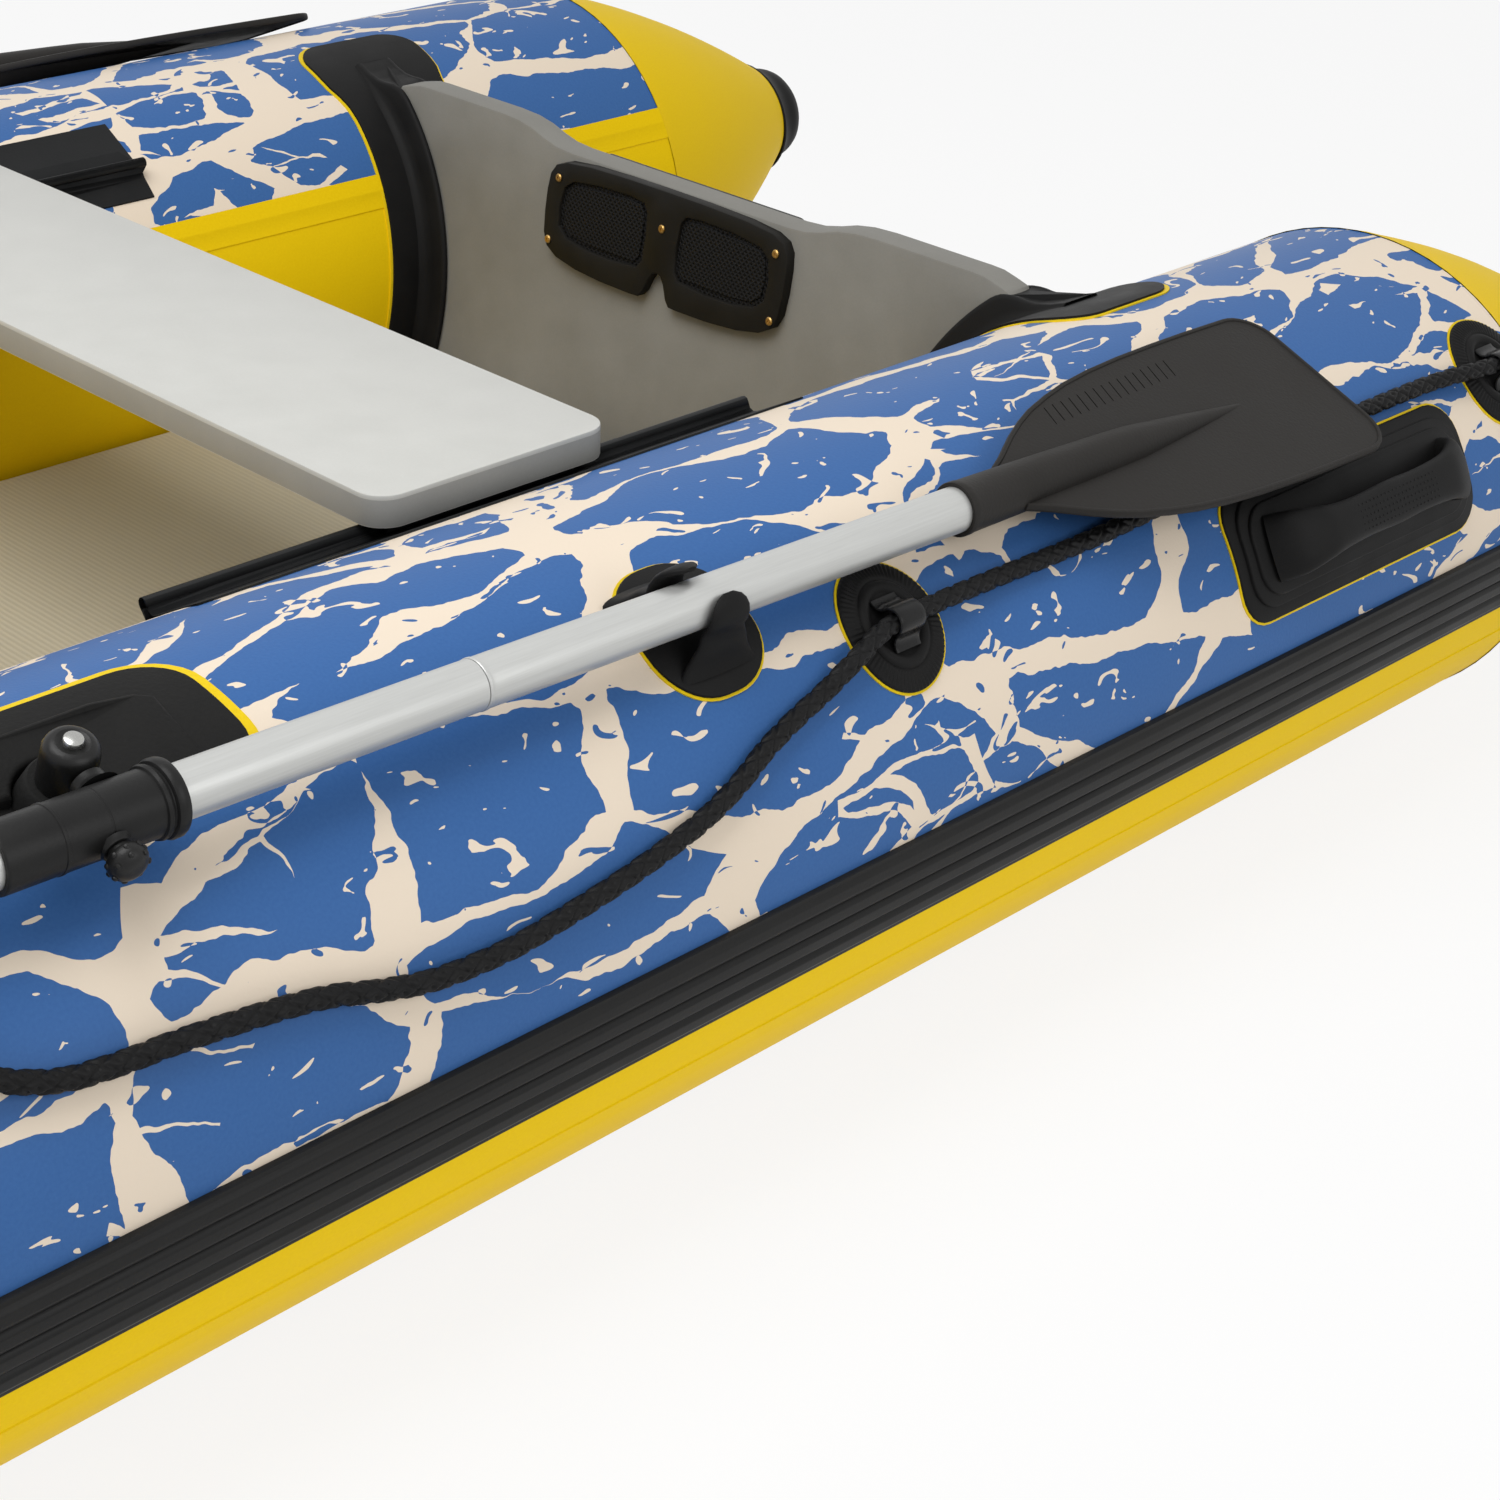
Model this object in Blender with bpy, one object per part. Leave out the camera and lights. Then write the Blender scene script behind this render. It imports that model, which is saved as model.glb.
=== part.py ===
"""Inflatable boat: two buoyancy tubes with stern cones, a round bow, an air deck, a raked transom
board with motor pads, a sliding seat board, and a pair of oars stowed along the tubes.

Frame: metres, +X to starboard, +Y to the bow, +Z up. The origin is on the floor under the middle of
the boat's length and beam. "Ahead" is a distance in front of the inner motor pad's face, taken at the
height of its middle screw. An angle round a tube starts outboard and turns up over the crown, so 90
degrees is the crown and 180 degrees is the inboard side.
"""
import math

import bmesh
import bpy
from mathutils import Matrix, Vector

# Driving sizes of the hull, in metres and degrees
OVERALL_LENGTH = 2.845
STERN_OVERHANG = 0.700
TUBE_RADIUS = 0.21
TUBE_OFFSET = 0.525
BOW_RISE = 0.12
SKIN_THICKNESS = 0.0012
WALL_THICKNESS = 0.0015
WALL_SEAM_MARGIN = 2.0
FIT_GAP = 0.0003
BOW_FIT_GAP = 0.0016
BOW_SEAT_GAP = 0.0006
CUT_OVERRUN = 0.02
FACET = math.radians(15)
BOW_STEPS = 8

# Seams and strips round the tube, in degrees from outboard
INBOARD_SEAM_ANGLE = 144.5
OUTBOARD_SEAM_ANGLE = -3.0
STRAKE_TOP_ANGLE = 5.0
STRAKE_BOTTOM_ANGLE = -12.0
STRAKE_THICKNESS = 0.0065
STRAKE_GROOVE_DEPTH = 0.0028
STRAKE_RIBS = 4
STRAKE_END_THICKNESS = 0.004

# Stern cones and their moulded caps
CONE_MID_SHARE = 0.48
CONE_MID_RADIUS_SHARE = 0.69524
CONE_END_RADIUS_SHARE = 0.23333
CONE_RISE = 0.0194
CAP_LIP_LENGTH = 0.020
CAP_WALL = 0.004
CAP_TIP_RADIUS = 0.040

# Floor: bottom skin, keel tube and air deck
DECK_TOP_HEIGHT = 0.160
DECK_THICKNESS = 0.080
DECK_EDGE_CLEARANCE = 0.0010
DECK_WALL = 0.0018
DECK_AFT_AHEAD = 0.074
BOTTOM_LAP_ANGLE = 255.0
BOTTOM_EDGE_ANGLE = 240.0
BOTTOM_THICKNESS = 0.0012
BOTTOM_MID_HEIGHT = 0.014
BOTTOM_FLAT_HALF_WIDTH = 0.060
BOTTOM_FLAT_SHARE = 0.6
BOTTOM_RISE_START_SHARE = 0.2
KEEL_AFT_AHEAD = 0.10
KEEL_NOSE_LENGTH = 0.09
KEEL_WALL = 0.0016

# Transom board, its holders and the motor pads
TRANSOM_AHEAD = 0.0242
TRANSOM_RAKE = 9.1
TRANSOM_THICKNESS = 0.028
TRANSOM_RECESS_DROP = 0.026
TRANSOM_EAR_DROP = 0.011
TRANSOM_RECESS_HALF_WIDTH = 0.150
TRANSOM_EAR_INNER_HALF_WIDTH = 0.205
TRANSOM_EAR_TOP_HALF_WIDTH = 0.358
TRANSOM_EAR_EDGE_ANGLE = 126.0
TRANSOM_EAR_EDGE_LIFT = 0.029
TRANSOM_CORNER_RADIUS = 0.020
HOLDER_PLATE = 0.003
HOLDER_CHEEK = 0.006
HOLDER_CHEEK_HEIGHT = 0.030
HOLDER_TOP_ANGLE = 98.0
HOLDER_LOBE_END_ANGLE = 114.0
HOLDER_CHEEK_TOP_ANGLE = 111.0
HOLDER_CHEEK_FULL_ANGLE = 129.0
HOLDER_WEB_END_ANGLE = 125.88
HOLDER_BOTTOM_ANGLE = 232.0
HOLDER_CHEEK_BOTTOM_ANGLE = 226.0
HOLDER_LOBE_HALF_LENGTH = 0.068
HOLDER_HALF_LENGTH = 0.059
PAD_THICKNESS = 0.010
PAD_HALF_WIDTH = 0.154
PAD_TOP_DROP = 0.002
PAD_HEIGHT = 0.099
PAD_NOTCH_HALF_WIDTH = 0.026
PAD_NOTCH_DEPTH = 0.028
PAD_CORNER_RADIUS = 0.022
PAD_PANEL_INNER = 0.026
PAD_PANEL_OUTER = 0.133
PAD_PANEL_DROP = 0.016
PAD_PANEL_HEIGHT = 0.059
PAD_PANEL_DEPTH = 0.003
PAD_PANEL_CORNER_RADIUS = 0.012
PAD_SCREW_RADIUS = 0.0042
PAD_SCREW_HEAD = 0.0016
PAD_SCREW_SPREAD = 0.1395
PAD_SCREW_UPPER_DROP = 0.019
PAD_SCREW_LOWER_DROP = 0.077
PAD_SCREW_LOWER_SPREAD = 0.1440
PAD_SCREW_MIDDLE_DROP = 0.032
OUTER_PAD_HALF_WIDTH = 0.132
OUTER_PAD_DROP = 0.003
OUTER_PAD_HEIGHT = 0.170
OUTER_PAD_THICKNESS = 0.009

# Seat board, its rails and its slides
SEAT_DEPTH = 0.212
SEAT_END_OVERHANG = 0.02525
SEAT_THICKNESS = 0.024
SEAT_CORNER_RADIUS = 0.022
SEAT_EDGE_RADIUS = 0.0015
RAIL_AFT_OF_SEAT = 0.265
RAIL_LENGTH = 0.540
RAIL_TOP_ANGLE = 114.5
RAIL_BOTTOM_ANGLE = 134.5
RAIL_PATCH = 0.0014
RAIL_WEB_ANGLE = 129.0
RAIL_WEB_THICKNESS = 0.003
RAIL_BEAD_RADIUS = 0.0042
RAIL_BEAD_LIFT = 0.0138
SLIDE_CLEARANCE = 0.0008
SLIDE_WALL = 0.0030
SLIDE_LENGTH = 0.170
SLIDE_RISE = 0.008416
SEAT_TRAVEL_AFT = 0.150
SEAT_TRAVEL_FORE = 0.160

# Oarlock, oar and clip
OAR_ANGLE = 58.555
OAR_LIFT = 0.03919
OAR_PITCH = 1.4
SWING_TILT = 68.0
PIVOT_REACH = 0.043
SLEEVE_AFT = 0.034
SLEEVE_FORE = 0.076
SLEEVE_RADIUS = 0.0195
SLEEVE_FLANGE_RADIUS = 0.0228
SLEEVE_FLANGE_LENGTH = 0.007
SLEEVE_RIB_RADIUS = 0.0202
SHAFT_RADIUS = 0.016
SHAFT_WALL = 0.0014
RUNNING_GAP = 0.0003
LUG_RADIUS = 0.0105
BOLT_RADIUS = 0.0040
BOLT_HEAD_RADIUS = 0.0070
BOLT_HEAD_LENGTH = 0.0040
TURRET_RADIUS = 0.0160
TURRET_HALF_HEIGHT = 0.0150
SPIGOT_RADIUS = 0.0085
SPIGOT_LENGTH = 0.0090
PIN_HEAD_RADIUS = 0.0062
PIN_HEAD_HEIGHT = 0.0035
KNOB_AHEAD_OF_PIVOT = 0.012
KNOB_RADIUS = 0.0118
KNOB_LENGTH = 0.016
KNOB_STEM_RADIUS = 0.0042
KNOB_STEM_LENGTH = 0.0040
KNOB_LOBES = 6
KNOB_LOBE_DEPTH = 0.0018
OAR_JOINT_BEHIND = 0.245
FERRULE_LENGTH = 0.070
SOCKET_BEHIND = 0.670
SOCKET_LENGTH = 0.058
SOCKET_RADIUS = 0.0192
SOCKET_PLUG_LENGTH = 0.040
BLADE_LENGTH = 0.370
BLADE_HALF_WIDTH = 0.0790
BLADE_THICKNESS = 0.0045
BLADE_RIDGE_LENGTH = 0.270
BLADE_CORNER_RADIUS = 0.030
GRIP_START = 0.325
GRIP_LENGTH = 0.115
GRIP_RADIUS = 0.0185
GRIP_END_WALL = 0.004
OARLOCK_PATCH_AFT = 0.125
OARLOCK_PATCH_FORE = 0.115
OARLOCK_PATCH_OUTER_ANGLE = 61.5
OARLOCK_PATCH_INNER_ANGLE = 92.5
OARLOCK_PATCH = 0.0025
OARLOCK_PATCH_CORNER = 0.035
BOSS_RADIUS = 0.0215
SADDLE_AFT = 0.090
SADDLE_INNER = 0.052
SADDLE_OUTER = 0.012
SADDLE_CLEARANCE = 0.0020
SADDLE_DROP = 0.0095
SWING_CLEARANCE = 0.0030
CLIP_HALF_LENGTH = 0.045
CLIP_OUTER_ANGLE = 43.5
CLIP_INNER_ANGLE = 71.0
CLIP_PATCH = 0.0035
CLIP_SHAFT_CLEARANCE = 0.0012
CLIP_FINGER_THICKNESS = 0.0065
CLIP_FINGER_WIDTH = 0.027
CLIP_STAGGER = 0.017
CLIP_WRAP_ABOVE = 62.0
CLIP_WRAP_BELOW = 50.0

# Rope holders, grab ropes and handles
ROPE_HOLDER_ANGLE = 43.5
ROPE_HOLDER_HALF_LENGTH = 0.041
ROPE_HOLDER_HALF_WIDTH = 0.047
ROPE_HOLDER_THICKNESS = 0.0055
BRIDGE_LENGTH = 0.017
BRIDGE_WALL = 0.0030
BRIDGE_CLEARANCE = 0.0016
BRIDGE_FOOT_WIDTH = 0.0080
BRIDGE_LIMIT_ANGLE = 15.0
ROPE_RADIUS = 0.0060
ROPE_SKIN_GAP = 0.0006
ROPE_DISC_GAP = 0.0006
HANDLE_HALF_LENGTH = 0.155
HANDLE_BOTTOM_ANGLE = 13.5
HANDLE_TOP_ANGLE = 42.0
HANDLE_PATCH = 0.0030
HANDLE_STEP = 0.0090
HANDLE_STEP_INSET = 0.018
HANDLE_CORNER_RADIUS = 0.028
HANDLE_STEP_CORNER_RADIUS = 0.022
HANDLE_BAR_HALF_LENGTH = 0.118
HANDLE_BAR_LIFT = 0.0360
HANDLE_BAR_HALF_WIDTH = 0.0165
HANDLE_BAR_HALF_DEPTH = 0.0085
HANDLE_FOOT_HALF_WIDTH = 0.0260
HANDLE_LEAN = 60.0
BOW_HANDLE_ANGLE = 62.0
BOW_HANDLE_HALF_ANGLE = 10.0
BOW_HANDLE_STEPS = 1
BOW_BAR_HALF_LENGTH = 0.092

# Valves and their caps
VALVE_ANGLE = 127.5
VALVE_FLANGE_RADIUS = 0.0250
VALVE_FLANGE_THICKNESS = 0.0030
VALVE_BARREL_RADIUS = 0.0170
VALVE_BARREL_DEPTH = 0.0240
VALVE_BORE_RADIUS = 0.0120
VALVE_CAP_RADIUS = 0.0200
VALVE_CAP_HEIGHT = 0.0080
VALVE_CAP_GRIP_RADIUS = 0.0060

# Numbers of sides and steps, and shares of the sizes that they follow
KEEL_NOSE_SHARE = 0.5
ROUND_SIDES = 16
SMALL_SIDES = 10
EDGE_STEPS = 5
CORNER_STEPS = 3
HOLDER_CHEEK_SHARES = ((0.0, 0.11), (0.25, 0.15), (0.45, 0.28), (0.58, 0.45), (0.72, 0.72), (0.87, 0.93),
                       (1.0, 1.0))
CAP_RING_SHARES = ((0.30, 0.985), (0.62, 0.90), (0.86, 0.72), (1.0, 0.46))
BLADE_WIDTH_SHARES = ((0.0, 0.24), (0.05, 0.34), (0.12, 0.52), (0.22, 0.72), (0.36, 0.88),
                      (0.55, 0.97), (0.78, 1.0))
GRIP_RADIUS_SHARES = ((0.0, 0.95), (0.06, 1.0), (0.28, 0.93), (0.55, 1.0), (0.82, 0.93), (0.96, 1.0),
                      (1.0, 0.90))
HANDLE_LEAN_SHARE = 0.62
HANDLE_BAR_SHARES = ((-1.0, 0.0, 1.0), (-0.90, 0.62, 0.86), (-0.74, 0.93, 0.42), (-0.58, 1.0, 0.12),
                     (-0.3, 1.0, 0.0), (0.0, 1.0, 0.10), (0.3, 1.0, 0.0), (0.58, 1.0, 0.12),
                     (0.74, 0.93, 0.42), (0.90, 0.62, 0.86), (1.0, 0.0, 1.0))
ROPE_CURVE_STEPS = 20
ROPE_STEP_SHARE = 2.75

# Places along the boat: shares of the length ahead of the transom, and below zero of the stern's overhang
BOW_START_SHARE = 0.58275
CONE_SEAM_SHARE = -0.47857
CONE_STRAKE_END_SHARE = -0.87143
CONE_END_SHARE = -0.95286
DECK_VALVE_SHARE = 0.62005
KEEL_BOW_SHARE = 0.67599
SEAT_SHARE = 0.25688
OARLOCK_SHARE = 0.48019
CLIP_SHARE = 0.27599
ROPE_HOLDER_SHARES = {"aft": -0.41429, "middle": 0.20653, "fore": 0.56177}
HANDLE_SHARE = -0.07857
VALVE_SHARE = 0.49417

# Route of a grab rope: its place along the boat as such a share, degrees from outboard, and whether
# the rope lies on a holder's disc there
ROPE_ROUTE_SHARES = (
    (-0.4643, 43.5, 1), (-0.4143, 43.5, 1), (-0.3457, 44.4, 1), (-0.2928, 45.6, 0),
    (-0.1714, 45.9, 0), (0.0000, 45.7, 0), (0.0559, 44.5, 0), (0.1072, 43.5, 0),
    (0.1585, 43.8, 0), (0.1841, 43.7, 1), (0.2000, 43.5, 1), (0.2131, 43.2, 1),
    (0.2280, 40.8, 1), (0.2471, 37.2, 0), (0.2704, 33.6, 0), (0.2984, 27.4, 0),
    (0.3310, 23.6, 0), (0.3636, 21.4, 0), (0.3869, 20.6, 0), (0.4149, 21.9, 0),
    (0.4429, 26.1, 0), (0.4784, 28.7, 0), (0.5063, 29.9, 0), (0.5212, 31.6, 0),
    (0.5361, 35.5, 1), (0.5478, 40.0, 1), (0.5562, 42.8, 1), (0.5632, 43.6, 1),
    (0.5711, 43.6, 1), (0.5860, 43.0, 1), (0.6154, 40.0, 0), (0.6620, 34.0, 0),
    (0.7180, 29.0, 0), (0.7739, 28.0, 0), (0.8345, 31.0, 0), (0.8858, 37.0, 0),
    (0.9231, 44.0, 0), (0.9417, 48.0, 0),
)


def along(share):
    """Distance ahead of the transom at a share of the boat's length before or behind it."""
    return share * (OVERALL_LENGTH - STERN_OVERHANG if share >= 0 else STERN_OVERHANG)


# Values worked out from the driving sizes
BOW_START_AHEAD = along(BOW_START_SHARE)
CONE_SEAM_BEHIND = -along(CONE_SEAM_SHARE)
CONE_STRAKE_END_BEHIND = -along(CONE_STRAKE_END_SHARE)
CONE_END_BEHIND = -along(CONE_END_SHARE)
DECK_VALVE_AHEAD = along(DECK_VALVE_SHARE)
KEEL_BOW_AHEAD = along(KEEL_BOW_SHARE)
SEAT_AHEAD = along(SEAT_SHARE)
RAIL_AFT_AHEAD = SEAT_AHEAD - RAIL_AFT_OF_SEAT
OARLOCK_AHEAD = along(OARLOCK_SHARE)
CLIP_AHEAD = along(CLIP_SHARE)
HOLDER_AHEADS = {place: along(share) for place, share in ROPE_HOLDER_SHARES.items()}
HANDLE_AHEAD = along(HANDLE_SHARE)
VALVE_AHEAD = along(VALVE_SHARE)
ROPE_ROUTE = [(along(share), angle, on_disc) for share, angle, on_disc in ROPE_ROUTE_SHARES]
CONE_MID_RADIUS = TUBE_RADIUS * CONE_MID_RADIUS_SHARE
CONE_END_RADIUS = TUBE_RADIUS * CONE_END_RADIUS_SHARE
BOARD_AHEAD = TRANSOM_AHEAD - (PAD_THICKNESS + FIT_GAP + TRANSOM_THICKNESS / 2)
APOTHEM_SHARE = math.cos(FACET / 2)
TRANSOM_Y = STERN_OVERHANG - OVERALL_LENGTH / 2
BOARD_Y = TRANSOM_Y + BOARD_AHEAD
AXIS_HEIGHT = TUBE_RADIUS
TRANSOM_RECESS_HEIGHT = 2 * TUBE_RADIUS - TRANSOM_RECESS_DROP
TRANSOM_EAR_HEIGHT = 2 * TUBE_RADIUS - TRANSOM_EAR_DROP
PAD_TOP_HEIGHT = TRANSOM_RECESS_HEIGHT - PAD_TOP_DROP
PAD_BOTTOM_HEIGHT = PAD_TOP_HEIGHT - PAD_HEIGHT
PAD_NOTCH_TOP_HEIGHT = PAD_BOTTOM_HEIGHT + PAD_NOTCH_DEPTH
PAD_PANEL_TOP_HEIGHT = PAD_TOP_HEIGHT - PAD_PANEL_DROP
PAD_PANEL_BOTTOM_HEIGHT = PAD_PANEL_TOP_HEIGHT - PAD_PANEL_HEIGHT
PAD_SCREW_UPPER_HEIGHT = PAD_TOP_HEIGHT - PAD_SCREW_UPPER_DROP
PAD_SCREW_LOWER_HEIGHT = PAD_TOP_HEIGHT - PAD_SCREW_LOWER_DROP
PAD_SCREW_MIDDLE_HEIGHT = PAD_TOP_HEIGHT - PAD_SCREW_MIDDLE_DROP
OUTER_PAD_TOP_HEIGHT = TRANSOM_RECESS_HEIGHT - OUTER_PAD_DROP
OUTER_PAD_BOTTOM_HEIGHT = OUTER_PAD_TOP_HEIGHT - OUTER_PAD_HEIGHT
OAR_OFFSET = TUBE_OFFSET + (TUBE_RADIUS + OAR_LIFT) * math.cos(math.radians(OAR_ANGLE))
OAR_HEIGHT = AXIS_HEIGHT + (TUBE_RADIUS + OAR_LIFT) * math.sin(math.radians(OAR_ANGLE))
BOW_START_Y = TRANSOM_Y + BOW_START_AHEAD
BOW_REACH = OVERALL_LENGTH / 2 - STRAKE_THICKNESS - TUBE_RADIUS - BOW_START_Y
BOW_QUARTER = math.pi / 4 * (TUBE_OFFSET + BOW_REACH)
RAKE_SLOPE = math.tan(math.radians(TRANSOM_RAKE))
TILT = math.radians(SWING_TILT)
PITCH_SLOPE = math.tan(math.radians(OAR_PITCH))
DECK_EDGE_RADIUS = DECK_THICKNESS / 2
DECK_MID_HEIGHT = DECK_TOP_HEIGHT - DECK_EDGE_RADIUS
RAIL_WEB = math.radians(RAIL_WEB_ANGLE)
RAIL_BEAD_REACH = TUBE_RADIUS * APOTHEM_SHARE / math.cos(RAIL_WEB % FACET - FACET / 2) + RAIL_BEAD_LIFT
SEAT_HALF_LENGTH = TUBE_OFFSET + RAIL_BEAD_REACH * math.cos(RAIL_WEB) + SEAT_END_OVERHANG
SEAT_TOP_HEIGHT = AXIS_HEIGHT + RAIL_BEAD_REACH * math.sin(RAIL_WEB) + SLIDE_RISE + SEAT_THICKNESS
SIDES = {"port": -1, "starboard": 1}


def clear_scene():
    """Remove the objects that are already in the scene."""
    for old in list(bpy.data.objects):
        bpy.data.objects.remove(old)


def finish(name, color, roughness, metallic=0.0):
    """A plain Principled material in a piece's colour."""
    material = bpy.data.materials.get(name) or bpy.data.materials.new(name)
    material.use_nodes = True
    shader = material.node_tree.nodes["Principled BSDF"]
    shader.inputs["Base Color"].default_value = (*color, 1.0)
    shader.inputs["Roughness"].default_value = roughness
    shader.inputs["Metallic"].default_value = metallic
    material.diffuse_color = (*color, 1.0)
    return material


def printed_blue():
    return finish("printed_blue_fabric", (0.07, 0.18, 0.40), 0.45)


def yellow():
    return finish("yellow_fabric", (0.80, 0.53, 0.01), 0.45)


def rubber():
    return finish("black_rubber", (0.018, 0.018, 0.019), 0.55)


def black_plastic():
    return finish("black_plastic", (0.016, 0.016, 0.017), 0.40)


def blade_plastic():
    return finish("blade_plastic", (0.035, 0.032, 0.029), 0.50)


def board():
    return finish("painted_board", (0.60, 0.60, 0.57), 0.45)


def transom_paint():
    return finish("transom_paint", (0.42, 0.42, 0.39), 0.50)


def deck_fabric():
    return finish("deck_fabric", (0.50, 0.46, 0.36), 0.60)


def aluminium():
    return finish("aluminium_tube", (0.72, 0.73, 0.72), 0.38, 1.0)


def steel():
    return finish("steel", (0.60, 0.60, 0.60), 0.30, 1.0)


def brass():
    return finish("brass_screws", (0.45, 0.32, 0.13), 0.35, 1.0)


def braid():
    return finish("black_braid", (0.012, 0.012, 0.013), 0.80)


def make_object(name, bm, material, origin=None, recalculate=True):
    """Turn a bmesh in world space into a named object with its origin at a joint or at zero."""
    if recalculate:
        bmesh.ops.recalc_face_normals(bm, faces=bm.faces[:])
    mesh = bpy.data.meshes.new(name)
    bm.to_mesh(mesh)
    bm.free()
    thing = bpy.data.objects.new(name, mesh)
    bpy.context.scene.collection.objects.link(thing)
    mesh.materials.append(material)
    if origin is not None:
        mesh.transform(Matrix.Translation(-Vector(origin)))
        thing.location = origin
    mesh.shade_smooth()
    mesh.set_sharp_from_angle(angle=math.radians(32))
    return thing


def cut(body, tool, operation="DIFFERENCE"):
    """Apply a boolean with a tool object, then remove the tool."""
    bpy.context.view_layer.update()
    modifier = body.modifiers.new("cut", "BOOLEAN")
    modifier.operation = operation
    modifier.solver = "EXACT"
    modifier.object = tool
    evaluated = body.evaluated_get(bpy.context.evaluated_depsgraph_get())
    mesh = bpy.data.meshes.new_from_object(evaluated)
    body.modifiers.clear()
    body.data = mesh
    mesh.shade_smooth()
    mesh.set_sharp_from_angle(angle=math.radians(32))
    bpy.data.objects.remove(tool)
    return body


def join_meshes(parts):
    """Put the solids of several bmeshes in one bmesh."""
    whole = bmesh.new()
    for part in parts:
        mesh = bpy.data.meshes.new("part")
        part.to_mesh(mesh)
        part.free()
        whole.from_mesh(mesh)
        bpy.data.meshes.remove(mesh)
    return whole


# Places on the tubes
def straight_station(side, ahead, radius=TUBE_RADIUS):
    """Centre, outboard direction and radius of a straight tube at a distance ahead of the transom."""
    centre = Vector((side * TUBE_OFFSET, TRANSOM_Y + ahead, AXIS_HEIGHT))
    return centre, Vector((side, 0, 0)), radius


def bow_station(side, turn):
    """The same at an angle round the bow: zero where the straight tube ends, 90 degrees at the tip."""
    across, along = math.cos(turn), math.sin(turn)
    centre = Vector((side * TUBE_OFFSET * across, BOW_START_Y + BOW_REACH * along,
                     AXIS_HEIGHT + BOW_RISE * along ** 2))
    outward = Vector((side * across / TUBE_OFFSET, along / BOW_REACH, 0)).normalized()
    return centre, outward, TUBE_RADIUS


def bow_turn(step):
    return math.pi / 2 * step / BOW_STEPS


def skin_point(station, angle, lift=0.0):
    """A point on the faceted tube at an angle from outboard, at a height above its faces."""
    centre, outward, radius = station
    within = angle % FACET - FACET / 2
    reach = (radius * APOTHEM_SHARE + lift) / math.cos(within)
    return centre + reach * (math.cos(angle) * outward + math.sin(angle) * Vector((0, 0, 1)))


def on_skin(side, ahead, angle, lift=0.0):
    """A point on the faceted tube or bow, at a distance ahead that runs on round the bow."""
    if ahead <= BOW_START_AHEAD:
        return skin_point(straight_station(side, ahead), angle, lift)
    steps = (ahead - BOW_START_AHEAD) / BOW_QUARTER * BOW_STEPS
    low = math.floor(steps)
    before = skin_point(bow_station(side, bow_turn(low)), angle, lift)
    after = skin_point(bow_station(side, bow_turn(low + 1)), angle, lift)
    return before.lerp(after, steps - low)


def angles_between(first, last):
    """Two angles and the tube's corners between them."""
    inside = [k * FACET for k in range(math.floor(first / FACET) + 1, math.ceil(last / FACET))]
    return [first] + inside + [last]


def skin_loft(stations, first, last, low, high):
    """A curved plate that follows the tube through several stations, between two angles in degrees."""
    bm = bmesh.new()
    angles = angles_between(math.radians(first), math.radians(last))
    rings = []
    for station in stations:
        under = [bm.verts.new(skin_point(station, a, low)) for a in angles]
        over = [bm.verts.new(skin_point(station, a, high)) for a in angles]
        rings.append((under, over))
    spans = range(len(angles) - 1)
    for (under_a, over_a), (under_b, over_b) in zip(rings, rings[1:]):
        for i in spans:
            bm.faces.new((under_a[i], under_a[i + 1], under_b[i + 1], under_b[i]))
            bm.faces.new((over_a[i], over_b[i], over_b[i + 1], over_a[i + 1]))
        bm.faces.new((under_a[0], under_b[0], over_b[0], over_a[0]))
        bm.faces.new((under_a[-1], over_a[-1], over_b[-1], under_b[-1]))
    for under, over in (rings[0], rings[-1]):
        for i in spans:
            bm.faces.new((under[i], over[i], over[i + 1], under[i + 1]))
    return bm


def loft(sections):
    """A closed solid through sections with equal numbers of points, with flat ends."""
    bm = bmesh.new()
    rings = [[bm.verts.new(point) for point in section] for section in sections]
    count = len(rings[0])
    for ring_a, ring_b in zip(rings, rings[1:]):
        for i in range(count):
            j = (i + 1) % count
            bm.faces.new((ring_a[i], ring_a[j], ring_b[j], ring_b[i]))
    bm.faces.new(list(reversed(rings[0])))
    bm.faces.new(rings[-1])
    return bm


def plate_on_skin(side, outline, low, high):
    """A patch that follows the tube's facets inside an outline of (ahead, angle) corners."""
    flat = bmesh.new()
    flat.faces.new([flat.verts.new((ahead, angle, 0)) for ahead, angle in outline])
    aheads = [point[0] for point in outline]
    angles = [point[1] for point in outline]
    for angle in angles_between(min(angles), max(angles))[1:-1]:
        split(flat, Vector((0, angle, 0)), Vector((0, 1, 0)))
    step = BOW_QUARTER / BOW_STEPS
    for k in range(BOW_STEPS + 1):
        line = BOW_START_AHEAD + k * step
        if min(aheads) < line < max(aheads):
            split(flat, Vector((line, 0, 0)), Vector((1, 0, 0)))
    return thicken(flat, lambda u, v: on_skin(side, u, v, low), lambda u, v: on_skin(side, u, v, high))


def split(flat, point, normal):
    bmesh.ops.bisect_plane(flat, geom=flat.verts[:] + flat.edges[:] + flat.faces[:], dist=1e-7,
                           plane_co=point, plane_no=normal)


def thicken(flat, under_place, over_place):
    """A closed solid between two mapped copies of a flat mesh."""
    bm = bmesh.new()
    flat.verts.index_update()
    under = [bm.verts.new(under_place(v.co.x, v.co.y)) for v in flat.verts]
    over = [bm.verts.new(over_place(v.co.x, v.co.y)) for v in flat.verts]
    for face in flat.faces:
        corners = [v.index for v in face.verts]
        bm.faces.new([over[i] for i in corners])
        bm.faces.new([under[i] for i in reversed(corners)])
    for edge in flat.edges:
        if len(edge.link_faces) == 1:
            a, b = edge.verts[0].index, edge.verts[1].index
            bm.faces.new((under[a], under[b], over[b], over[a]))
    flat.free()
    return bm


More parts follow.
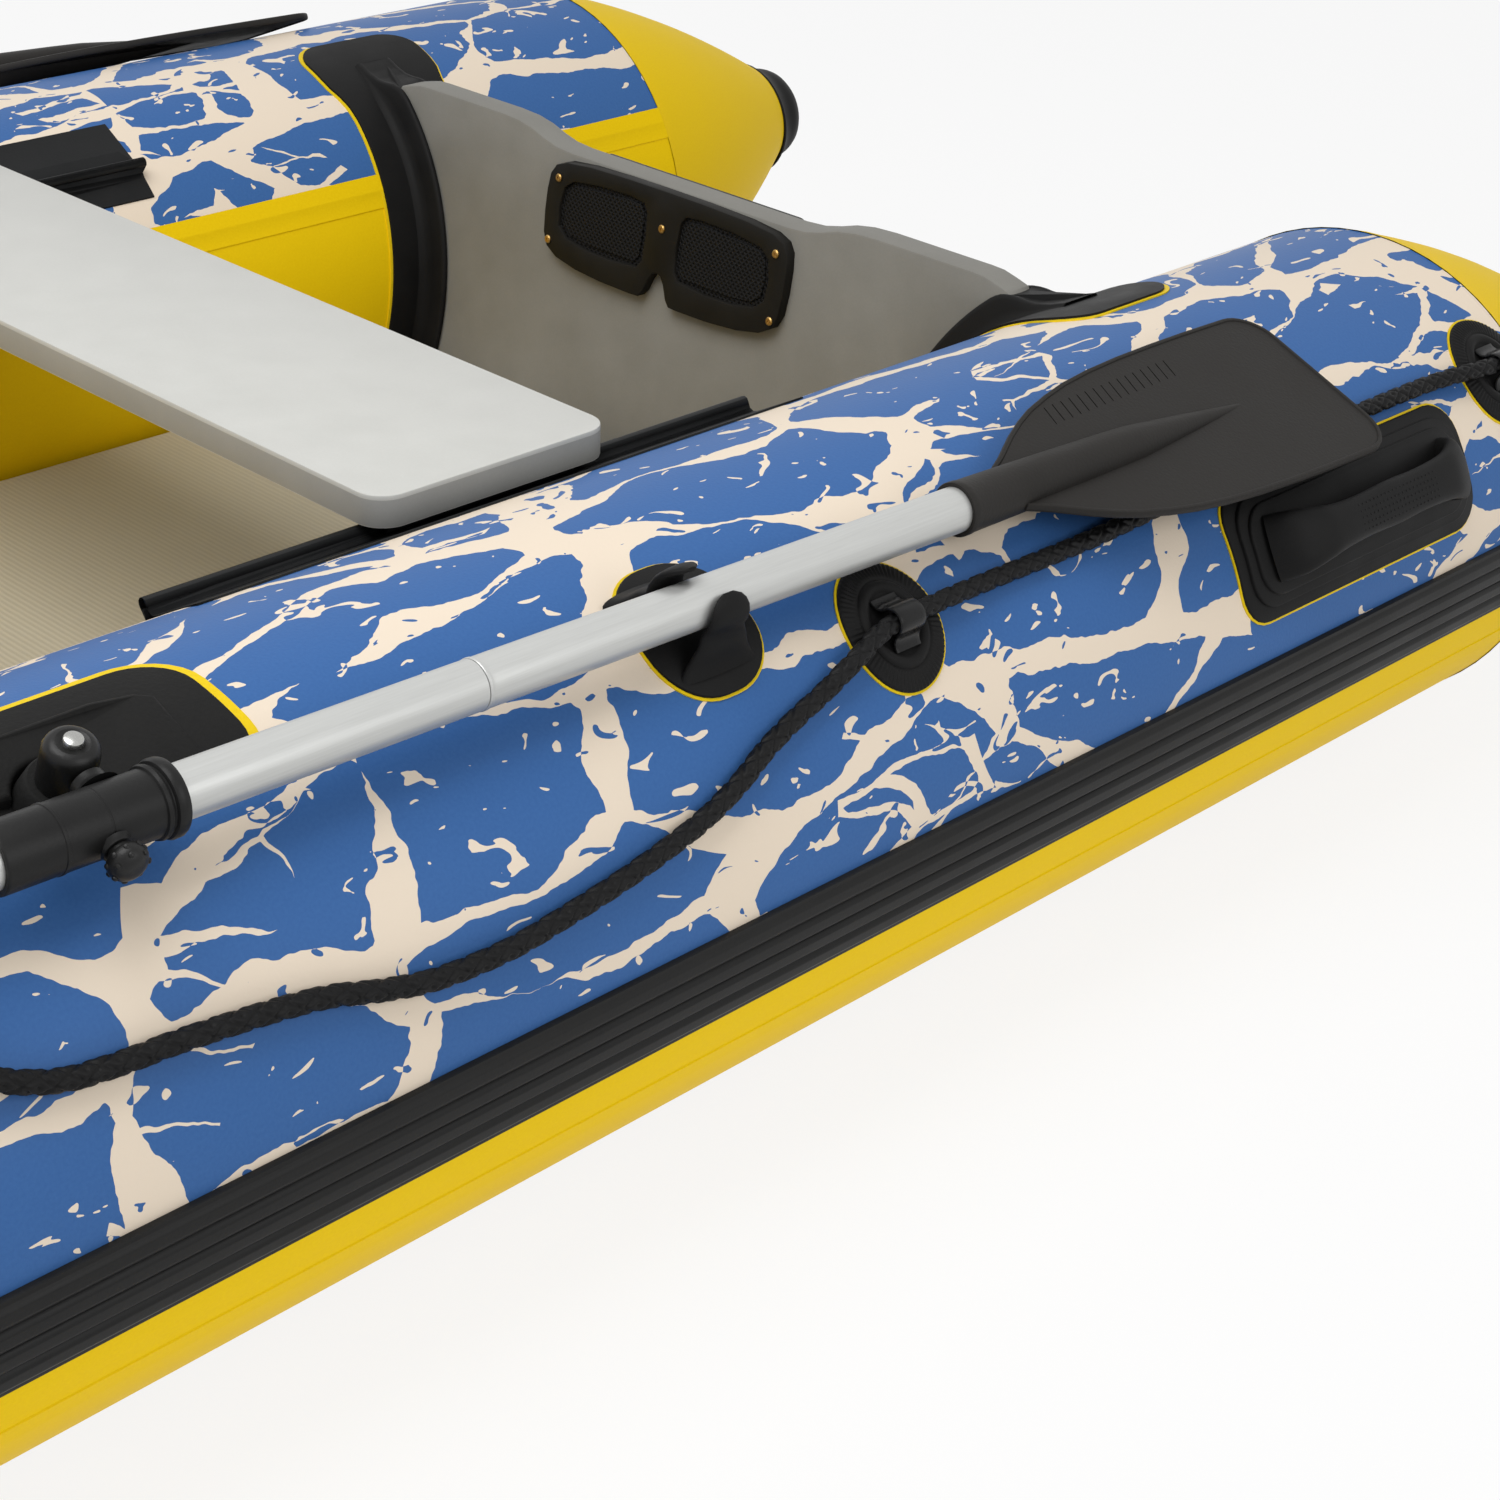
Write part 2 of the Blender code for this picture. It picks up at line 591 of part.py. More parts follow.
def rounded(corners, steps=CORNER_STEPS):
    """An outline whose (u, v, radius) corners are rounded with arcs."""
    points = []
    for i, (u, v, radius) in enumerate(corners):
        here = Vector((u, v))
        back = Vector(corners[i - 1][:2]) - here
        ahead = Vector(corners[(i + 1) % len(corners)][:2]) - here
        if radius <= 0:
            points.append(here)
            continue
        back.normalize()
        ahead.normalize()
        half = back.angle(ahead) / 2
        middle = (back + ahead).normalized()
        centre = here + middle * radius / math.sin(half)
        start = here + back * radius / math.tan(half) - centre
        end = here + ahead * radius / math.tan(half) - centre
        for k in range(steps + 1):
            share = k / steps
            points.append(centre + start.slerp(end, share) * radius)
    return points


def prism(outline, place_low, place_high):
    """A closed solid from a flat outline, mapped at its two faces."""
    flat = bmesh.new()
    flat.faces.new([flat.verts.new((u, v, 0)) for u, v in outline])
    return thicken(flat, place_low, place_high)


def turned(profile, origin, axis, sides=ROUND_SIDES, flat_side=None):
    """A solid of revolution: profile is (distance along the axis, radius), closed on the axis."""
    axis = Vector(axis).normalized()
    across = Vector(flat_side) if flat_side else axis.orthogonal()
    across = (across - axis * across.dot(axis)).normalized()
    third = axis.cross(across)
    bm = bmesh.new()
    rings = []
    for along, radius in profile:
        ring = []
        for k in range(sides):
            turn = 2 * math.pi * k / sides
            offset = radius * (math.cos(turn) * across + math.sin(turn) * third)
            ring.append(bm.verts.new(Vector(origin) + along * axis + offset))
        rings.append(ring)
    for ring_a, ring_b in zip(rings, rings[1:]):
        for k in range(sides):
            j = (k + 1) % sides
            bm.faces.new((ring_a[k], ring_a[j], ring_b[j], ring_b[k]))
    return bm, rings


def turned_solid(profile, origin, axis, sides=ROUND_SIDES, flat_side=None):
    bm, rings = turned(profile, origin, axis, sides, flat_side)
    bm.faces.new(list(reversed(rings[0])))
    bm.faces.new(rings[-1])
    return bm


def turned_ring(profile, origin, axis, sides=ROUND_SIDES, flat_side=None):
    """A turned solid with a bore: the profile runs down the outside and back up the bore."""
    bm, rings = turned(profile, origin, axis, sides, flat_side)
    for k in range(sides):
        j = (k + 1) % sides
        bm.faces.new((rings[-1][k], rings[-1][j], rings[0][j], rings[0][k]))
    return bm


def tube_cutter(side, first_ahead, last_ahead, lift):
    """The space inside a straight tube's facets, grown by a lift, as a cutter."""
    sections = []
    for ahead in (first_ahead, last_ahead):
        station = straight_station(side, ahead)
        sections.append([skin_point(station, k * FACET, lift) for k in range(24)])
    return make_object("tube_cutter", loft(sections), rubber())


def rake(bm):
    """Lean a transom piece aft with height, keeping its level lines level."""
    for vertex in bm.verts:
        vertex.co.y -= (vertex.co.z - AXIS_HEIGHT) * RAKE_SLOPE
    return bm


# Hull
def straight_stations(side):
    return [straight_station(side, ahead) for ahead in (-CONE_SEAM_BEHIND + FIT_GAP, BOW_START_AHEAD - FIT_GAP)]


def bow_stations():
    """Stations round the whole bow, from port to starboard."""
    port = [bow_station(-1, bow_turn(k)) for k in range(BOW_STEPS)]
    starboard = [bow_station(1, bow_turn(k)) for k in range(BOW_STEPS + 1)]
    return port + starboard[::-1]


def tube_panels():
    """The straight tubes' printed upper and yellow lower panels."""
    lower_end = OUTBOARD_SEAM_ANGLE + 360
    gap = math.degrees(FIT_GAP / TUBE_RADIUS)
    for name, side in SIDES.items():
        stations = straight_stations(side)
        upper = skin_loft(stations, OUTBOARD_SEAM_ANGLE, INBOARD_SEAM_ANGLE, -SKIN_THICKNESS, 0)
        panel = make_object(name + "_upper_panel", upper, printed_blue())
        cut(panel, valve_hole(name))
        lower = skin_loft(stations, INBOARD_SEAM_ANGLE + gap, lower_end - gap, -SKIN_THICKNESS, 0)
        make_object(name + "_lower_panel", lower, yellow())


def bow_panels():
    """The bow's printed upper panel, and its yellow lower panel with the two chamber walls."""
    lower_end = OUTBOARD_SEAM_ANGLE + 360
    gap = math.degrees(FIT_GAP / TUBE_RADIUS)
    stations = bow_stations()
    upper = skin_loft(stations, OUTBOARD_SEAM_ANGLE, INBOARD_SEAM_ANGLE, -SKIN_THICKNESS, 0)
    panel = make_object("bow_upper_panel", upper, printed_blue())
    cut(panel, valve_hole("bow"))
    lower = skin_loft(stations, INBOARD_SEAM_ANGLE + gap, lower_end - gap, -SKIN_THICKNESS, 0)
    panel = make_object("bow_lower_panel", lower, yellow())
    for side in SIDES.values():
        cut(panel, make_object("chamber_wall", chamber_wall(side), yellow()), "UNION")


def chamber_wall(side):
    """A wall across the tube where the bow chamber starts, joined to the lower panel alone."""
    first = math.radians(INBOARD_SEAM_ANGLE + WALL_SEAM_MARGIN)
    last = math.radians(OUTBOARD_SEAM_ANGLE + 360 - WALL_SEAM_MARGIN)
    inside = -SKIN_THICKNESS - FIT_GAP
    sections = []
    for turn in (0.0, WALL_THICKNESS / BOW_REACH):
        station = bow_station(side, turn)
        low = [skin_point(station, a, -SKIN_THICKNESS / 2) for a in angles_between(first, last)]
        upper = angles_between(last, first + 2 * math.pi)
        high = [skin_point(station, a, inside) for a in upper]
        sections.append(low + high)
    return loft(sections)


def cone_radius(behind):
    """Radius of a stern cone's corners at a distance behind the transom."""
    middle = CONE_SEAM_BEHIND + CONE_MID_SHARE * (CONE_END_BEHIND - CONE_SEAM_BEHIND)
    if behind <= middle:
        share = (behind - CONE_SEAM_BEHIND) / (middle - CONE_SEAM_BEHIND)
        return TUBE_RADIUS + share * (CONE_MID_RADIUS - TUBE_RADIUS)
    share = (behind - middle) / (CONE_END_BEHIND - middle)
    return CONE_MID_RADIUS + share * (CONE_END_RADIUS - CONE_MID_RADIUS)


def cone_station(side, behind, radius):
    """Centre, outboard direction and radius of a stern cone, whose axis rises towards its tip."""
    centre, outward, radius = straight_station(side, -behind, radius)
    share = max(0.0, behind - CONE_SEAM_BEHIND) / (STERN_OVERHANG - CONE_SEAM_BEHIND)
    return centre + Vector((0, 0, CONE_RISE * share)), outward, radius


def stern_cones():
    """Yellow cones that close the tubes behind the transom, and the moulded caps over their ends."""
    middle = CONE_SEAM_BEHIND + CONE_MID_SHARE * (CONE_END_BEHIND - CONE_SEAM_BEHIND)
    start = CONE_SEAM_BEHIND + FIT_GAP
    for name, side in SIDES.items():
        stations = [cone_station(side, behind, cone_radius(behind))
                    for behind in (start, middle, CONE_END_BEHIND)]
        outer = [[skin_point(s, k * FACET, 0) for k in range(24)] for s in stations]
        inner = [[skin_point(s, k * FACET, -SKIN_THICKNESS) for k in range(24)] for s in stations]
        make_object(name + "_stern_cone", tube_wall(outer, inner), yellow())
        lip_start = CONE_END_BEHIND - CAP_LIP_LENGTH
        tip = STERN_OVERHANG
        lip = cone_station(side, lip_start, cone_radius(lip_start))
        end = cone_station(side, CONE_END_BEHIND, CONE_END_RADIUS)
        outer = [[skin_point(s, k * FACET, CAP_WALL) for k in range(24)] for s in (lip, end)]
        inner = [[skin_point(s, k * FACET, FIT_GAP) for k in range(24)] for s in (lip, end)]
        dome = CONE_END_RADIUS + CAP_WALL
        for along_share, radius_share in CAP_RING_SHARES:
            behind = CONE_END_BEHIND + along_share * (tip - CONE_END_BEHIND)
            station = cone_station(side, behind, dome * radius_share)
            outer.append([skin_point(station, k * FACET, 0) for k in range(24)])
            inside = cone_station(side, behind - CAP_WALL, dome * radius_share)
            inner.append([skin_point(inside, k * FACET, -CAP_WALL) for k in range(24)])
        make_object(name + "_cone_cap", open_dome(outer, inner), rubber())


def tube_wall(outer, inner):
    """An open-ended wall between outer and inner rings."""
    bm = bmesh.new()
    profile = outer + inner[::-1]
    rings = [[bm.verts.new(p) for p in ring] for ring in profile]
    count = len(rings[0])
    for ring_a, ring_b in zip(rings, rings[1:] + rings[:1]):
        for i in range(count):
            j = (i + 1) % count
            bm.faces.new((ring_a[i], ring_a[j], ring_b[j], ring_b[i]))
    return bm


def open_dome(outer, inner):
    """A cap's wall: open at its first rings and closed at its last ones."""
    bm = bmesh.new()
    out = [[bm.verts.new(p) for p in ring] for ring in outer]
    into = [[bm.verts.new(p) for p in ring] for ring in inner]
    count = len(out[0])
    for rings in (out, into):
        for ring_a, ring_b in zip(rings, rings[1:]):
            for i in range(count):
                j = (i + 1) % count
                bm.faces.new((ring_a[i], ring_a[j], ring_b[j], ring_b[i]))
        bm.faces.new(rings[-1])
    for i in range(count):
        j = (i + 1) % count
        bm.faces.new((out[0][i], out[0][j], into[0][j], into[0][i]))
    return bm


def strake_section(station, thickness):
    """Section of the ribbed rubbing strake: flat under, with rounded ribs outside."""
    first, last = math.radians(STRAKE_BOTTOM_ANGLE), math.radians(STRAKE_TOP_ANGLE)
    under = angles_between(first, last)
    points = [skin_point(station, a, FIT_GAP) for a in under]
    ribs = 4 * STRAKE_RIBS
    for k in range(ribs, -1, -1):
        angle = first + (last - first) * k / ribs
        lift = thickness if k % 4 in (1, 2, 3) else thickness - STRAKE_GROOVE_DEPTH
        points.append(skin_point(station, angle, FIT_GAP + lift))
    return points


def rub_strake():
    """Ribbed rubber strake along both sides and round the bow."""
    middle = CONE_SEAM_BEHIND + CONE_MID_SHARE * (CONE_END_BEHIND - CONE_SEAM_BEHIND)

    def stern_sections(side):
        sections = []
        for behind in (CONE_STRAKE_END_BEHIND, middle, CONE_SEAM_BEHIND):
            thickness = STRAKE_END_THICKNESS if behind == CONE_STRAKE_END_BEHIND else STRAKE_THICKNESS
            station = cone_station(side, behind, cone_radius(behind))
            sections.append(strake_section(station, thickness))
        return sections

    round_bow = [strake_section(station, STRAKE_THICKNESS) for station in bow_stations()]
    sections = stern_sections(-1) + round_bow + stern_sections(1)[::-1]
    make_object("rub_strake", loft(sections), rubber())


def bottom_height(share):
    """Height of the bottom skin's middle over the floor at a share of the bow's length."""
    risen = max(0.0, share - BOTTOM_RISE_START_SHARE) / (1 - BOTTOM_RISE_START_SHARE)
    return BOTTOM_MID_HEIGHT + BOW_RISE * risen ** 3


def bottom_skin():
    """Fabric bottom slung between the tubes and lapped onto their undersides, with its keel tube."""
    rows = []
    lap, edge = math.radians(BOTTOM_LAP_ANGLE), math.radians(BOTTOM_EDGE_ANGLE)
    stations = [(straight_station(1, ahead), 0.0, FIT_GAP)
                for ahead in (BOARD_AHEAD - TRANSOM_THICKNESS, BOW_START_AHEAD - CUT_OVERRUN)]
    for k in range(BOW_STEPS + 1):
        stations.append((bow_station(1, bow_turn(k)), math.sin(bow_turn(k)), BOW_FIT_GAP))
    for station, share, lift in stations:
        lap_point = skin_point(station, lap, lift)
        edge_point = skin_point(station, edge, lift)
        half = min(BOTTOM_FLAT_HALF_WIDTH, edge_point.x * BOTTOM_FLAT_SHARE)
        rows.append((lap_point, edge_point, Vector((half, edge_point.y, bottom_height(share)))))
    flat = bmesh.new()
    sides = []
    for side in (-1, 1):
        sides.append([[flat.verts.new((side * p.x, p.y, p.z)) for p in row] for row in rows[:-1]])
    tip_lap, tip_edge = [flat.verts.new(p) for p in rows[-1][:2]]
    for side in sides:
        for near, far in zip(side, side[1:]):
            for i in range(2):
                flat.faces.new((near[i], near[i + 1], far[i + 1], far[i]))
        last = side[-1]
        flat.faces.new((last[0], last[1], tip_edge, tip_lap))
        flat.faces.new((last[1], last[2], tip_edge))
    port, starboard = sides
    for k in range(len(port) - 1):
        flat.faces.new((port[k][2], starboard[k][2], starboard[k + 1][2], port[k + 1][2]))
    flat.faces.new((port[-1][2], starboard[-1][2], tip_edge))
    bmesh.ops.recalc_face_normals(flat, faces=flat.faces[:])
    bmesh.ops.triangulate(flat, faces=flat.faces[:])
    heights = {(v.co.x, v.co.y): v.co.z for v in flat.verts}
    down = Vector((0, 0, BOTTOM_THICKNESS))
    solid = thicken(flat, lambda u, v: Vector((u, v, heights[(u, v)])) - down,
                    lambda u, v: Vector((u, v, heights[(u, v)])))
    skin = make_object("bottom_skin", solid, rubber())
    cut(skin, make_object("keel", keel_tube(), rubber()), "UNION")


def keel_tube():
    """Inflatable keel that stands on the bottom skin and carries the air deck."""
    top = DECK_TOP_HEIGHT - DECK_THICKNESS - FIT_GAP
    bottom = BOTTOM_MID_HEIGHT - BOTTOM_THICKNESS / 2
    radius = (top - bottom) / 2
    length = KEEL_BOW_AHEAD - KEEL_AFT_AHEAD
    nose = radius * KEEL_NOSE_SHARE
    outside = [(0, nose), (KEEL_NOSE_LENGTH, radius), (length - KEEL_NOSE_LENGTH, radius), (length, nose)]
    inside = [(along, reach - KEEL_WALL) for along, reach in reversed(outside)]
    origin = (0, TRANSOM_Y + KEEL_AFT_AHEAD, bottom + radius)
    return turned_ring(outside + inside, origin, (0, 1, 0), SMALL_SIDES, (0, 0, 1))


def deck_outline():
    """Places and outward directions along the line of the air deck's edge centres."""
    drop = AXIS_HEIGHT - DECK_MID_HEIGHT
    apart = TUBE_RADIUS + DECK_EDGE_RADIUS + DECK_EDGE_CLEARANCE
    inset = math.sqrt(apart ** 2 - drop ** 2)
    half = TUBE_OFFSET - inset
    aft = TRANSOM_Y + DECK_AFT_AHEAD
    right = [(Vector((half, aft, 0)), Vector((1, -1, 0)).normalized()),
             (Vector((half, BOW_START_Y, 0)), Vector((1, 0, 0)))]
    for k in range(1, BOW_STEPS + 1):
        centre, outward, _ = bow_station(1, bow_turn(k))
        place = centre - outward * inset
        right.append((Vector((place.x, place.y, 0)), outward))
    left = [(Vector((-p.x, p.y, 0)), Vector((-n.x, n.y, 0))) for p, n in right[:-1]]
    return right + left[::-1]


def deck_ring(outline, reach, height):
    return [place + outward * reach + Vector((0, 0, height)) for place, outward in outline]


def deck_body(outline, wall):
    """The deck's outer form, or its inside at a wall's depth."""
    sections = []
    edge = DECK_EDGE_RADIUS - wall
    for k in range(EDGE_STEPS + 1):
        turn = math.pi * (k / EDGE_STEPS - 0.5)
        sections.append(deck_ring(outline, edge * math.cos(turn), DECK_MID_HEIGHT + edge * math.sin(turn)))
    return loft(sections)


def air_deck():
    """Hollow air deck with rounded edges, wedged between the tubes, with a valve's hole near the bow."""
    outline = deck_outline()
    deck = make_object("air_deck", deck_body(outline, 0), deck_fabric())
    hollow = make_object("hollow", deck_body(outline, DECK_WALL), deck_fabric())
    place = (0, TRANSOM_Y + DECK_VALVE_AHEAD, DECK_TOP_HEIGHT)
    hole = turned_solid([(-2 * DECK_WALL, VALVE_BORE_RADIUS), (CUT_OVERRUN, VALVE_BORE_RADIUS)], place,
                        (0, 0, 1), ROUND_SIDES)
    cut(hollow, make_object("valve_port", hole, deck_fabric()), "UNION")
    cut(deck, hollow)


# Transom
def transom_side_points(side, lift):
    """The board's edge along a tube, from the ear down to the bottom skin."""
    station = straight_station(side, 0)
    bottom_angle = math.radians(HOLDER_BOTTOM_ANGLE)
    first = math.radians(TRANSOM_EAR_EDGE_ANGLE)
    return [skin_point(station, a, lift) for a in angles_between(first, bottom_angle)]


def transom_board():
    """Painted board, recessed at the middle for a motor clamp, with its ears held on the tubes."""
    lift = HOLDER_PLATE + 2 * FIT_GAP
    side_points = transom_side_points(1, lift)
    right = [(TRANSOM_RECESS_HALF_WIDTH, TRANSOM_RECESS_HEIGHT, TRANSOM_CORNER_RADIUS),
             (TRANSOM_EAR_INNER_HALF_WIDTH, TRANSOM_EAR_HEIGHT, TRANSOM_CORNER_RADIUS),
             (TRANSOM_EAR_TOP_HALF_WIDTH, TRANSOM_EAR_HEIGHT, TRANSOM_CORNER_RADIUS)]
    edge = skin_point(straight_station(1, 0), math.radians(TRANSOM_EAR_EDGE_ANGLE), TRANSOM_EAR_EDGE_LIFT)
    right.append((edge.x, edge.z, TRANSOM_CORNER_RADIUS / 4))
    right += [(p.x, p.z, 0) for p in side_points]
    lowest = bottom_height(0) + BOW_FIT_GAP + FIT_GAP
    right.append((BOTTOM_FLAT_HALF_WIDTH, lowest, 0))
    corners = right + [(-u, v, r) for u, v, r in reversed(right)]
    half = TRANSOM_THICKNESS / 2
    solid = prism(rounded(corners), lambda u, v: Vector((u, BOARD_Y - half, v)),
                  lambda u, v: Vector((u, BOARD_Y + half, v)))
    make_object("transom_board", rake(solid), transom_paint())


def holder_outline():
    """Outline of a holder's glued plate in (ahead, angle): a wide lobe on the crown, then a strip."""
    radius = TUBE_RADIUS
    top, lobe = math.radians(HOLDER_TOP_ANGLE), math.radians(HOLDER_LOBE_END_ANGLE)
    bottom = math.radians(HOLDER_BOTTOM_ANGLE)
    wide, narrow = HOLDER_LOBE_HALF_LENGTH, HOLDER_HALF_LENGTH
    soft = narrow / 2
    corners = [(-wide, top * radius, soft), (wide, top * radius, soft), (wide, lobe * radius, soft),
               (narrow, (lobe + FACET / 2) * radius, soft), (narrow, bottom * radius, 0),
               (-narrow, bottom * radius, 0), (-narrow, (lobe + FACET / 2) * radius, soft),
               (-wide, lobe * radius, soft)]
    return [(BOARD_AHEAD + u, v / radius) for u, v in rounded(corners)]


def cheek_section(side, ahead):
    """Section of a holder's cheek: it rises from the plate in a hollow curve, then keeps its height."""
    station = straight_station(side, ahead)
    first, full = math.radians(HOLDER_CHEEK_TOP_ANGLE), math.radians(HOLDER_CHEEK_FULL_ANGLE)
    last = math.radians(HOLDER_CHEEK_BOTTOM_ANGLE)
    under = [skin_point(station, a, HOLDER_PLATE / 2) for a in angles_between(first, last)]
    over = [skin_point(station, first + share * (full - first), HOLDER_CHEEK_HEIGHT * height)
            for share, height in HOLDER_CHEEK_SHARES]
    over += [skin_point(station, a, HOLDER_CHEEK_HEIGHT) for a in angles_between(full, last)[1:]]
    return under + over[::-1]


def transom_holders():
    """Moulded rubber holders glued to the tubes: two cheeks and a web grip the transom board."""
    inner = TRANSOM_THICKNESS / 2 + FIT_GAP
    outer = inner + HOLDER_CHEEK
    for name, side in SIDES.items():
        plate = plate_on_skin(side, holder_outline(), FIT_GAP, HOLDER_PLATE)
        holder = make_object(name + "_transom_holder", plate, rubber())
        grip = loft([cheek_section(side, BOARD_AHEAD + reach) for reach in (-outer, outer)])
        boot = make_object("boot", grip, rubber())
        stations = [straight_station(side, BOARD_AHEAD + reach) for reach in (-inner, inner)]
        slot = skin_loft(stations, HOLDER_WEB_END_ANGLE, HOLDER_BOTTOM_ANGLE, -HOLDER_PLATE,
                         2 * HOLDER_CHEEK_HEIGHT)
        cut(boot, make_object("slot", slot, rubber()))
        cut(holder, boot, "UNION")
        for vertex in holder.data.vertices:
            vertex.co.y -= (vertex.co.z - AXIS_HEIGHT) * RAKE_SLOPE


def pad_face(depth, sense):
    """Maps (across, height) to a plane parallel to the board's fore or aft face."""
    y = BOARD_Y + sense * (TRANSOM_THICKNESS / 2 + FIT_GAP + depth)
    return lambda u, v: Vector((u, y, v))


def off_pad(lift):
    """Maps (across, height) to a plane at a lift square to the inner pad's raked face."""
    square = Vector((0, 1, RAKE_SLOPE)).normalized()
    face = pad_face(PAD_THICKNESS, 1)
    return lambda u, v: face(u, v) - Vector((0, (v - AXIS_HEIGHT) * RAKE_SLOPE, 0)) + square * lift


def motor_pads():
    """Black plastic pads that take a motor's clamp: a goggle-shaped inner one and a plain outer one."""
    radius = PAD_CORNER_RADIUS
    right = [(PAD_NOTCH_HALF_WIDTH * 0.35, PAD_NOTCH_TOP_HEIGHT, radius / 4),
             (PAD_NOTCH_HALF_WIDTH, PAD_BOTTOM_HEIGHT, radius / 4),
             (PAD_HALF_WIDTH, PAD_BOTTOM_HEIGHT, radius), (PAD_HALF_WIDTH, PAD_TOP_HEIGHT, radius)]
    corners = right + [(-u, v, r) for u, v, r in reversed(right)]
    pad = make_object("inner_motor_pad", rake(prism(rounded(corners), pad_face(0, 1),
                                                    pad_face(PAD_THICKNESS, 1))), black_plastic())
    for sense in (-1, 1):
        panel = [(sense * PAD_PANEL_INNER, PAD_PANEL_BOTTOM_HEIGHT), (sense * PAD_PANEL_OUTER,
                 PAD_PANEL_BOTTOM_HEIGHT), (sense * PAD_PANEL_OUTER, PAD_PANEL_TOP_HEIGHT),
                 (sense * PAD_PANEL_INNER, PAD_PANEL_TOP_HEIGHT)]
        outline = rounded([(u, v, PAD_PANEL_CORNER_RADIUS) for u, v in panel])
        pocket = prism(outline, off_pad(-PAD_PANEL_DEPTH), off_pad(CUT_OVERRUN))
        cut(pad, make_object("pocket", pocket, black_plastic()))
    places = [(0, PAD_SCREW_MIDDLE_HEIGHT)]
    places += [(s * PAD_SCREW_SPREAD, PAD_SCREW_UPPER_HEIGHT) for s in (-1, 1)]
    places += [(s * PAD_SCREW_LOWER_SPREAD, PAD_SCREW_LOWER_HEIGHT) for s in (-1, 1)]
    add_screw_heads(pad, 1, PAD_THICKNESS, places)
    outer = [(OUTER_PAD_HALF_WIDTH, OUTER_PAD_BOTTOM_HEIGHT), (OUTER_PAD_HALF_WIDTH, OUTER_PAD_TOP_HEIGHT),
             (-OUTER_PAD_HALF_WIDTH, OUTER_PAD_TOP_HEIGHT), (-OUTER_PAD_HALF_WIDTH, OUTER_PAD_BOTTOM_HEIGHT)]
    outline = rounded([(u, v, PAD_CORNER_RADIUS / 2) for u, v in outer])
    solid = prism(outline, pad_face(0, -1), pad_face(OUTER_PAD_THICKNESS, -1))
    make_object("outer_motor_pad", rake(solid), black_plastic())


def add_screw_heads(pad, sense, depth, places):
    """Heads of the screws that hold a pad, raised on its face."""
    for u, v in places:
        origin = pad_face(depth - PAD_SCREW_HEAD, sense)(u, v)
        profile = [(0, PAD_SCREW_RADIUS), (PAD_SCREW_HEAD * 1.5, PAD_SCREW_RADIUS),
                   (PAD_SCREW_HEAD * 2, PAD_SCREW_RADIUS * 0.7)]
        head = rake(turned_solid(profile, origin, (0, sense, 0), SMALL_SIDES))
        cut(pad, make_object("screw_head", head, brass()), "UNION")


# Seat
def rail_section(side, ahead):
    """Section of a seat rail: a glued strip with a standing web that ends in a bead."""
    station = straight_station(side, ahead)
    first, last = math.radians(RAIL_TOP_ANGLE), math.radians(RAIL_BOTTOM_ANGLE)
    web = math.radians(RAIL_WEB_ANGLE)
    foot = RAIL_WEB_THICKNESS / 2 / TUBE_RADIUS
    under = angles_between(first, last)
    points = [skin_point(station, a, FIT_GAP) for a in under]
    over_far = [a for a in under if a > web + foot][::-1]
    points += [skin_point(station, a, RAIL_PATCH) for a in over_far]
    points.append(skin_point(station, web + foot, RAIL_PATCH))
    radial, across = rail_directions(station)
    centre = rail_bead(station)
    rows = SMALL_SIDES - 2
    start = math.asin(RAIL_WEB_THICKNESS / 2 / RAIL_BEAD_RADIUS)
    for k in range(rows + 1):
        turn = start + (2 * math.pi - 2 * start) * k / rows
        points.append(centre - radial * RAIL_BEAD_RADIUS * math.cos(turn)
                      + across * RAIL_BEAD_RADIUS * math.sin(turn))
    points.append(skin_point(station, web - foot, RAIL_PATCH))
    points += [skin_point(station, a, RAIL_PATCH) for a in under if a < web - foot][::-1]
    return points


def rail_directions(station):
    """Outward direction at the rail's web, and the direction across it towards the cockpit."""
    web = math.radians(RAIL_WEB_ANGLE)
    _, outward, _ = station
    radial = math.cos(web) * outward + math.sin(web) * Vector((0, 0, 1))
    across = -math.sin(web) * outward + math.cos(web) * Vector((0, 0, 1))
    return radial, across


def rail_bead(station):
    """Centre of the rail's bead."""
    radial, _ = rail_directions(station)
    return skin_point(station, math.radians(RAIL_WEB_ANGLE), 0) + radial * RAIL_BEAD_LIFT


def seat_rails():
    for name, side in SIDES.items():
        ends = (RAIL_AFT_AHEAD, RAIL_AFT_AHEAD + RAIL_LENGTH)
        make_object(name + "_seat_rail", loft([rail_section(side, a) for a in ends]), rubber())


def seat_origin():
    return Vector((0, TRANSOM_Y + SEAT_AHEAD, SEAT_TOP_HEIGHT - SEAT_THICKNESS))


def seat_board():
    """Painted board across the tubes, with rounded corners."""
    half = SEAT_DEPTH / 2
    y = TRANSOM_Y + SEAT_AHEAD
    corners = [(sx * SEAT_HALF_LENGTH, y + sy * half, SEAT_CORNER_RADIUS)
               for sx, sy in ((-1, -1), (1, -1), (1, 1), (-1, 1))]
    low = SEAT_TOP_HEIGHT - SEAT_THICKNESS
    inset = SEAT_EDGE_RADIUS
    outline = rounded(corners, EDGE_STEPS)
    middle = Vector((0, y))

    def ring(shrink, height):
        points = []
        for p in outline:
            away = p - middle
            share_x = 1 - shrink / SEAT_HALF_LENGTH
            share_y = 1 - shrink / half
            points.append(Vector((away.x * share_x, y + away.y * share_y, height)))
        return points

    sections = [ring(inset, low), ring(0, low + inset), ring(0, SEAT_TOP_HEIGHT - inset),
                ring(inset, SEAT_TOP_HEIGHT)]
    make_object("seat_board", loft(sections), board(), seat_origin())


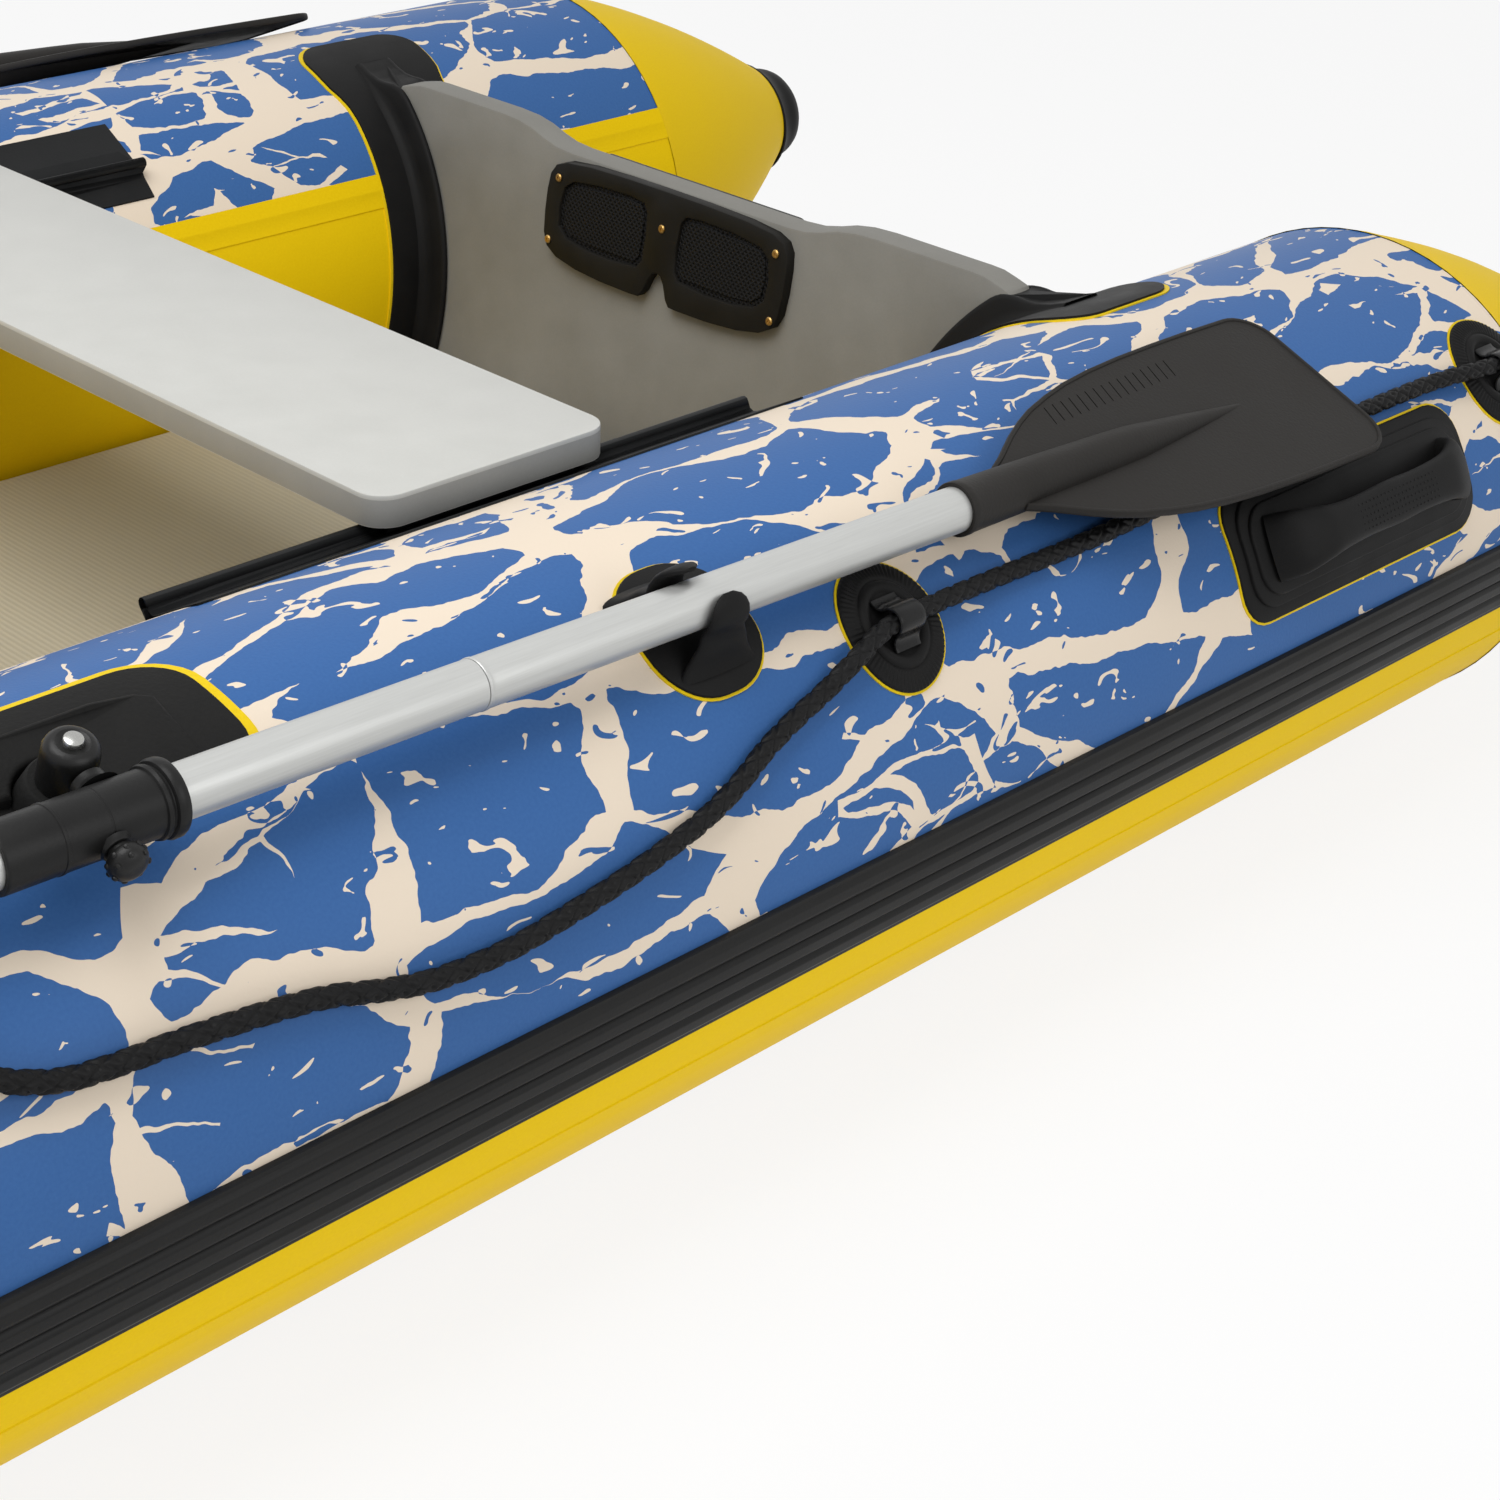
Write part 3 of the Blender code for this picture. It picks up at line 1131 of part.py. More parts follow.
def slide_section(side, ahead):
    """Section of a slide under the seat: a channel round the rail's bead, open towards the tube."""
    station = straight_station(side, ahead)
    radial, across = rail_directions(station)
    centre = rail_bead(station)
    inner = RAIL_BEAD_RADIUS + SLIDE_CLEARANCE
    outer = inner + SLIDE_WALL
    mouth = math.asin((RAIL_WEB_THICKNESS / 2 + SLIDE_CLEARANCE) / inner)
    rows = SMALL_SIDES - 2
    points = []
    for k in range(rows + 1):
        turn = mouth + (2 * math.pi - 2 * mouth) * k / rows
        points.append(centre - radial * inner * math.cos(turn) + across * inner * math.sin(turn))
    low = SEAT_TOP_HEIGHT - SEAT_THICKNESS - FIT_GAP
    for k in range(rows, -1, -1):
        turn = mouth + (2 * math.pi - 2 * mouth) * k / rows
        point = centre - radial * outer * math.cos(turn) + across * outer * math.sin(turn)
        if 1 < k < rows - 1:
            point.z = low
        points.append(point)
    return points


def seat_slides():
    """Plastic channels screwed under the seat, which run on the rails' beads."""
    for name, side in SIDES.items():
        ends = (SEAT_AHEAD - SLIDE_LENGTH / 2, SEAT_AHEAD + SLIDE_LENGTH / 2)
        slide = loft([slide_section(side, a) for a in ends])
        make_object(name + "_seat_slide", slide, black_plastic(), seat_origin())


# Oars
def oar_frame(side):
    """The oar's origin on the dip bolt's line, and its fore, outboard and up directions."""
    origin = Vector((side * OAR_OFFSET, TRANSOM_Y + OARLOCK_AHEAD, OAR_HEIGHT))
    fore = Vector((0, 1, PITCH_SLOPE)).normalized()
    up = swing_axis(side)
    up = (up - fore * up.dot(fore)).normalized()
    out = swing_across(side)
    out = (out - fore * out.dot(fore) - up * out.dot(up)).normalized()
    return origin, fore, out, up


def swing_axis(side):
    """Direction of the oar's swing axis, square to the tube's skin under the oar."""
    return Vector((side * math.cos(TILT), 0, math.sin(TILT)))


def swing_across(side):
    """Direction of the dip bolt: outboard, square to the swing axis."""
    return Vector((side * math.sin(TILT), 0, -math.cos(TILT)))


def pivot_point(side):
    origin = oar_frame(side)[0]
    return origin - swing_across(side) * PIVOT_REACH


def oar_place(side, fore_by, out_by=0.0, up_by=0.0):
    origin, fore, out, up = oar_frame(side)
    return origin + fore * fore_by + out * out_by + up * up_by


def base_top(side):
    """Height of the oarlock boss's top along the swing axis, under the turret, from the pivot point."""
    return -TURRET_HALF_HEIGHT - FIT_GAP


def oarlock_patch_outline():
    radius = TUBE_RADIUS
    low = math.radians(OARLOCK_PATCH_OUTER_ANGLE) * radius
    high = math.radians(OARLOCK_PATCH_INNER_ANGLE) * radius
    aft, fore = OARLOCK_AHEAD - OARLOCK_PATCH_AFT, OARLOCK_AHEAD + OARLOCK_PATCH_FORE
    corners = [(aft, low, OARLOCK_PATCH_CORNER), (fore, low, OARLOCK_PATCH_CORNER),
               (fore, high, OARLOCK_PATCH_CORNER), (aft, high, OARLOCK_PATCH_CORNER)]
    return [(u, v / radius) for u, v in rounded(corners)]


def saddle_solid(side):
    """Ramped saddle moulded on the oarlock base, behind and inboard of the turret."""
    pivot = pivot_point(side)
    axis, across = swing_axis(side), swing_across(side)
    top = base_top(side) - SADDLE_DROP
    foot = top - 2 * CUT_OVERRUN
    clear = TURRET_RADIUS + SADDLE_CLEARANCE

    def corner(t, y, n):
        return pivot + across * t + Vector((0, y, 0)) + axis * n

    fore_edge = [(-SADDLE_INNER, 0), (SADDLE_OUTER, 0)]
    aft_edge = [(-SADDLE_INNER, -SADDLE_AFT), (SADDLE_OUTER, -SADDLE_AFT)]
    low_ring = [corner(t, y, foot) for t, y in (*fore_edge, *aft_edge[::-1])]
    inset = clear / 4
    high_ring = [corner(-SADDLE_INNER + inset, 0, top), corner(SADDLE_OUTER - inset, 0, top),
                 corner(SADDLE_OUTER - inset, -clear * 1.6, top), corner(-SADDLE_INNER + inset, -clear * 1.6, top)]
    ramp_ring = [corner(-SADDLE_INNER, 0, top - clear), corner(SADDLE_OUTER, 0, top - clear),
                 corner(SADDLE_OUTER, -SADDLE_AFT, top - clear), corner(-SADDLE_INNER, -SADDLE_AFT, top - clear)]
    return loft([low_ring, ramp_ring, high_ring])


def oarlock_bases():
    """Rubber bases glued on the tubes: a patch with a moulded boss and saddle."""
    for name, side in SIDES.items():
        plate = plate_on_skin(side, oarlock_patch_outline(), FIT_GAP, OARLOCK_PATCH)
        base = make_object(name + "_oarlock_base", plate, rubber())
        pivot, axis = pivot_point(side), swing_axis(side)
        top = base_top(side)
        shapes = make_object("saddle", saddle_solid(side), rubber())
        boss = turned_solid([(top - 2 * CUT_OVERRUN, BOSS_RADIUS * 1.25), (top - CUT_OVERRUN / 2, BOSS_RADIUS),
                             (top, BOSS_RADIUS)], pivot, axis, ROUND_SIDES)
        cut(shapes, make_object("boss", boss, rubber()), "UNION")
        ends = (OARLOCK_AHEAD - 2 * OARLOCK_PATCH_AFT, OARLOCK_AHEAD + 2 * OARLOCK_PATCH_FORE)
        ends = (ends[0], min(ends[1], BOW_START_AHEAD))
        cut(shapes, tube_cutter(side, *ends, OARLOCK_PATCH / 2))
        cut(base, shapes, "UNION")
        bore = turned_solid([(top - SPIGOT_LENGTH - FIT_GAP, SPIGOT_RADIUS + RUNNING_GAP),
                             (top + CUT_OVERRUN, SPIGOT_RADIUS + RUNNING_GAP)], pivot, axis, ROUND_SIDES,
                            swing_across(side))
        cut(base, make_object("spigot_bore", bore, rubber()))


def oarlock_swivels():
    """Plastic turrets that turn in the bases and carry the oars on their bolts."""
    for name, side in SIDES.items():
        pivot, axis, across = pivot_point(side), swing_axis(side), swing_across(side)
        profile = [(-TURRET_HALF_HEIGHT - SPIGOT_LENGTH, SPIGOT_RADIUS), (-TURRET_HALF_HEIGHT, SPIGOT_RADIUS),
                   (-TURRET_HALF_HEIGHT, TURRET_RADIUS), (TURRET_HALF_HEIGHT * 0.8, TURRET_RADIUS),
                   (TURRET_HALF_HEIGHT, TURRET_RADIUS * 0.86), (TURRET_HALF_HEIGHT, PIN_HEAD_RADIUS),
                   (TURRET_HALF_HEIGHT + PIN_HEAD_HEIGHT * 0.6, PIN_HEAD_RADIUS * 0.86),
                   (TURRET_HALF_HEIGHT + PIN_HEAD_HEIGHT, PIN_HEAD_RADIUS * 0.4)]
        turret = make_object(name + "_oarlock_swivel",
                             turned_solid(profile, pivot, axis, ROUND_SIDES, across), black_plastic(), pivot)
        bore = turned_solid([(-TURRET_RADIUS - CUT_OVERRUN, BOLT_RADIUS + FIT_GAP),
                             (TURRET_RADIUS + CUT_OVERRUN, BOLT_RADIUS + FIT_GAP)], pivot, across, SMALL_SIDES)
        cut(turret, make_object("bolt_bore", bore, rubber()))
        flat = turned_solid([(-TURRET_RADIUS - CUT_OVERRUN, BOLT_HEAD_RADIUS + RUNNING_GAP),
                             (-TURRET_RADIUS + BOLT_HEAD_LENGTH / 2, BOLT_HEAD_RADIUS + RUNNING_GAP)],
                            pivot, across, SMALL_SIDES)
        cut(turret, make_object("bolt_seat", flat, rubber()))


def dip_bolts():
    """Steel bolts through the turrets and the sleeves' lugs, on which the oars dip."""
    for name, side in SIDES.items():
        pivot, across = pivot_point(side), swing_across(side)
        head = -TURRET_RADIUS + BOLT_HEAD_LENGTH / 2 - FIT_GAP
        end = PIVOT_REACH - SHAFT_RADIUS - RUNNING_GAP - 2 * FIT_GAP
        bolt = turned_solid([(head - BOLT_HEAD_LENGTH, BOLT_HEAD_RADIUS * 0.8),
                             (head - BOLT_HEAD_LENGTH / 2, BOLT_HEAD_RADIUS), (head, BOLT_HEAD_RADIUS),
                             (head, BOLT_RADIUS), (end, BOLT_RADIUS)], pivot, across, SMALL_SIDES)
        make_object(name + "_dip_bolt", bolt, steel(), pivot)


def oar_sleeves():
    """Plastic collars that clamp the shafts, with a lug for the bolt and a boss for the knob."""
    for name, side in SIDES.items():
        origin, fore, out, up = oar_frame(side)
        bore = SHAFT_RADIUS + RUNNING_GAP
        rib = SLEEVE_FLANGE_LENGTH / 2
        flange = -SLEEVE_AFT + SLEEVE_FLANGE_LENGTH
        middle = SLEEVE_FORE * 0.5
        profile = [(SLEEVE_FORE, bore), (SLEEVE_FORE, SLEEVE_RADIUS), (middle + rib, SLEEVE_RADIUS),
                   (middle + rib, SLEEVE_RIB_RADIUS), (middle, SLEEVE_RIB_RADIUS), (middle, SLEEVE_RADIUS),
                   (flange, SLEEVE_RADIUS), (flange, SLEEVE_FLANGE_RADIUS),
                   (-SLEEVE_AFT, SLEEVE_FLANGE_RADIUS), (-SLEEVE_AFT, bore)]
        sleeve = make_object(name + "_oar_sleeve", turned_ring(profile, origin, fore, ROUND_SIDES, up),
                             black_plastic(), origin)
        face = -(PIVOT_REACH - TURRET_RADIUS - RUNNING_GAP)
        core = -(SHAFT_RADIUS + SLEEVE_RADIUS) / 2
        lug = turned_solid([(face, LUG_RADIUS), (core, LUG_RADIUS)], origin, swing_across(side), ROUND_SIDES)
        cut(sleeve, make_object("lug", lug, rubber()), "UNION")
        hole = turned_solid([(face - CUT_OVERRUN, BOLT_RADIUS + RUNNING_GAP),
                             (-SHAFT_RADIUS, BOLT_RADIUS + RUNNING_GAP)], origin, swing_across(side), SMALL_SIDES)
        cut(sleeve, make_object("lug_hole", hole, rubber()))
        boss_start = (SHAFT_RADIUS + SLEEVE_RADIUS) / 2
        boss_end = SLEEVE_RADIUS + KNOB_STEM_LENGTH / 2
        place = oar_place(side, KNOB_AHEAD_OF_PIVOT)
        boss = turned_solid([(boss_start, KNOB_STEM_RADIUS * 2), (boss_end, KNOB_STEM_RADIUS * 2)],
                            place, out, SMALL_SIDES)
        cut(sleeve, make_object("knob_boss", boss, rubber()), "UNION")
        hole = turned_solid([(SHAFT_RADIUS, KNOB_STEM_RADIUS + RUNNING_GAP),
                             (boss_end + CUT_OVERRUN, KNOB_STEM_RADIUS + RUNNING_GAP)], place, out, SMALL_SIDES)
        cut(sleeve, make_object("knob_hole", hole, rubber()))


def knob_origin(side):
    out = oar_frame(side)[2]
    return oar_place(side, KNOB_AHEAD_OF_PIVOT) + out * (SLEEVE_RADIUS + KNOB_STEM_LENGTH / 2 + RUNNING_GAP)


def clamp_knobs():
    """Lobed knobs that clamp the shafts in their sleeves."""
    for name, side in SIDES.items():
        _, fore, out, up = oar_frame(side)
        start = knob_origin(side)
        stem = SLEEVE_RADIUS + KNOB_STEM_LENGTH / 2 + RUNNING_GAP - SHAFT_RADIUS - 2 * RUNNING_GAP
        levels = ((0.0, 0.80), (0.2, 1.0), (0.75, 1.0), (1.0, 0.62))
        count = 4 * KNOB_LOBES
        sections = []
        for along_share, radius_share in levels:
            ring = []
            for k in range(count):
                turn = 2 * math.pi * k / count
                lobe = KNOB_LOBE_DEPTH * (1 - math.cos(KNOB_LOBES * turn)) / 2
                radius = (KNOB_RADIUS - lobe) * radius_share
                ring.append(start + out * KNOB_LENGTH * along_share
                            + (fore * math.cos(turn) + up * math.sin(turn)) * radius)
            sections.append(ring)
        knob = make_object(name + "_clamp_knob", loft(sections), black_plastic(), start)
        shank = turned_solid([(-stem, KNOB_STEM_RADIUS), (KNOB_LENGTH / 2, KNOB_STEM_RADIUS)], start, out,
                             SMALL_SIDES)
        cut(knob, make_object("shank", shank, rubber()), "UNION")


def oar_inner_shafts():
    """Aluminium tubes through the sleeves, each with a narrower ferrule for the outer tube."""
    for name, side in SIDES.items():
        origin, fore, _, up = oar_frame(side)
        bore = SHAFT_RADIUS - SHAFT_WALL
        ferrule = bore - RUNNING_GAP
        ferrule_bore = ferrule - SHAFT_WALL
        start, shoulder, end = -OAR_JOINT_BEHIND - FERRULE_LENGTH, -OAR_JOINT_BEHIND, GRIP_START + GRIP_LENGTH / 2
        profile = [(end, bore), (end, SHAFT_RADIUS), (shoulder, SHAFT_RADIUS), (shoulder, ferrule),
                   (start, ferrule), (start, ferrule_bore), (shoulder, ferrule_bore)]
        tube = turned_ring(profile, origin, fore, ROUND_SIDES, up)
        make_object(name + "_oar_inner_shaft", tube, aluminium(), origin)


def oar_outer_shafts():
    """Aluminium tubes from the joint to the blades' sockets."""
    for name, side in SIDES.items():
        origin, fore, _, up = oar_frame(side)
        bore = SHAFT_RADIUS - SHAFT_WALL
        start, end = -SOCKET_BEHIND - SOCKET_PLUG_LENGTH, -OAR_JOINT_BEHIND - FIT_GAP
        profile = [(end, bore), (end, SHAFT_RADIUS), (start, SHAFT_RADIUS), (start, bore)]
        tube = turned_ring(profile, origin, fore, ROUND_SIDES, up)
        make_object(name + "_oar_outer_shaft", tube, aluminium(), origin)


def oar_blades():
    """Plastic blades with a socket, a tapering ridge and a flat blade with rounded corners."""
    for name, side in SIDES.items():
        origin, fore, out, up = oar_frame(side)
        neck = -SOCKET_BEHIND - SOCKET_LENGTH
        tip = neck - BLADE_LENGTH
        outline = []
        for along_share, width_share in BLADE_WIDTH_SHARES:
            outline.append((neck - BLADE_LENGTH * along_share, BLADE_HALF_WIDTH * width_share, 0))
        outline.append((tip, BLADE_HALF_WIDTH, BLADE_CORNER_RADIUS))
        corners = outline + [(u, -v, r) for u, v, r in reversed(outline)]
        half = BLADE_THICKNESS / 2

        def face(height):
            return lambda u, v: origin + fore * u + out * v + up * height

        sheet = prism(rounded(corners), face(-half), face(half))
        blade = make_object(name + "_oar_blade", sheet, blade_plastic(), origin)
        ridge_end = neck - BLADE_RIDGE_LENGTH
        bottom = -SOCKET_BEHIND - SOCKET_PLUG_LENGTH - 2 * FIT_GAP
        profile = [(-SOCKET_BEHIND, SOCKET_RADIUS), (neck, SOCKET_RADIUS * 0.92),
                   ((neck + ridge_end) / 2, SOCKET_RADIUS * 0.62), (ridge_end, half * 0.5)]
        ridge = turned_solid(profile, origin, fore, ROUND_SIDES, up)
        cut(blade, make_object("ridge", ridge, rubber()), "UNION")
        hole = turned_solid([(-SOCKET_BEHIND + CUT_OVERRUN, SHAFT_RADIUS + RUNNING_GAP),
                             (bottom, SHAFT_RADIUS + RUNNING_GAP)], origin, fore, ROUND_SIDES, up)
        cut(blade, make_object("socket_bore", hole, rubber()))


def oar_grips():
    """Shaped plastic grips over the inboard ends of the shafts."""
    for name, side in SIDES.items():
        origin, fore, _, up = oar_frame(side)
        profile = []
        for along_share, radius_share in GRIP_RADIUS_SHARES:
            profile.append((GRIP_START + GRIP_LENGTH * along_share, GRIP_RADIUS * radius_share))
        grip = make_object(name + "_oar_grip", turned_solid(profile, origin, fore, ROUND_SIDES, up),
                           black_plastic(), origin)
        end = GRIP_START + GRIP_LENGTH / 2 + 2 * FIT_GAP
        hole = turned_solid([(GRIP_START - CUT_OVERRUN, SHAFT_RADIUS + RUNNING_GAP),
                             (end, SHAFT_RADIUS + RUNNING_GAP)], origin, fore, ROUND_SIDES, up)
        cut(grip, make_object("grip_bore", hole, rubber()))


def clip_finger(side, ahead, sense):
    """A finger that curls from the clip's foot over the shaft: outboard (1) or inboard (-1)."""
    station = straight_station(side, ahead)
    centre_z = OAR_HEIGHT + (ahead - OARLOCK_AHEAD) * PITCH_SLOPE
    shaft = Vector((side * OAR_OFFSET, station[0].y, centre_z))
    radial = (shaft - station[0]).normalized()
    across = Vector((radial.z, 0, -radial.x)) * side * sense
    inner = SHAFT_RADIUS + CLIP_SHAFT_CLEARANCE
    outer = inner + CLIP_FINGER_THICKNESS
    first, last = -math.radians(CLIP_WRAP_BELOW), math.radians(CLIP_WRAP_ABOVE)
    steps = EDGE_STEPS

    def arc(radius, k):
        turn = first + (last - first) * k / steps
        return across * math.cos(turn) * radius + radial * math.sin(turn) * radius

    depth = (shaft - station[0]).length - TUBE_RADIUS + CUT_OVERRUN / 2
    foot = CLIP_FINGER_THICKNESS
    outline = [arc(outer, k) for k in range(steps, -1, -1)]
    root_out = across * (outer + foot) - radial * depth
    root_in = across * foot - radial * depth
    outline += [root_out, root_in]
    outline += [arc(inner, k) for k in range(steps + 1)]
    half = CLIP_FINGER_WIDTH / 2
    sections = []
    for y_share, taper in ((-1.0, 0.86), (-0.6, 1.0), (0.6, 1.0), (1.0, 0.86)):
        ring = []
        for k, offset in enumerate(outline):
            tip = k in (0, 1, len(outline) - 1, len(outline) - 2)
            width = half * (0.72 if tip else 1.0)
            ring.append(shaft + offset + Vector((0, y_share * width, 0)))
        sections.append(ring)
    return loft(sections)


def oar_clips():
    """Rubber clips whose two staggered fingers hold the stowed shafts."""
    for name, side in SIDES.items():
        radius = TUBE_RADIUS
        low, high = math.radians(CLIP_OUTER_ANGLE) * radius, math.radians(CLIP_INNER_ANGLE) * radius
        half = CLIP_HALF_LENGTH
        corners = [(CLIP_AHEAD - half, low, half * 0.9), (CLIP_AHEAD + half, low, half * 0.9),
                   (CLIP_AHEAD + half, high, half * 0.9), (CLIP_AHEAD - half, high, half * 0.9)]
        outline = [(u, v / radius) for u, v in rounded(corners)]
        clip = make_object(name + "_oar_clip", plate_on_skin(side, outline, FIT_GAP, CLIP_PATCH), rubber())
        for sense in (-1, 1):
            ahead = CLIP_AHEAD - sense * CLIP_STAGGER
            finger = make_object("finger", clip_finger(side, ahead, sense), rubber())
            cut(finger, tube_cutter(side, CLIP_AHEAD - 2 * half, CLIP_AHEAD + 2 * half, CLIP_PATCH / 2))
            cut(clip, finger, "UNION")


# Rope gear and handles
def oval_outline(ahead, angle, half_length, half_width):
    points = []
    for k in range(2 * SMALL_SIDES):
        turn = 2 * math.pi * k / (2 * SMALL_SIDES)
        points.append((ahead + half_length * math.cos(turn), angle + half_width / TUBE_RADIUS * math.sin(turn)))
    return points


def local_frame(side, ahead, angle):
    """Point on the skin's round, with its aft-fore, tangential and outward directions."""
    here = on_skin(side, ahead, angle)
    fore = (on_skin(side, ahead + ROPE_RADIUS, angle) - on_skin(side, ahead - ROPE_RADIUS, angle)).normalized()
    step = FACET / 8
    up = (on_skin(side, ahead, angle + step) - on_skin(side, ahead, angle - step)).normalized()
    outward = fore.cross(up) * -side
    if outward.dot(here - hull_middle(side, ahead)) < 0:
        outward = -outward
    return here, fore, up, outward.normalized()


def hull_middle(side, ahead):
    if ahead <= BOW_START_AHEAD:
        return straight_station(side, ahead)[0]
    turn = (ahead - BOW_START_AHEAD) / BOW_QUARTER * math.pi / 2
    return bow_station(side, turn)[0]


def rope_lift(on_disc):
    """Height of the rope's centre above the tube's round surface."""
    plain = ROPE_RADIUS + ROPE_SKIN_GAP
    return plain + (ROPE_HOLDER_THICKNESS + ROPE_DISC_GAP if on_disc else 0)


def bridge(side, ahead):
    """The arch of a rope holder, with the rope's way through it."""
    angle = math.radians(ROPE_HOLDER_ANGLE)
    _, fore, up, outward = local_frame(side, ahead, angle)
    here = round_place(side, ahead, angle, 0)
    centre = rope_lift(1)
    inner = ROPE_RADIUS + BRIDGE_CLEARANCE
    outer = inner + BRIDGE_WALL
    foot = outer + BRIDGE_FOOT_WIDTH
    floor = -CUT_OVERRUN / 4
    outline = [(foot, floor), (foot, ROPE_HOLDER_THICKNESS + BRIDGE_WALL)]
    steps = EDGE_STEPS
    outline += [(outer * math.cos(math.pi * k / steps), centre + outer * math.sin(math.pi * k / steps))
                for k in range(steps + 1)]
    outline += [(-foot, ROPE_HOLDER_THICKNESS + BRIDGE_WALL), (-foot, floor), (-inner, floor)]
    outline += [(inner * math.cos(math.pi * k / steps), centre + inner * math.sin(math.pi * k / steps))
                for k in range(steps, -1, -1)]
    outline.append((inner, floor))
    half = BRIDGE_LENGTH / 2

    def face(along):
        return lambda u, v: here + fore * along + up * u + outward * v

    return prism(outline, face(-half), face(half))


def rope_holders():
    """Oval moulded holders with a bridge that the grab rope runs through."""
    angle = math.radians(ROPE_HOLDER_ANGLE)
    reach = math.radians(BRIDGE_LIMIT_ANGLE)
    for name, side in SIDES.items():
        for place, ahead in HOLDER_AHEADS.items():
            outline = oval_outline(ahead, angle, ROPE_HOLDER_HALF_LENGTH, ROPE_HOLDER_HALF_WIDTH)
            disc = plate_on_skin(side, outline, FIT_GAP, ROPE_HOLDER_THICKNESS)
            holder = make_object("_".join((name, place, "rope_holder")), disc, rubber())
            arch = make_object("arch", bridge(side, ahead), rubber())
            around = [(ahead + u * BRIDGE_LENGTH, angle + v * reach) for u, v in ((-1, -1), (1, -1), (1, 1), (-1, 1))]
            limit = plate_on_skin(side, around, -CUT_OVERRUN, ROPE_HOLDER_THICKNESS / 2)
            cut(arch, make_object("limit", limit, rubber()))
            cut(holder, arch, "UNION")


def round_place(side, ahead, angle, lift):
    """A point over the tube's true round, on the straight part or round the bow."""
    if ahead <= BOW_START_AHEAD:
        centre, outward, radius = straight_station(side, ahead)
    else:
        turn = (ahead - BOW_START_AHEAD) / BOW_QUARTER * math.pi / 2
        centre, outward, radius = bow_station(side, turn)
    return centre + (radius + lift) * (math.cos(angle) * outward + math.sin(angle) * Vector((0, 0, 1)))


def smooth_route(route, steps):
    """Points of a smooth curve through a route's own points."""
    padded = [route[0]] + list(route) + [route[-1]]
    points = []
    for i in range(1, len(padded) - 2):
        a, b, c, d = (Vector(p) for p in padded[i - 1:i + 3])
        for k in range(steps):
            t = k / steps
            points.append(0.5 * (2 * b + (c - a) * t + (2 * a - 5 * b + 4 * c - d) * t ** 2
                                 + (3 * b - a - 3 * c + d) * t ** 3))
    points.append(Vector(route[-1]))
    return points


def rope_points(side):
    """The grab rope's centre line, at even steps of two to three diameters."""
    route = [round_place(side, ahead, math.radians(angle), rope_lift(on_disc))
             for ahead, angle, on_disc in ROPE_ROUTE]
    fine = smooth_route(route, ROPE_CURVE_STEPS)
    total = sum((b - a).length for a, b in zip(fine, fine[1:]))
    count = round(total / (2 * ROPE_RADIUS * ROPE_STEP_SHARE))
    step = total / count
    points, travelled, target = [fine[0]], 0.0, step
    for a, b in zip(fine, fine[1:]):
        length = (b - a).length
        while travelled + length >= target and len(points) < count:
            points.append(a.lerp(b, (target - travelled) / length))
            target += step
        travelled += length
    points.append(fine[-1])
    return points


def grab_ropes():
    """Braided grab ropes, one along each side through its holders."""
    for name, side in SIDES.items():
        points = rope_points(side)
        curve = bpy.data.curves.new(name + "_grab_rope", "CURVE")
        curve.dimensions = "3D"
        curve.bevel_depth = ROPE_RADIUS
        curve.bevel_resolution = 2
        curve.use_fill_caps = True
        spline = curve.splines.new("POLY")
        spline.points.add(len(points) - 1)
        for place, point in zip(points, spline.points):
            point.co = (*place, 1)
        curve.materials.append(braid())
        rope = bpy.data.objects.new(name + "_grab_rope", curve)
        bpy.context.scene.collection.objects.link(rope)


def handle_bar(frame_at, half_length, lift):
    """A raised bar with swelling feet; frame_at gives the skin's point and directions at an offset."""
    sections = []
    for along, rise, swell in HANDLE_BAR_SHARES:
        here, fore, up, outward = frame_at(along * half_length)
        height = HANDLE_STEP + (lift - HANDLE_STEP) * rise
        over = max(0.0, (abs(along) - HANDLE_LEAN_SHARE) / (1 - HANDLE_LEAN_SHARE))
        lean = math.copysign(math.radians(HANDLE_LEAN) * over, along)
        normal = outward * math.cos(lean) + fore * math.sin(lean)
        width = HANDLE_BAR_HALF_WIDTH + (HANDLE_FOOT_HALF_WIDTH - HANDLE_BAR_HALF_WIDTH) * swell
        ring = []
        for k in range(SMALL_SIDES):
            turn = 2 * math.pi * k / SMALL_SIDES
            ring.append(here + outward * height + up * math.cos(turn) * width
                        + normal * math.sin(turn) * HANDLE_BAR_HALF_DEPTH)
        sections.append(ring)
    return loft(sections)


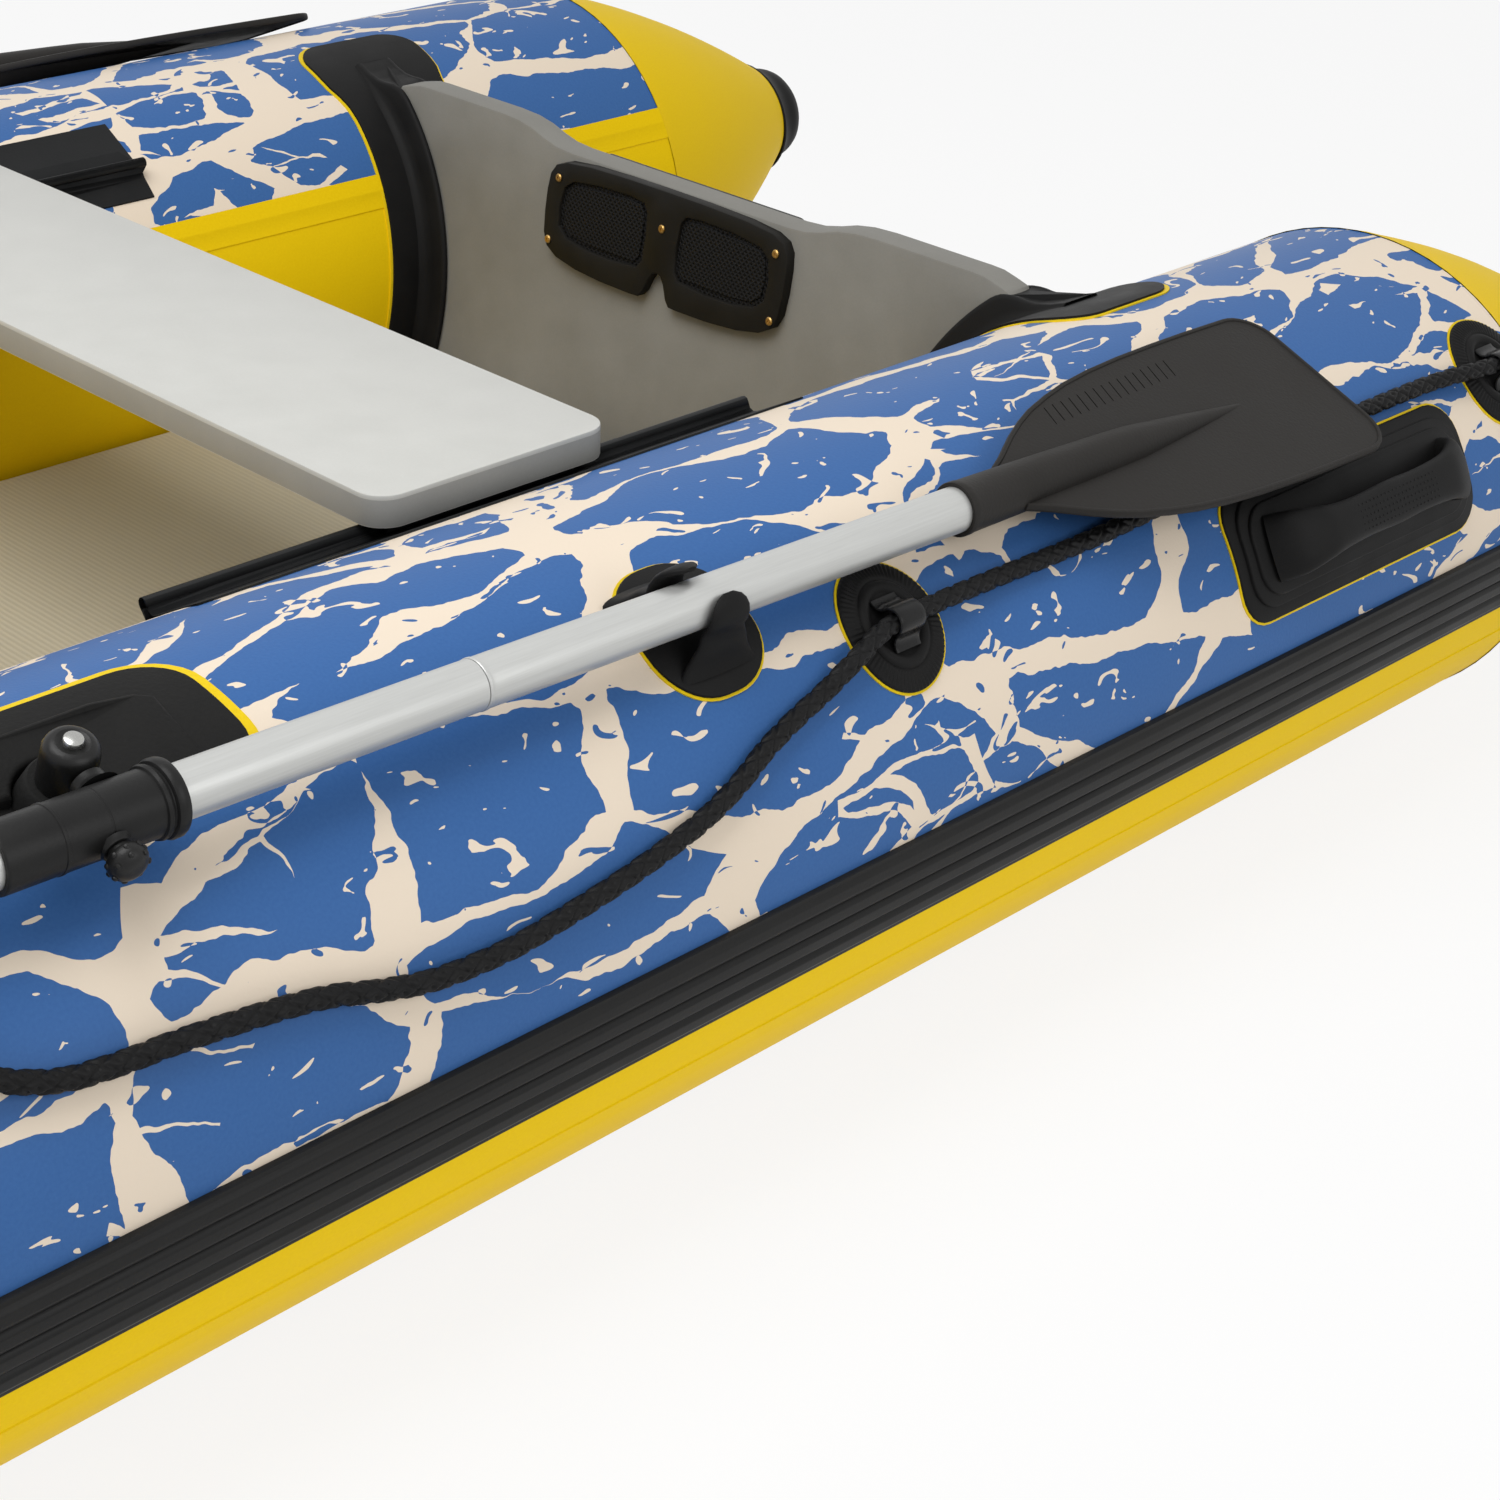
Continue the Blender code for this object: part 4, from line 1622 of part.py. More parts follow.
def carry_handles():
    """Moulded carry handles low on the tubes: a glued patch, a stepped base and a raised bar."""
    radius = TUBE_RADIUS
    low, high = math.radians(HANDLE_BOTTOM_ANGLE), math.radians(HANDLE_TOP_ANGLE)
    middle = (low + high) / 2
    inset = HANDLE_STEP_INSET

    def outline(shrink, corner):
        half = HANDLE_HALF_LENGTH - shrink
        corners = [(HANDLE_AHEAD - half, low * radius + shrink, corner),
                   (HANDLE_AHEAD + half, low * radius + shrink, corner),
                   (HANDLE_AHEAD + half, high * radius - shrink, corner),
                   (HANDLE_AHEAD - half, high * radius - shrink, corner)]
        return [(u, v / radius) for u, v in rounded(corners)]

    for name, side in SIDES.items():
        patch = plate_on_skin(side, outline(0, HANDLE_CORNER_RADIUS), FIT_GAP, HANDLE_PATCH)
        handle = make_object(name + "_carry_handle", patch, rubber())
        step = plate_on_skin(side, outline(inset, HANDLE_STEP_CORNER_RADIUS), HANDLE_PATCH / 2, HANDLE_STEP)
        cut(handle, make_object("step", step, rubber()), "UNION")
        bar = handle_bar(lambda offset: local_frame(side, HANDLE_AHEAD + offset, middle),
                         HANDLE_BAR_HALF_LENGTH, HANDLE_BAR_LIFT)
        cut(handle, make_object("bar", bar, rubber()), "UNION")


def bow_frame(offset, angle):
    """Point and directions on the round of the bow, at an offset from its tip towards starboard."""
    turn = math.pi / 2 * (1 - offset / BOW_QUARTER)
    step = FACET / 8

    def place(turn, angle):
        centre, outward, radius = bow_station(1, turn)
        return centre + radius * (math.cos(angle) * outward + math.sin(angle) * Vector((0, 0, 1)))

    fore = (place(turn - step, angle) - place(turn + step, angle)).normalized()
    up = (place(turn, angle + step) - place(turn, angle - step)).normalized()
    return place(turn, angle), fore, up, up.cross(fore).normalized()


def bow_handle():
    """Moulded handle round the top of the bow."""
    stations = [bow_station(1, bow_turn(BOW_STEPS + k)) for k in range(-BOW_HANDLE_STEPS, BOW_HANDLE_STEPS + 1)]
    first, last = BOW_HANDLE_ANGLE - BOW_HANDLE_HALF_ANGLE, BOW_HANDLE_ANGLE + BOW_HANDLE_HALF_ANGLE
    handle = make_object("bow_handle", skin_loft(stations, first, last, BOW_SEAT_GAP, HANDLE_STEP), rubber())
    angle = math.radians(BOW_HANDLE_ANGLE)
    bar = handle_bar(lambda offset: bow_frame(offset, angle), BOW_BAR_HALF_LENGTH, HANDLE_BAR_LIFT)
    cut(handle, make_object("bar", bar, rubber()), "UNION")


# Valves
def valve_places():
    """Origin and outward axis of each valve: port, starboard and bow."""
    places = {}
    angle = math.radians(VALVE_ANGLE)
    for name, side in SIDES.items():
        here, fore, up, outward = local_frame(side, VALVE_AHEAD, angle)
        places[name] = (here + outward * FIT_GAP, outward)
    ahead = BOW_START_AHEAD + BOW_QUARTER * (BOW_STEPS - 0.5) / BOW_STEPS
    here, fore, up, outward = local_frame(1, ahead, angle)
    places["bow"] = (here + outward * BOW_SEAT_GAP, outward)
    return places


def valve_hole(name):
    """Cutter for a valve's barrel through the skin."""
    place, axis = valve_places()[name]
    radius = VALVE_BARREL_RADIUS + FIT_GAP
    solid = turned_solid([(-CUT_OVERRUN, radius), (CUT_OVERRUN, radius)], place, axis, ROUND_SIDES)
    return make_object("valve_hole", solid, rubber())


def valves():
    """Valve bodies through the skins, and the bayonet caps that close them."""
    for name, (place, axis) in valve_places().items():
        top = VALVE_FLANGE_THICKNESS
        profile = [(top, VALVE_BORE_RADIUS), (top, VALVE_FLANGE_RADIUS * 0.9),
                   (top * 0.6, VALVE_FLANGE_RADIUS), (0, VALVE_FLANGE_RADIUS), (0, VALVE_BARREL_RADIUS),
                   (-VALVE_BARREL_DEPTH, VALVE_BARREL_RADIUS), (-VALVE_BARREL_DEPTH, VALVE_BORE_RADIUS)]
        make_object(name + "_valve_body", turned_ring(profile, place, axis, ROUND_SIDES), black_plastic())
        plug = VALVE_BORE_RADIUS - RUNNING_GAP
        lid = top + FIT_GAP
        profile = [(-VALVE_FLANGE_THICKNESS, plug), (lid, plug), (lid, VALVE_CAP_RADIUS),
                   (lid + VALVE_CAP_HEIGHT * 0.5, VALVE_CAP_RADIUS),
                   (lid + VALVE_CAP_HEIGHT * 0.7, VALVE_CAP_RADIUS * 0.9),
                   (lid + VALVE_CAP_HEIGHT * 0.7, VALVE_CAP_GRIP_RADIUS),
                   (lid + VALVE_CAP_HEIGHT, VALVE_CAP_GRIP_RADIUS * 0.8)]
        solid = turned_solid(profile, place, axis, ROUND_SIDES)
        make_object(name + "_valve_cap", solid, black_plastic(), place)


def report_cords():
    """Print each grab rope's length."""
    for name, side in SIDES.items():
        points = rope_points(side)
        length = sum((b - a).length for a, b in zip(points, points[1:]))
        print("%s grab rope: %.3f m in %d points" % (name, length, len(points)))


def build():
    clear_scene()
    tube_panels()
    bow_panels()
    stern_cones()
    rub_strake()
    bottom_skin()
    air_deck()
    transom_board()
    transom_holders()
    motor_pads()
    seat_rails()
    seat_board()
    seat_slides()
    oarlock_bases()
    oarlock_swivels()
    dip_bolts()
    oar_sleeves()
    clamp_knobs()
    oar_inner_shafts()
    oar_outer_shafts()
    oar_blades()
    oar_grips()
    oar_clips()
    rope_holders()
    grab_ropes()
    carry_handles()
    bow_handle()
    valves()
    report_cords()


build()
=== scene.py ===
"""Looks of an inflatable boat with printed tubes, an air deck, a sliding seat and a pair of oars.

Places follow the boat's own frame: +X to starboard, +Y to the bow, +Z up, metres. "Ahead" is a distance
in front of the motor pad's face at its middle screw. An angle round a tube is in degrees, from outboard
up over the crown, so 90 is the crown and 180 is the inboard side.
"""
import math

import bmesh
import bpy
from mathutils import Matrix, Quaternion, Vector


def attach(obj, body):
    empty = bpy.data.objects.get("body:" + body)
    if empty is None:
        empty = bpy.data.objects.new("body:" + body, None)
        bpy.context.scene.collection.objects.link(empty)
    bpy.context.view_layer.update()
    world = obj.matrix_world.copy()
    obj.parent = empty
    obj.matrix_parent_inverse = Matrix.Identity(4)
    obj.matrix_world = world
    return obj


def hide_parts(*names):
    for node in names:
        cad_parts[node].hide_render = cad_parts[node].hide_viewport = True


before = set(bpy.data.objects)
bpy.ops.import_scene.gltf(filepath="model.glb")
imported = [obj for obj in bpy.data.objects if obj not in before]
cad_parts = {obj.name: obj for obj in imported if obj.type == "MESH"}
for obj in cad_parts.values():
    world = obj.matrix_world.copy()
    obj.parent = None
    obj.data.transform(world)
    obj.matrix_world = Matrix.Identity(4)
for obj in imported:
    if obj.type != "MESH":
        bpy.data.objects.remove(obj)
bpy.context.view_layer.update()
SIDES = {"port": -1, "starboard": 1}

# Camera
# A studio camera with a short telephoto lens, held over the port bow quarter at shoulder height and
# turned to the transom.
CAMERA_PLACE = Vector((-1.79064, 1.03119, 1.17990))
CAMERA_YAW = 0.8120
CAMERA_PITCH = 0.4912
CAMERA_ROLL = 0.0432

camera = bpy.data.objects.new("camera", bpy.data.cameras.new("camera"))
bpy.context.scene.collection.objects.link(camera)
bpy.context.scene.camera = camera
camera.data.lens = 69.43
camera.data.sensor_width = 36
camera.data.shift_x = 0.0043
camera.data.shift_y = -0.0040
camera.data.clip_start = 0.05
level = math.cos(CAMERA_PITCH)
sight = Vector((math.cos(CAMERA_YAW) * level, -math.sin(CAMERA_YAW) * level, -math.sin(CAMERA_PITCH)))
camera.location = CAMERA_PLACE
camera.rotation_mode = "QUATERNION"
camera.rotation_quaternion = sight.to_track_quat("-Z", "Y") @ Quaternion((0, 0, 1), CAMERA_ROLL)
bpy.context.scene.view_settings.view_transform = "Standard"


# Studio floor
# A seamless white sheet that the boat stands on. It shows as white paper, and keeps the boat's soft
# shadow.
def new_material(name, specular=0.4):
    """A material with its tree and its surface shader."""
    made = bpy.data.materials.new(name)
    made.use_nodes = True
    shader = made.node_tree.nodes["Principled BSDF"]
    shader.inputs["Specular IOR Level"].default_value = specular
    return made, made.node_tree, shader


def node(tree, kind, inputs=None, **settings):
    """A node with its settings, and with values or other nodes' outputs in its inputs."""
    made = tree.nodes.new(kind)
    for key, value in settings.items():
        setattr(made, key, value)
    for key, value in (inputs or {}).items():
        if isinstance(value, bpy.types.NodeSocket):
            tree.links.new(value, made.inputs[key])
        else:
            made.inputs[key].default_value = value
    return made


def noise(tree, vector, scale, detail=2.0, distortion=0.0):
    """A noise texture node."""
    return node(tree, "ShaderNodeTexNoise", {"Vector": vector, "Scale": scale, "Detail": detail,
                                             "Distortion": distortion})


def blend(tree, factor, first, second):
    """The colour between two others, or other nodes' outputs, at a factor."""
    ends = [value if isinstance(value, bpy.types.NodeSocket) else (*value, 1) for value in (first, second)]
    made = node(tree, "ShaderNodeMix", {"Factor": factor, "A": ends[0], "B": ends[1]}, data_type="RGBA")
    return made.outputs["Result"]


def seen_directly(tree):
    """1 where the camera sees a surface, also in glossy pieces, and 0 for all other light."""
    seen = node(tree, "ShaderNodeLightPath")
    both = {0: seen.outputs["Is Camera Ray"], 1: seen.outputs["Is Glossy Ray"]}
    return node(tree, "ShaderNodeMath", both, operation="MAXIMUM").outputs[0]


PAPER_GLOW = 0.86
ROOM_STRENGTH = 0.40
paper, tree, shader = new_material("studio_paper")
shader.inputs["Base Color"].default_value = (0.90, 0.90, 0.90, 1)
shader.inputs["Roughness"].default_value = 0.9
share = node(tree, "ShaderNodeMath", {0: seen_directly(tree), 1: PAPER_GLOW}, operation="MULTIPLY")
glow = node(tree, "ShaderNodeEmission", {"Color": (1, 1, 1, 1), "Strength": 1.0})
mixed = node(tree, "ShaderNodeMixShader", {0: share.outputs[0], 1: shader.outputs[0], 2: glow.outputs[0]})
tree.links.new(mixed.outputs[0], tree.nodes["Material Output"].inputs["Surface"])

bm = bmesh.new()
bmesh.ops.create_grid(bm, x_segments=2, y_segments=2, size=14)
sheet = bpy.data.meshes.new("studio_floor")
bm.to_mesh(sheet)
bm.free()
floor = bpy.data.objects.new("studio_floor", sheet)
floor.location = (0, 0, -0.0005)
sheet.materials.append(paper)
bpy.context.scene.collection.objects.link(floor)

# Studio light
# A white room with one broad soft box over the boat and a weaker one from the port side, so that the
# tubes shade softly and black rubber keeps its gloss.
world = bpy.data.worlds.new("studio_room")
bpy.context.scene.world = world
world.use_nodes = True
tree = world.node_tree
room = node(tree, "ShaderNodeMapRange", {"Value": seen_directly(tree), "To Min": ROOM_STRENGTH,
                                         "To Max": 1.0})
back = tree.nodes["Background"]
back.inputs["Color"].default_value = (1, 1, 1, 1)
tree.links.new(room.outputs[0], back.inputs["Strength"])


def soft_box(name, place, aim, size, power):
    """A square area lamp that looks at a point."""
    lamp = bpy.data.lights.new(name, "AREA")
    lamp.shape = "SQUARE"
    lamp.size = size
    lamp.energy = power
    thing = bpy.data.objects.new(name, lamp)
    thing.location = place
    thing.rotation_mode = "QUATERNION"
    thing.rotation_quaternion = (Vector(aim) - Vector(place)).to_track_quat("-Z", "Y")
    bpy.context.scene.collection.objects.link(thing)


soft_box("top_box", (-0.3, 1.0, 3.2), (0, -0.2, 0.2), 2.2, 70)
soft_box("side_box", (-3.2, -0.4, 1.6), (0, -0.2, 0.2), 1.6, 20)

# Tubes' printed upper panels
# Each tube is welded from coated fabric: a printed upper panel and a yellow lower one. The print shows
# pale veins of light on blue water, as a plain design of its own.
TRANSOM_Y = -0.7225
TUBE_RADIUS = 0.21
TUBE_OFFSET = 0.525
BOW_START_AHEAD = 1.25
BOW_START_Y = TRANSOM_Y + BOW_START_AHEAD
BOW_REACH = 0.6785
BOW_RISE = 0.12
BOW_QUARTER = math.pi / 4 * (TUBE_OFFSET + BOW_REACH)
CONE_SEAM_BEHIND = 0.335
CONE_END_BEHIND = 0.667
CONE_RISE = 0.05315
CONE_NARROWING = 0.161
INBOARD_SEAM = 144.5
OUTBOARD_SEAM = -3.0
LAP_STEP = 0.0009


def cone_radius(behind):
    """Radius of a stern cone, which swells gently before it draws in."""
    share = min(1.0, max(0.0, (behind - CONE_SEAM_BEHIND) / (CONE_END_BEHIND - CONE_SEAM_BEHIND)))
    return TUBE_RADIUS - CONE_NARROWING * (0.67 * share + 0.33 * share ** 2)


def tube_frame(side, ahead):
    """Centre, outboard direction and radius of a tube, on round the bow and back along the cones."""
    if ahead <= BOW_START_AHEAD:
        behind = max(0.0, -ahead - CONE_SEAM_BEHIND)
        centre = Vector((side * TUBE_OFFSET, TRANSOM_Y + ahead, TUBE_RADIUS + CONE_RISE * behind))
        return centre, Vector((side, 0, 0)), cone_radius(-ahead)
    turn = (ahead - BOW_START_AHEAD) / BOW_QUARTER * math.pi / 2
    across, along = math.cos(turn), math.sin(turn)
    centre = Vector((side * TUBE_OFFSET * across, BOW_START_Y + BOW_REACH * along,
                     TUBE_RADIUS + BOW_RISE * along ** 2))
    outward = Vector((side * across / TUBE_OFFSET, along / BOW_REACH, 0)).normalized()
    return centre, outward, TUBE_RADIUS


def on_tube(side, ahead, angle, lift=0.0):
    """A point over a tube's skin."""
    centre, outward, radius = tube_frame(side, ahead)
    turn = math.radians(angle)
    return centre + (radius + lift) * (math.cos(turn) * outward + math.sin(turn) * Vector((0, 0, 1)))


def bent_grid(columns, rows, place, metres, closed=False):
    """A grid bent into a form: place takes two shares to a point, metres takes them to the pattern."""
    bm = bmesh.new()
    bmesh.ops.create_grid(bm, x_segments=columns, y_segments=rows, size=0.5)
    layer = bm.loops.layers.uv.new("metres")
    for face in bm.faces:
        for loop in face.loops:
            loop[layer].uv = metres(loop.vert.co.x + 0.5, loop.vert.co.y + 0.5)
    for vertex in bm.verts:
        vertex.co = place(vertex.co.x + 0.5, vertex.co.y + 0.5)
    if closed:
        bmesh.ops.remove_doubles(bm, verts=bm.verts[:], dist=1e-6)
    return bm


def face_outwards(bm):
    """Turn all faces outwards."""
    bmesh.ops.recalc_face_normals(bm, faces=bm.faces[:])
    return bm


def closed_strip(columns, rows, place, closed=False):
    """A bent grid whose open ends are filled, so that it is a closed body."""
    bm = bent_grid(columns, rows, place, lambda s, t: (s, t), closed)
    ends = [edge for edge in bm.edges if edge.is_boundary]
    if ends:
        bmesh.ops.holes_fill(bm, edges=ends, sides=0)
    return face_outwards(bm)


def piece(name, bm, materials, body="hull", stands_for=(), slot=None, crease=35.0):
    """Make a finished mesh from a bmesh, give it its material and its body, and hide what it replaces."""
    mesh = bpy.data.meshes.new(name)
    bm.to_mesh(mesh)
    bm.free()
    thing = bpy.data.objects.new(name, mesh)
    bpy.context.scene.collection.objects.link(thing)
    for material in materials if isinstance(materials, (list, tuple)) else [materials]:
        mesh.materials.append(material)
    mesh.shade_smooth()
    mesh.set_sharp_from_angle(angle=math.radians(crease))
    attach(thing, body)
    slot or stands_for[0]
    if stands_for:
        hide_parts(*stands_for)
    return thing


def new_group(name, inputs, outputs):
    """A shader group with named sockets."""
    group = bpy.data.node_groups.new(name, "ShaderNodeTree")
    for label, kind, value in inputs:
        socket = group.interface.new_socket(label, in_out="INPUT", socket_type=kind)
        if value is not None:
            socket.default_value = value
    for label, kind in outputs:
        group.interface.new_socket(label, in_out="OUTPUT", socket_type=kind)
    return group, group.nodes.new("NodeGroupInput"), group.nodes.new("NodeGroupOutput")


def math_node(tree, operation, *values):
    """The output of a Math node."""
    return node(tree, "ShaderNodeMath", dict(enumerate(values)), operation=operation).outputs[0]


def vector_node(tree, operation, *values):
    """The output of a Vector Math node."""
    return node(tree, "ShaderNodeVectorMath", dict(enumerate(values)), operation=operation).outputs[0]


# Coated fabric: the fine grain of the cloth under the coating, and soft puckers where it is glued.
cloth, given, result = new_group("coated_cloth", [("Vector", "NodeSocketVector", None),
                                                  ("Grain", "NodeSocketFloat", 420.0),
                                                  ("Puckers", "NodeSocketFloat", 9.0),
                                                  ("Pucker Depth", "NodeSocketFloat", 0.5)],
                                 [("Height", "NodeSocketFloat"), ("Tone", "NodeSocketFloat")])
grain = noise(cloth, given.outputs[0], given.outputs[1])
flattened = node(cloth, "ShaderNodeMapping", {"Vector": given.outputs[0], "Scale": (1.0, 0.28, 1.0)})
pucker = noise(cloth, flattened.outputs[0], given.outputs[2], distortion=0.4)
deep = math_node(cloth, "MULTIPLY", pucker.outputs[0], given.outputs[3])
fine = math_node(cloth, "MULTIPLY", grain.outputs[0], 0.10)
cloth.links.new(math_node(cloth, "ADD", deep, fine), result.inputs[0])
cloth.links.new(grain.outputs[0], result.inputs[1])

# Water print: a warped net of cells whose edges are veins, wider at some junctions and in places fine.
veins, given, result = new_group("vein_net", [("Vector", "NodeSocketVector", None),
                                              ("Across", "NodeSocketVector", (6.0, 10.0, 1.0)),
                                              ("Thin", "NodeSocketFloat", 0.03),
                                              ("Thick", "NodeSocketFloat", 0.16)],
                                 [("Veins", "NodeSocketFloat")])
slow = noise(veins, given.outputs[0], 4.5)
quick = noise(veins, given.outputs[0], 24.0, 3.0)
bend = vector_node(veins, "MULTIPLY", slow.outputs["Color"], (0.16, 0.10, 0))
shake = vector_node(veins, "MULTIPLY", quick.outputs["Color"], (0.030, 0.022, 0))
moved = vector_node(veins, "ADD", vector_node(veins, "ADD", given.outputs[0], bend), shake)
cells = vector_node(veins, "MULTIPLY", moved, given.outputs[1])
edges = node(veins, "ShaderNodeTexVoronoi", {"Vector": cells, "Scale": 1.0}, voronoi_dimensions="2D",
             feature="DISTANCE_TO_EDGE")
middles = node(veins, "ShaderNodeTexVoronoi", {"Vector": cells, "Scale": 1.0}, voronoi_dimensions="2D",
               feature="F1")
swell = noise(veins, given.outputs[0], 5.5)
part = node(veins, "ShaderNodeMapRange", {"Value": swell.outputs[0], "From Min": 0.38, "From Max": 0.68,
                                          "To Min": given.outputs[2], "To Max": given.outputs[3]})
corner = node(veins, "ShaderNodeMapRange", {"Value": middles.outputs["Distance"], "From Min": 0.55,
                                            "From Max": 0.90, "To Min": 0.0, "To Max": 0.17})
width = math_node(veins, "ADD", part.outputs[0], corner.outputs[0])
veins.links.new(math_node(veins, "LESS_THAN", edges.outputs["Distance"], width), result.inputs[0])


def set_bump(tree, shader, height, strength, distance):
    """Give a surface a bumped normal from a height."""
    bump = node(tree, "ShaderNodeBump", {"Strength": strength, "Distance": distance, "Height": height})
    tree.links.new(bump.outputs[0], shader.inputs["Normal"])


def coated_fabric(name, roughness, pucker_depth, specular=0.15):
    """A satin coated fabric whose colour is still to be given. Its pattern follows the tube."""
    made, tree, shader = new_material(name, specular)
    place = node(tree, "ShaderNodeUVMap", uv_map="metres")
    weave = node(tree, "ShaderNodeGroup", {"Vector": place.outputs[0], "Grain": 420.0, "Puckers": 9.0,
                                           "Pucker Depth": pucker_depth}, node_tree=cloth)
    set_bump(tree, shader, weave.outputs["Height"], 0.35, 0.004)
    rough = node(tree, "ShaderNodeMapRange", {"Value": weave.outputs["Tone"], "To Min": roughness - 0.05,
                                              "To Max": roughness + 0.05})
    tree.links.new(rough.outputs[0], shader.inputs["Roughness"])
    return made, tree, shader, place, weave


WATER_BLUES = ((0.036, 0.118, 0.335), (0.050, 0.150, 0.390))
VEIN_COLOUR = (0.85, 0.73, 0.59)
BUSY_FROM = 0.56
CHIPS_FROM = 0.665
printed, tree, shader, place, weave = coated_fabric("printed_fabric", 0.44, 0.35)
broad = node(tree, "ShaderNodeGroup", {"Vector": place.outputs[0], "Across": (4.3, 11.5, 1.0),
                                       "Thin": -0.012, "Thick": 0.15}, node_tree=veins)
shifted = vector_node(tree, "ADD", place.outputs[0], (3.7, 1.9, 0))
small = node(tree, "ShaderNodeGroup", {"Vector": shifted, "Across": (10.5, 25.0, 1.0), "Thin": -0.035,
                                       "Thick": 0.12}, node_tree=veins)
patches = noise(tree, place.outputs[0], 3.4, 1.0)
busy = math_node(tree, "GREATER_THAN", patches.outputs[0], BUSY_FROM)
fine = math_node(tree, "MULTIPLY", small.outputs[0], busy)
net = math_node(tree, "MAXIMUM", broad.outputs[0], fine)
stretched = node(tree, "ShaderNodeMapping", {"Vector": place.outputs[0], "Scale": (26.0, 44.0, 1.0)})
chips = noise(tree, stretched.outputs[0], 1.0, 1.5, 1.6)
chipped = math_node(tree, "GREATER_THAN", chips.outputs[0], CHIPS_FROM)
mask = math_node(tree, "ABSOLUTE", math_node(tree, "SUBTRACT", net, chipped))
water = blend(tree, weave.outputs["Tone"], *WATER_BLUES)
tree.links.new(blend(tree, mask, water, VEIN_COLOUR), shader.inputs["Base Color"])


def running_length(side, ahead):
    """Length along the skin from the port stern round the bow to the starboard stern."""
    return ahead if side < 0 else 2 * (BOW_START_AHEAD + BOW_QUARTER) - ahead


def tube_panel(side, first, last, angles, columns, lift):
    """A panel of tube skin between two places along the tube, with a row of points at each angle."""
    rows = len(angles) - 1

    def place(s, t):
        ahead = first + (last - first) * s
        angle = angles[round(t * rows)]
        return on_tube(side, ahead, angle, lift(ahead, angle))

    def metres(s, t):
        angle = angles[round(t * rows)]
        return running_length(side, first + (last - first) * s), math.radians(angle) * TUBE_RADIUS

    bm = bent_grid(columns, rows, place, metres)
    if side < 0:
        bmesh.ops.reverse_faces(bm, faces=bm.faces[:])
    return bm


def even_angles(first, last, step=4.0, also=()):
    """Angles at even steps, and others between them."""
    count = max(1, round((last - first) / step))
    return sorted(set([first + (last - first) * k / count for k in range(count + 1)] + list(also)))


def skin_panels(label, replaced, material, angles, columns, bow_columns, lift):
    """The port, starboard and bow panels of one fabric."""
    for name, side in SIDES.items():
        bm = tube_panel(side, -CONE_SEAM_BEHIND, BOW_START_AHEAD, angles, columns, lift)
        piece(name + label, bm, material, stands_for=[name + replaced])
    bm = tube_panel(-1, BOW_START_AHEAD, BOW_START_AHEAD + 2 * BOW_QUARTER, angles, bow_columns, lift)
    piece("bow" + label, bm, material, stands_for=["bow" + replaced])


skin_panels("_printed_panel", "_upper_panel", printed, even_angles(OUTBOARD_SEAM, INBOARD_SEAM), 90, 120,
            lambda ahead, angle: 0.0)

# Tubes' yellow lower panels
# The same coated fabric, plain yellow, lapped over the printed panel along both seams. A second lap runs
# low on the outboard side, where the chamber's own seam lies under it.
LAP_ANGLES = (INBOARD_SEAM + 8.9, 337.0, 332.5, INBOARD_SEAM + 4.6)
YELLOWS = ((0.87, 0.575, 0.002), (0.94, 0.655, 0.006))
lemon, tree, shader, place, weave = coated_fabric("yellow_fabric", 0.50, 0.75, 0.06)
shade = blend(tree, weave.outputs["Tone"], *YELLOWS)
tree.links.new(shade, shader.inputs["Base Color"])


def lower_lift(ahead, angle):
    """Height of the laps over the skin."""
    if angle < LAP_ANGLES[3]:
        return LAP_STEP * 1.4
    over_low = LAP_ANGLES[2] < angle < LAP_ANGLES[1]
    return LAP_STEP if angle < LAP_ANGLES[0] or over_low else 0.0


lap_edges = [angle + offset for angle in LAP_ANGLES for offset in (-0.12, 0.12)]
lower_angles = even_angles(INBOARD_SEAM, OUTBOARD_SEAM + 360, also=lap_edges)
skin_panels("_yellow_panel", "_lower_panel", lemon, lower_angles, 60, 110, lower_lift)

# Stern cones
# Yellow fabric cones close the tubes behind the transom, joined with a narrow tape over the seam.
TAPE_HALF = 0.014
CONE_PRINT_RADIUS = 0.2


def cone_lift(ahead):
    """Height of the seam's tape over the cone."""
    return LAP_STEP if ahead > -CONE_SEAM_BEHIND - TAPE_HALF else 0.0


cone_places = sorted([-CONE_SEAM_BEHIND - (CONE_END_BEHIND - CONE_SEAM_BEHIND) * k / 28 for k in range(29)]
                     + [-CONE_SEAM_BEHIND - TAPE_HALF - 0.0004, -CONE_SEAM_BEHIND - TAPE_HALF + 0.0004])
for name, side in SIDES.items():
    count = len(cone_places) - 1

    def cone_place(s, t):
        ahead = cone_places[round(s * count)]
        return on_tube(side, ahead, 360 * t, cone_lift(ahead))

    def cone_metres(s, t):
        return running_length(side, cone_places[round(s * count)]), 2 * math.pi * t * CONE_PRINT_RADIUS

    bm = bent_grid(count, 72, cone_place, cone_metres, closed=True)
    if side < 0:
        bmesh.ops.reverse_faces(bm, faces=bm.faces[:])
    piece(name + "_yellow_cone", bm, lemon, stands_for=[name + "_stern_cone"])

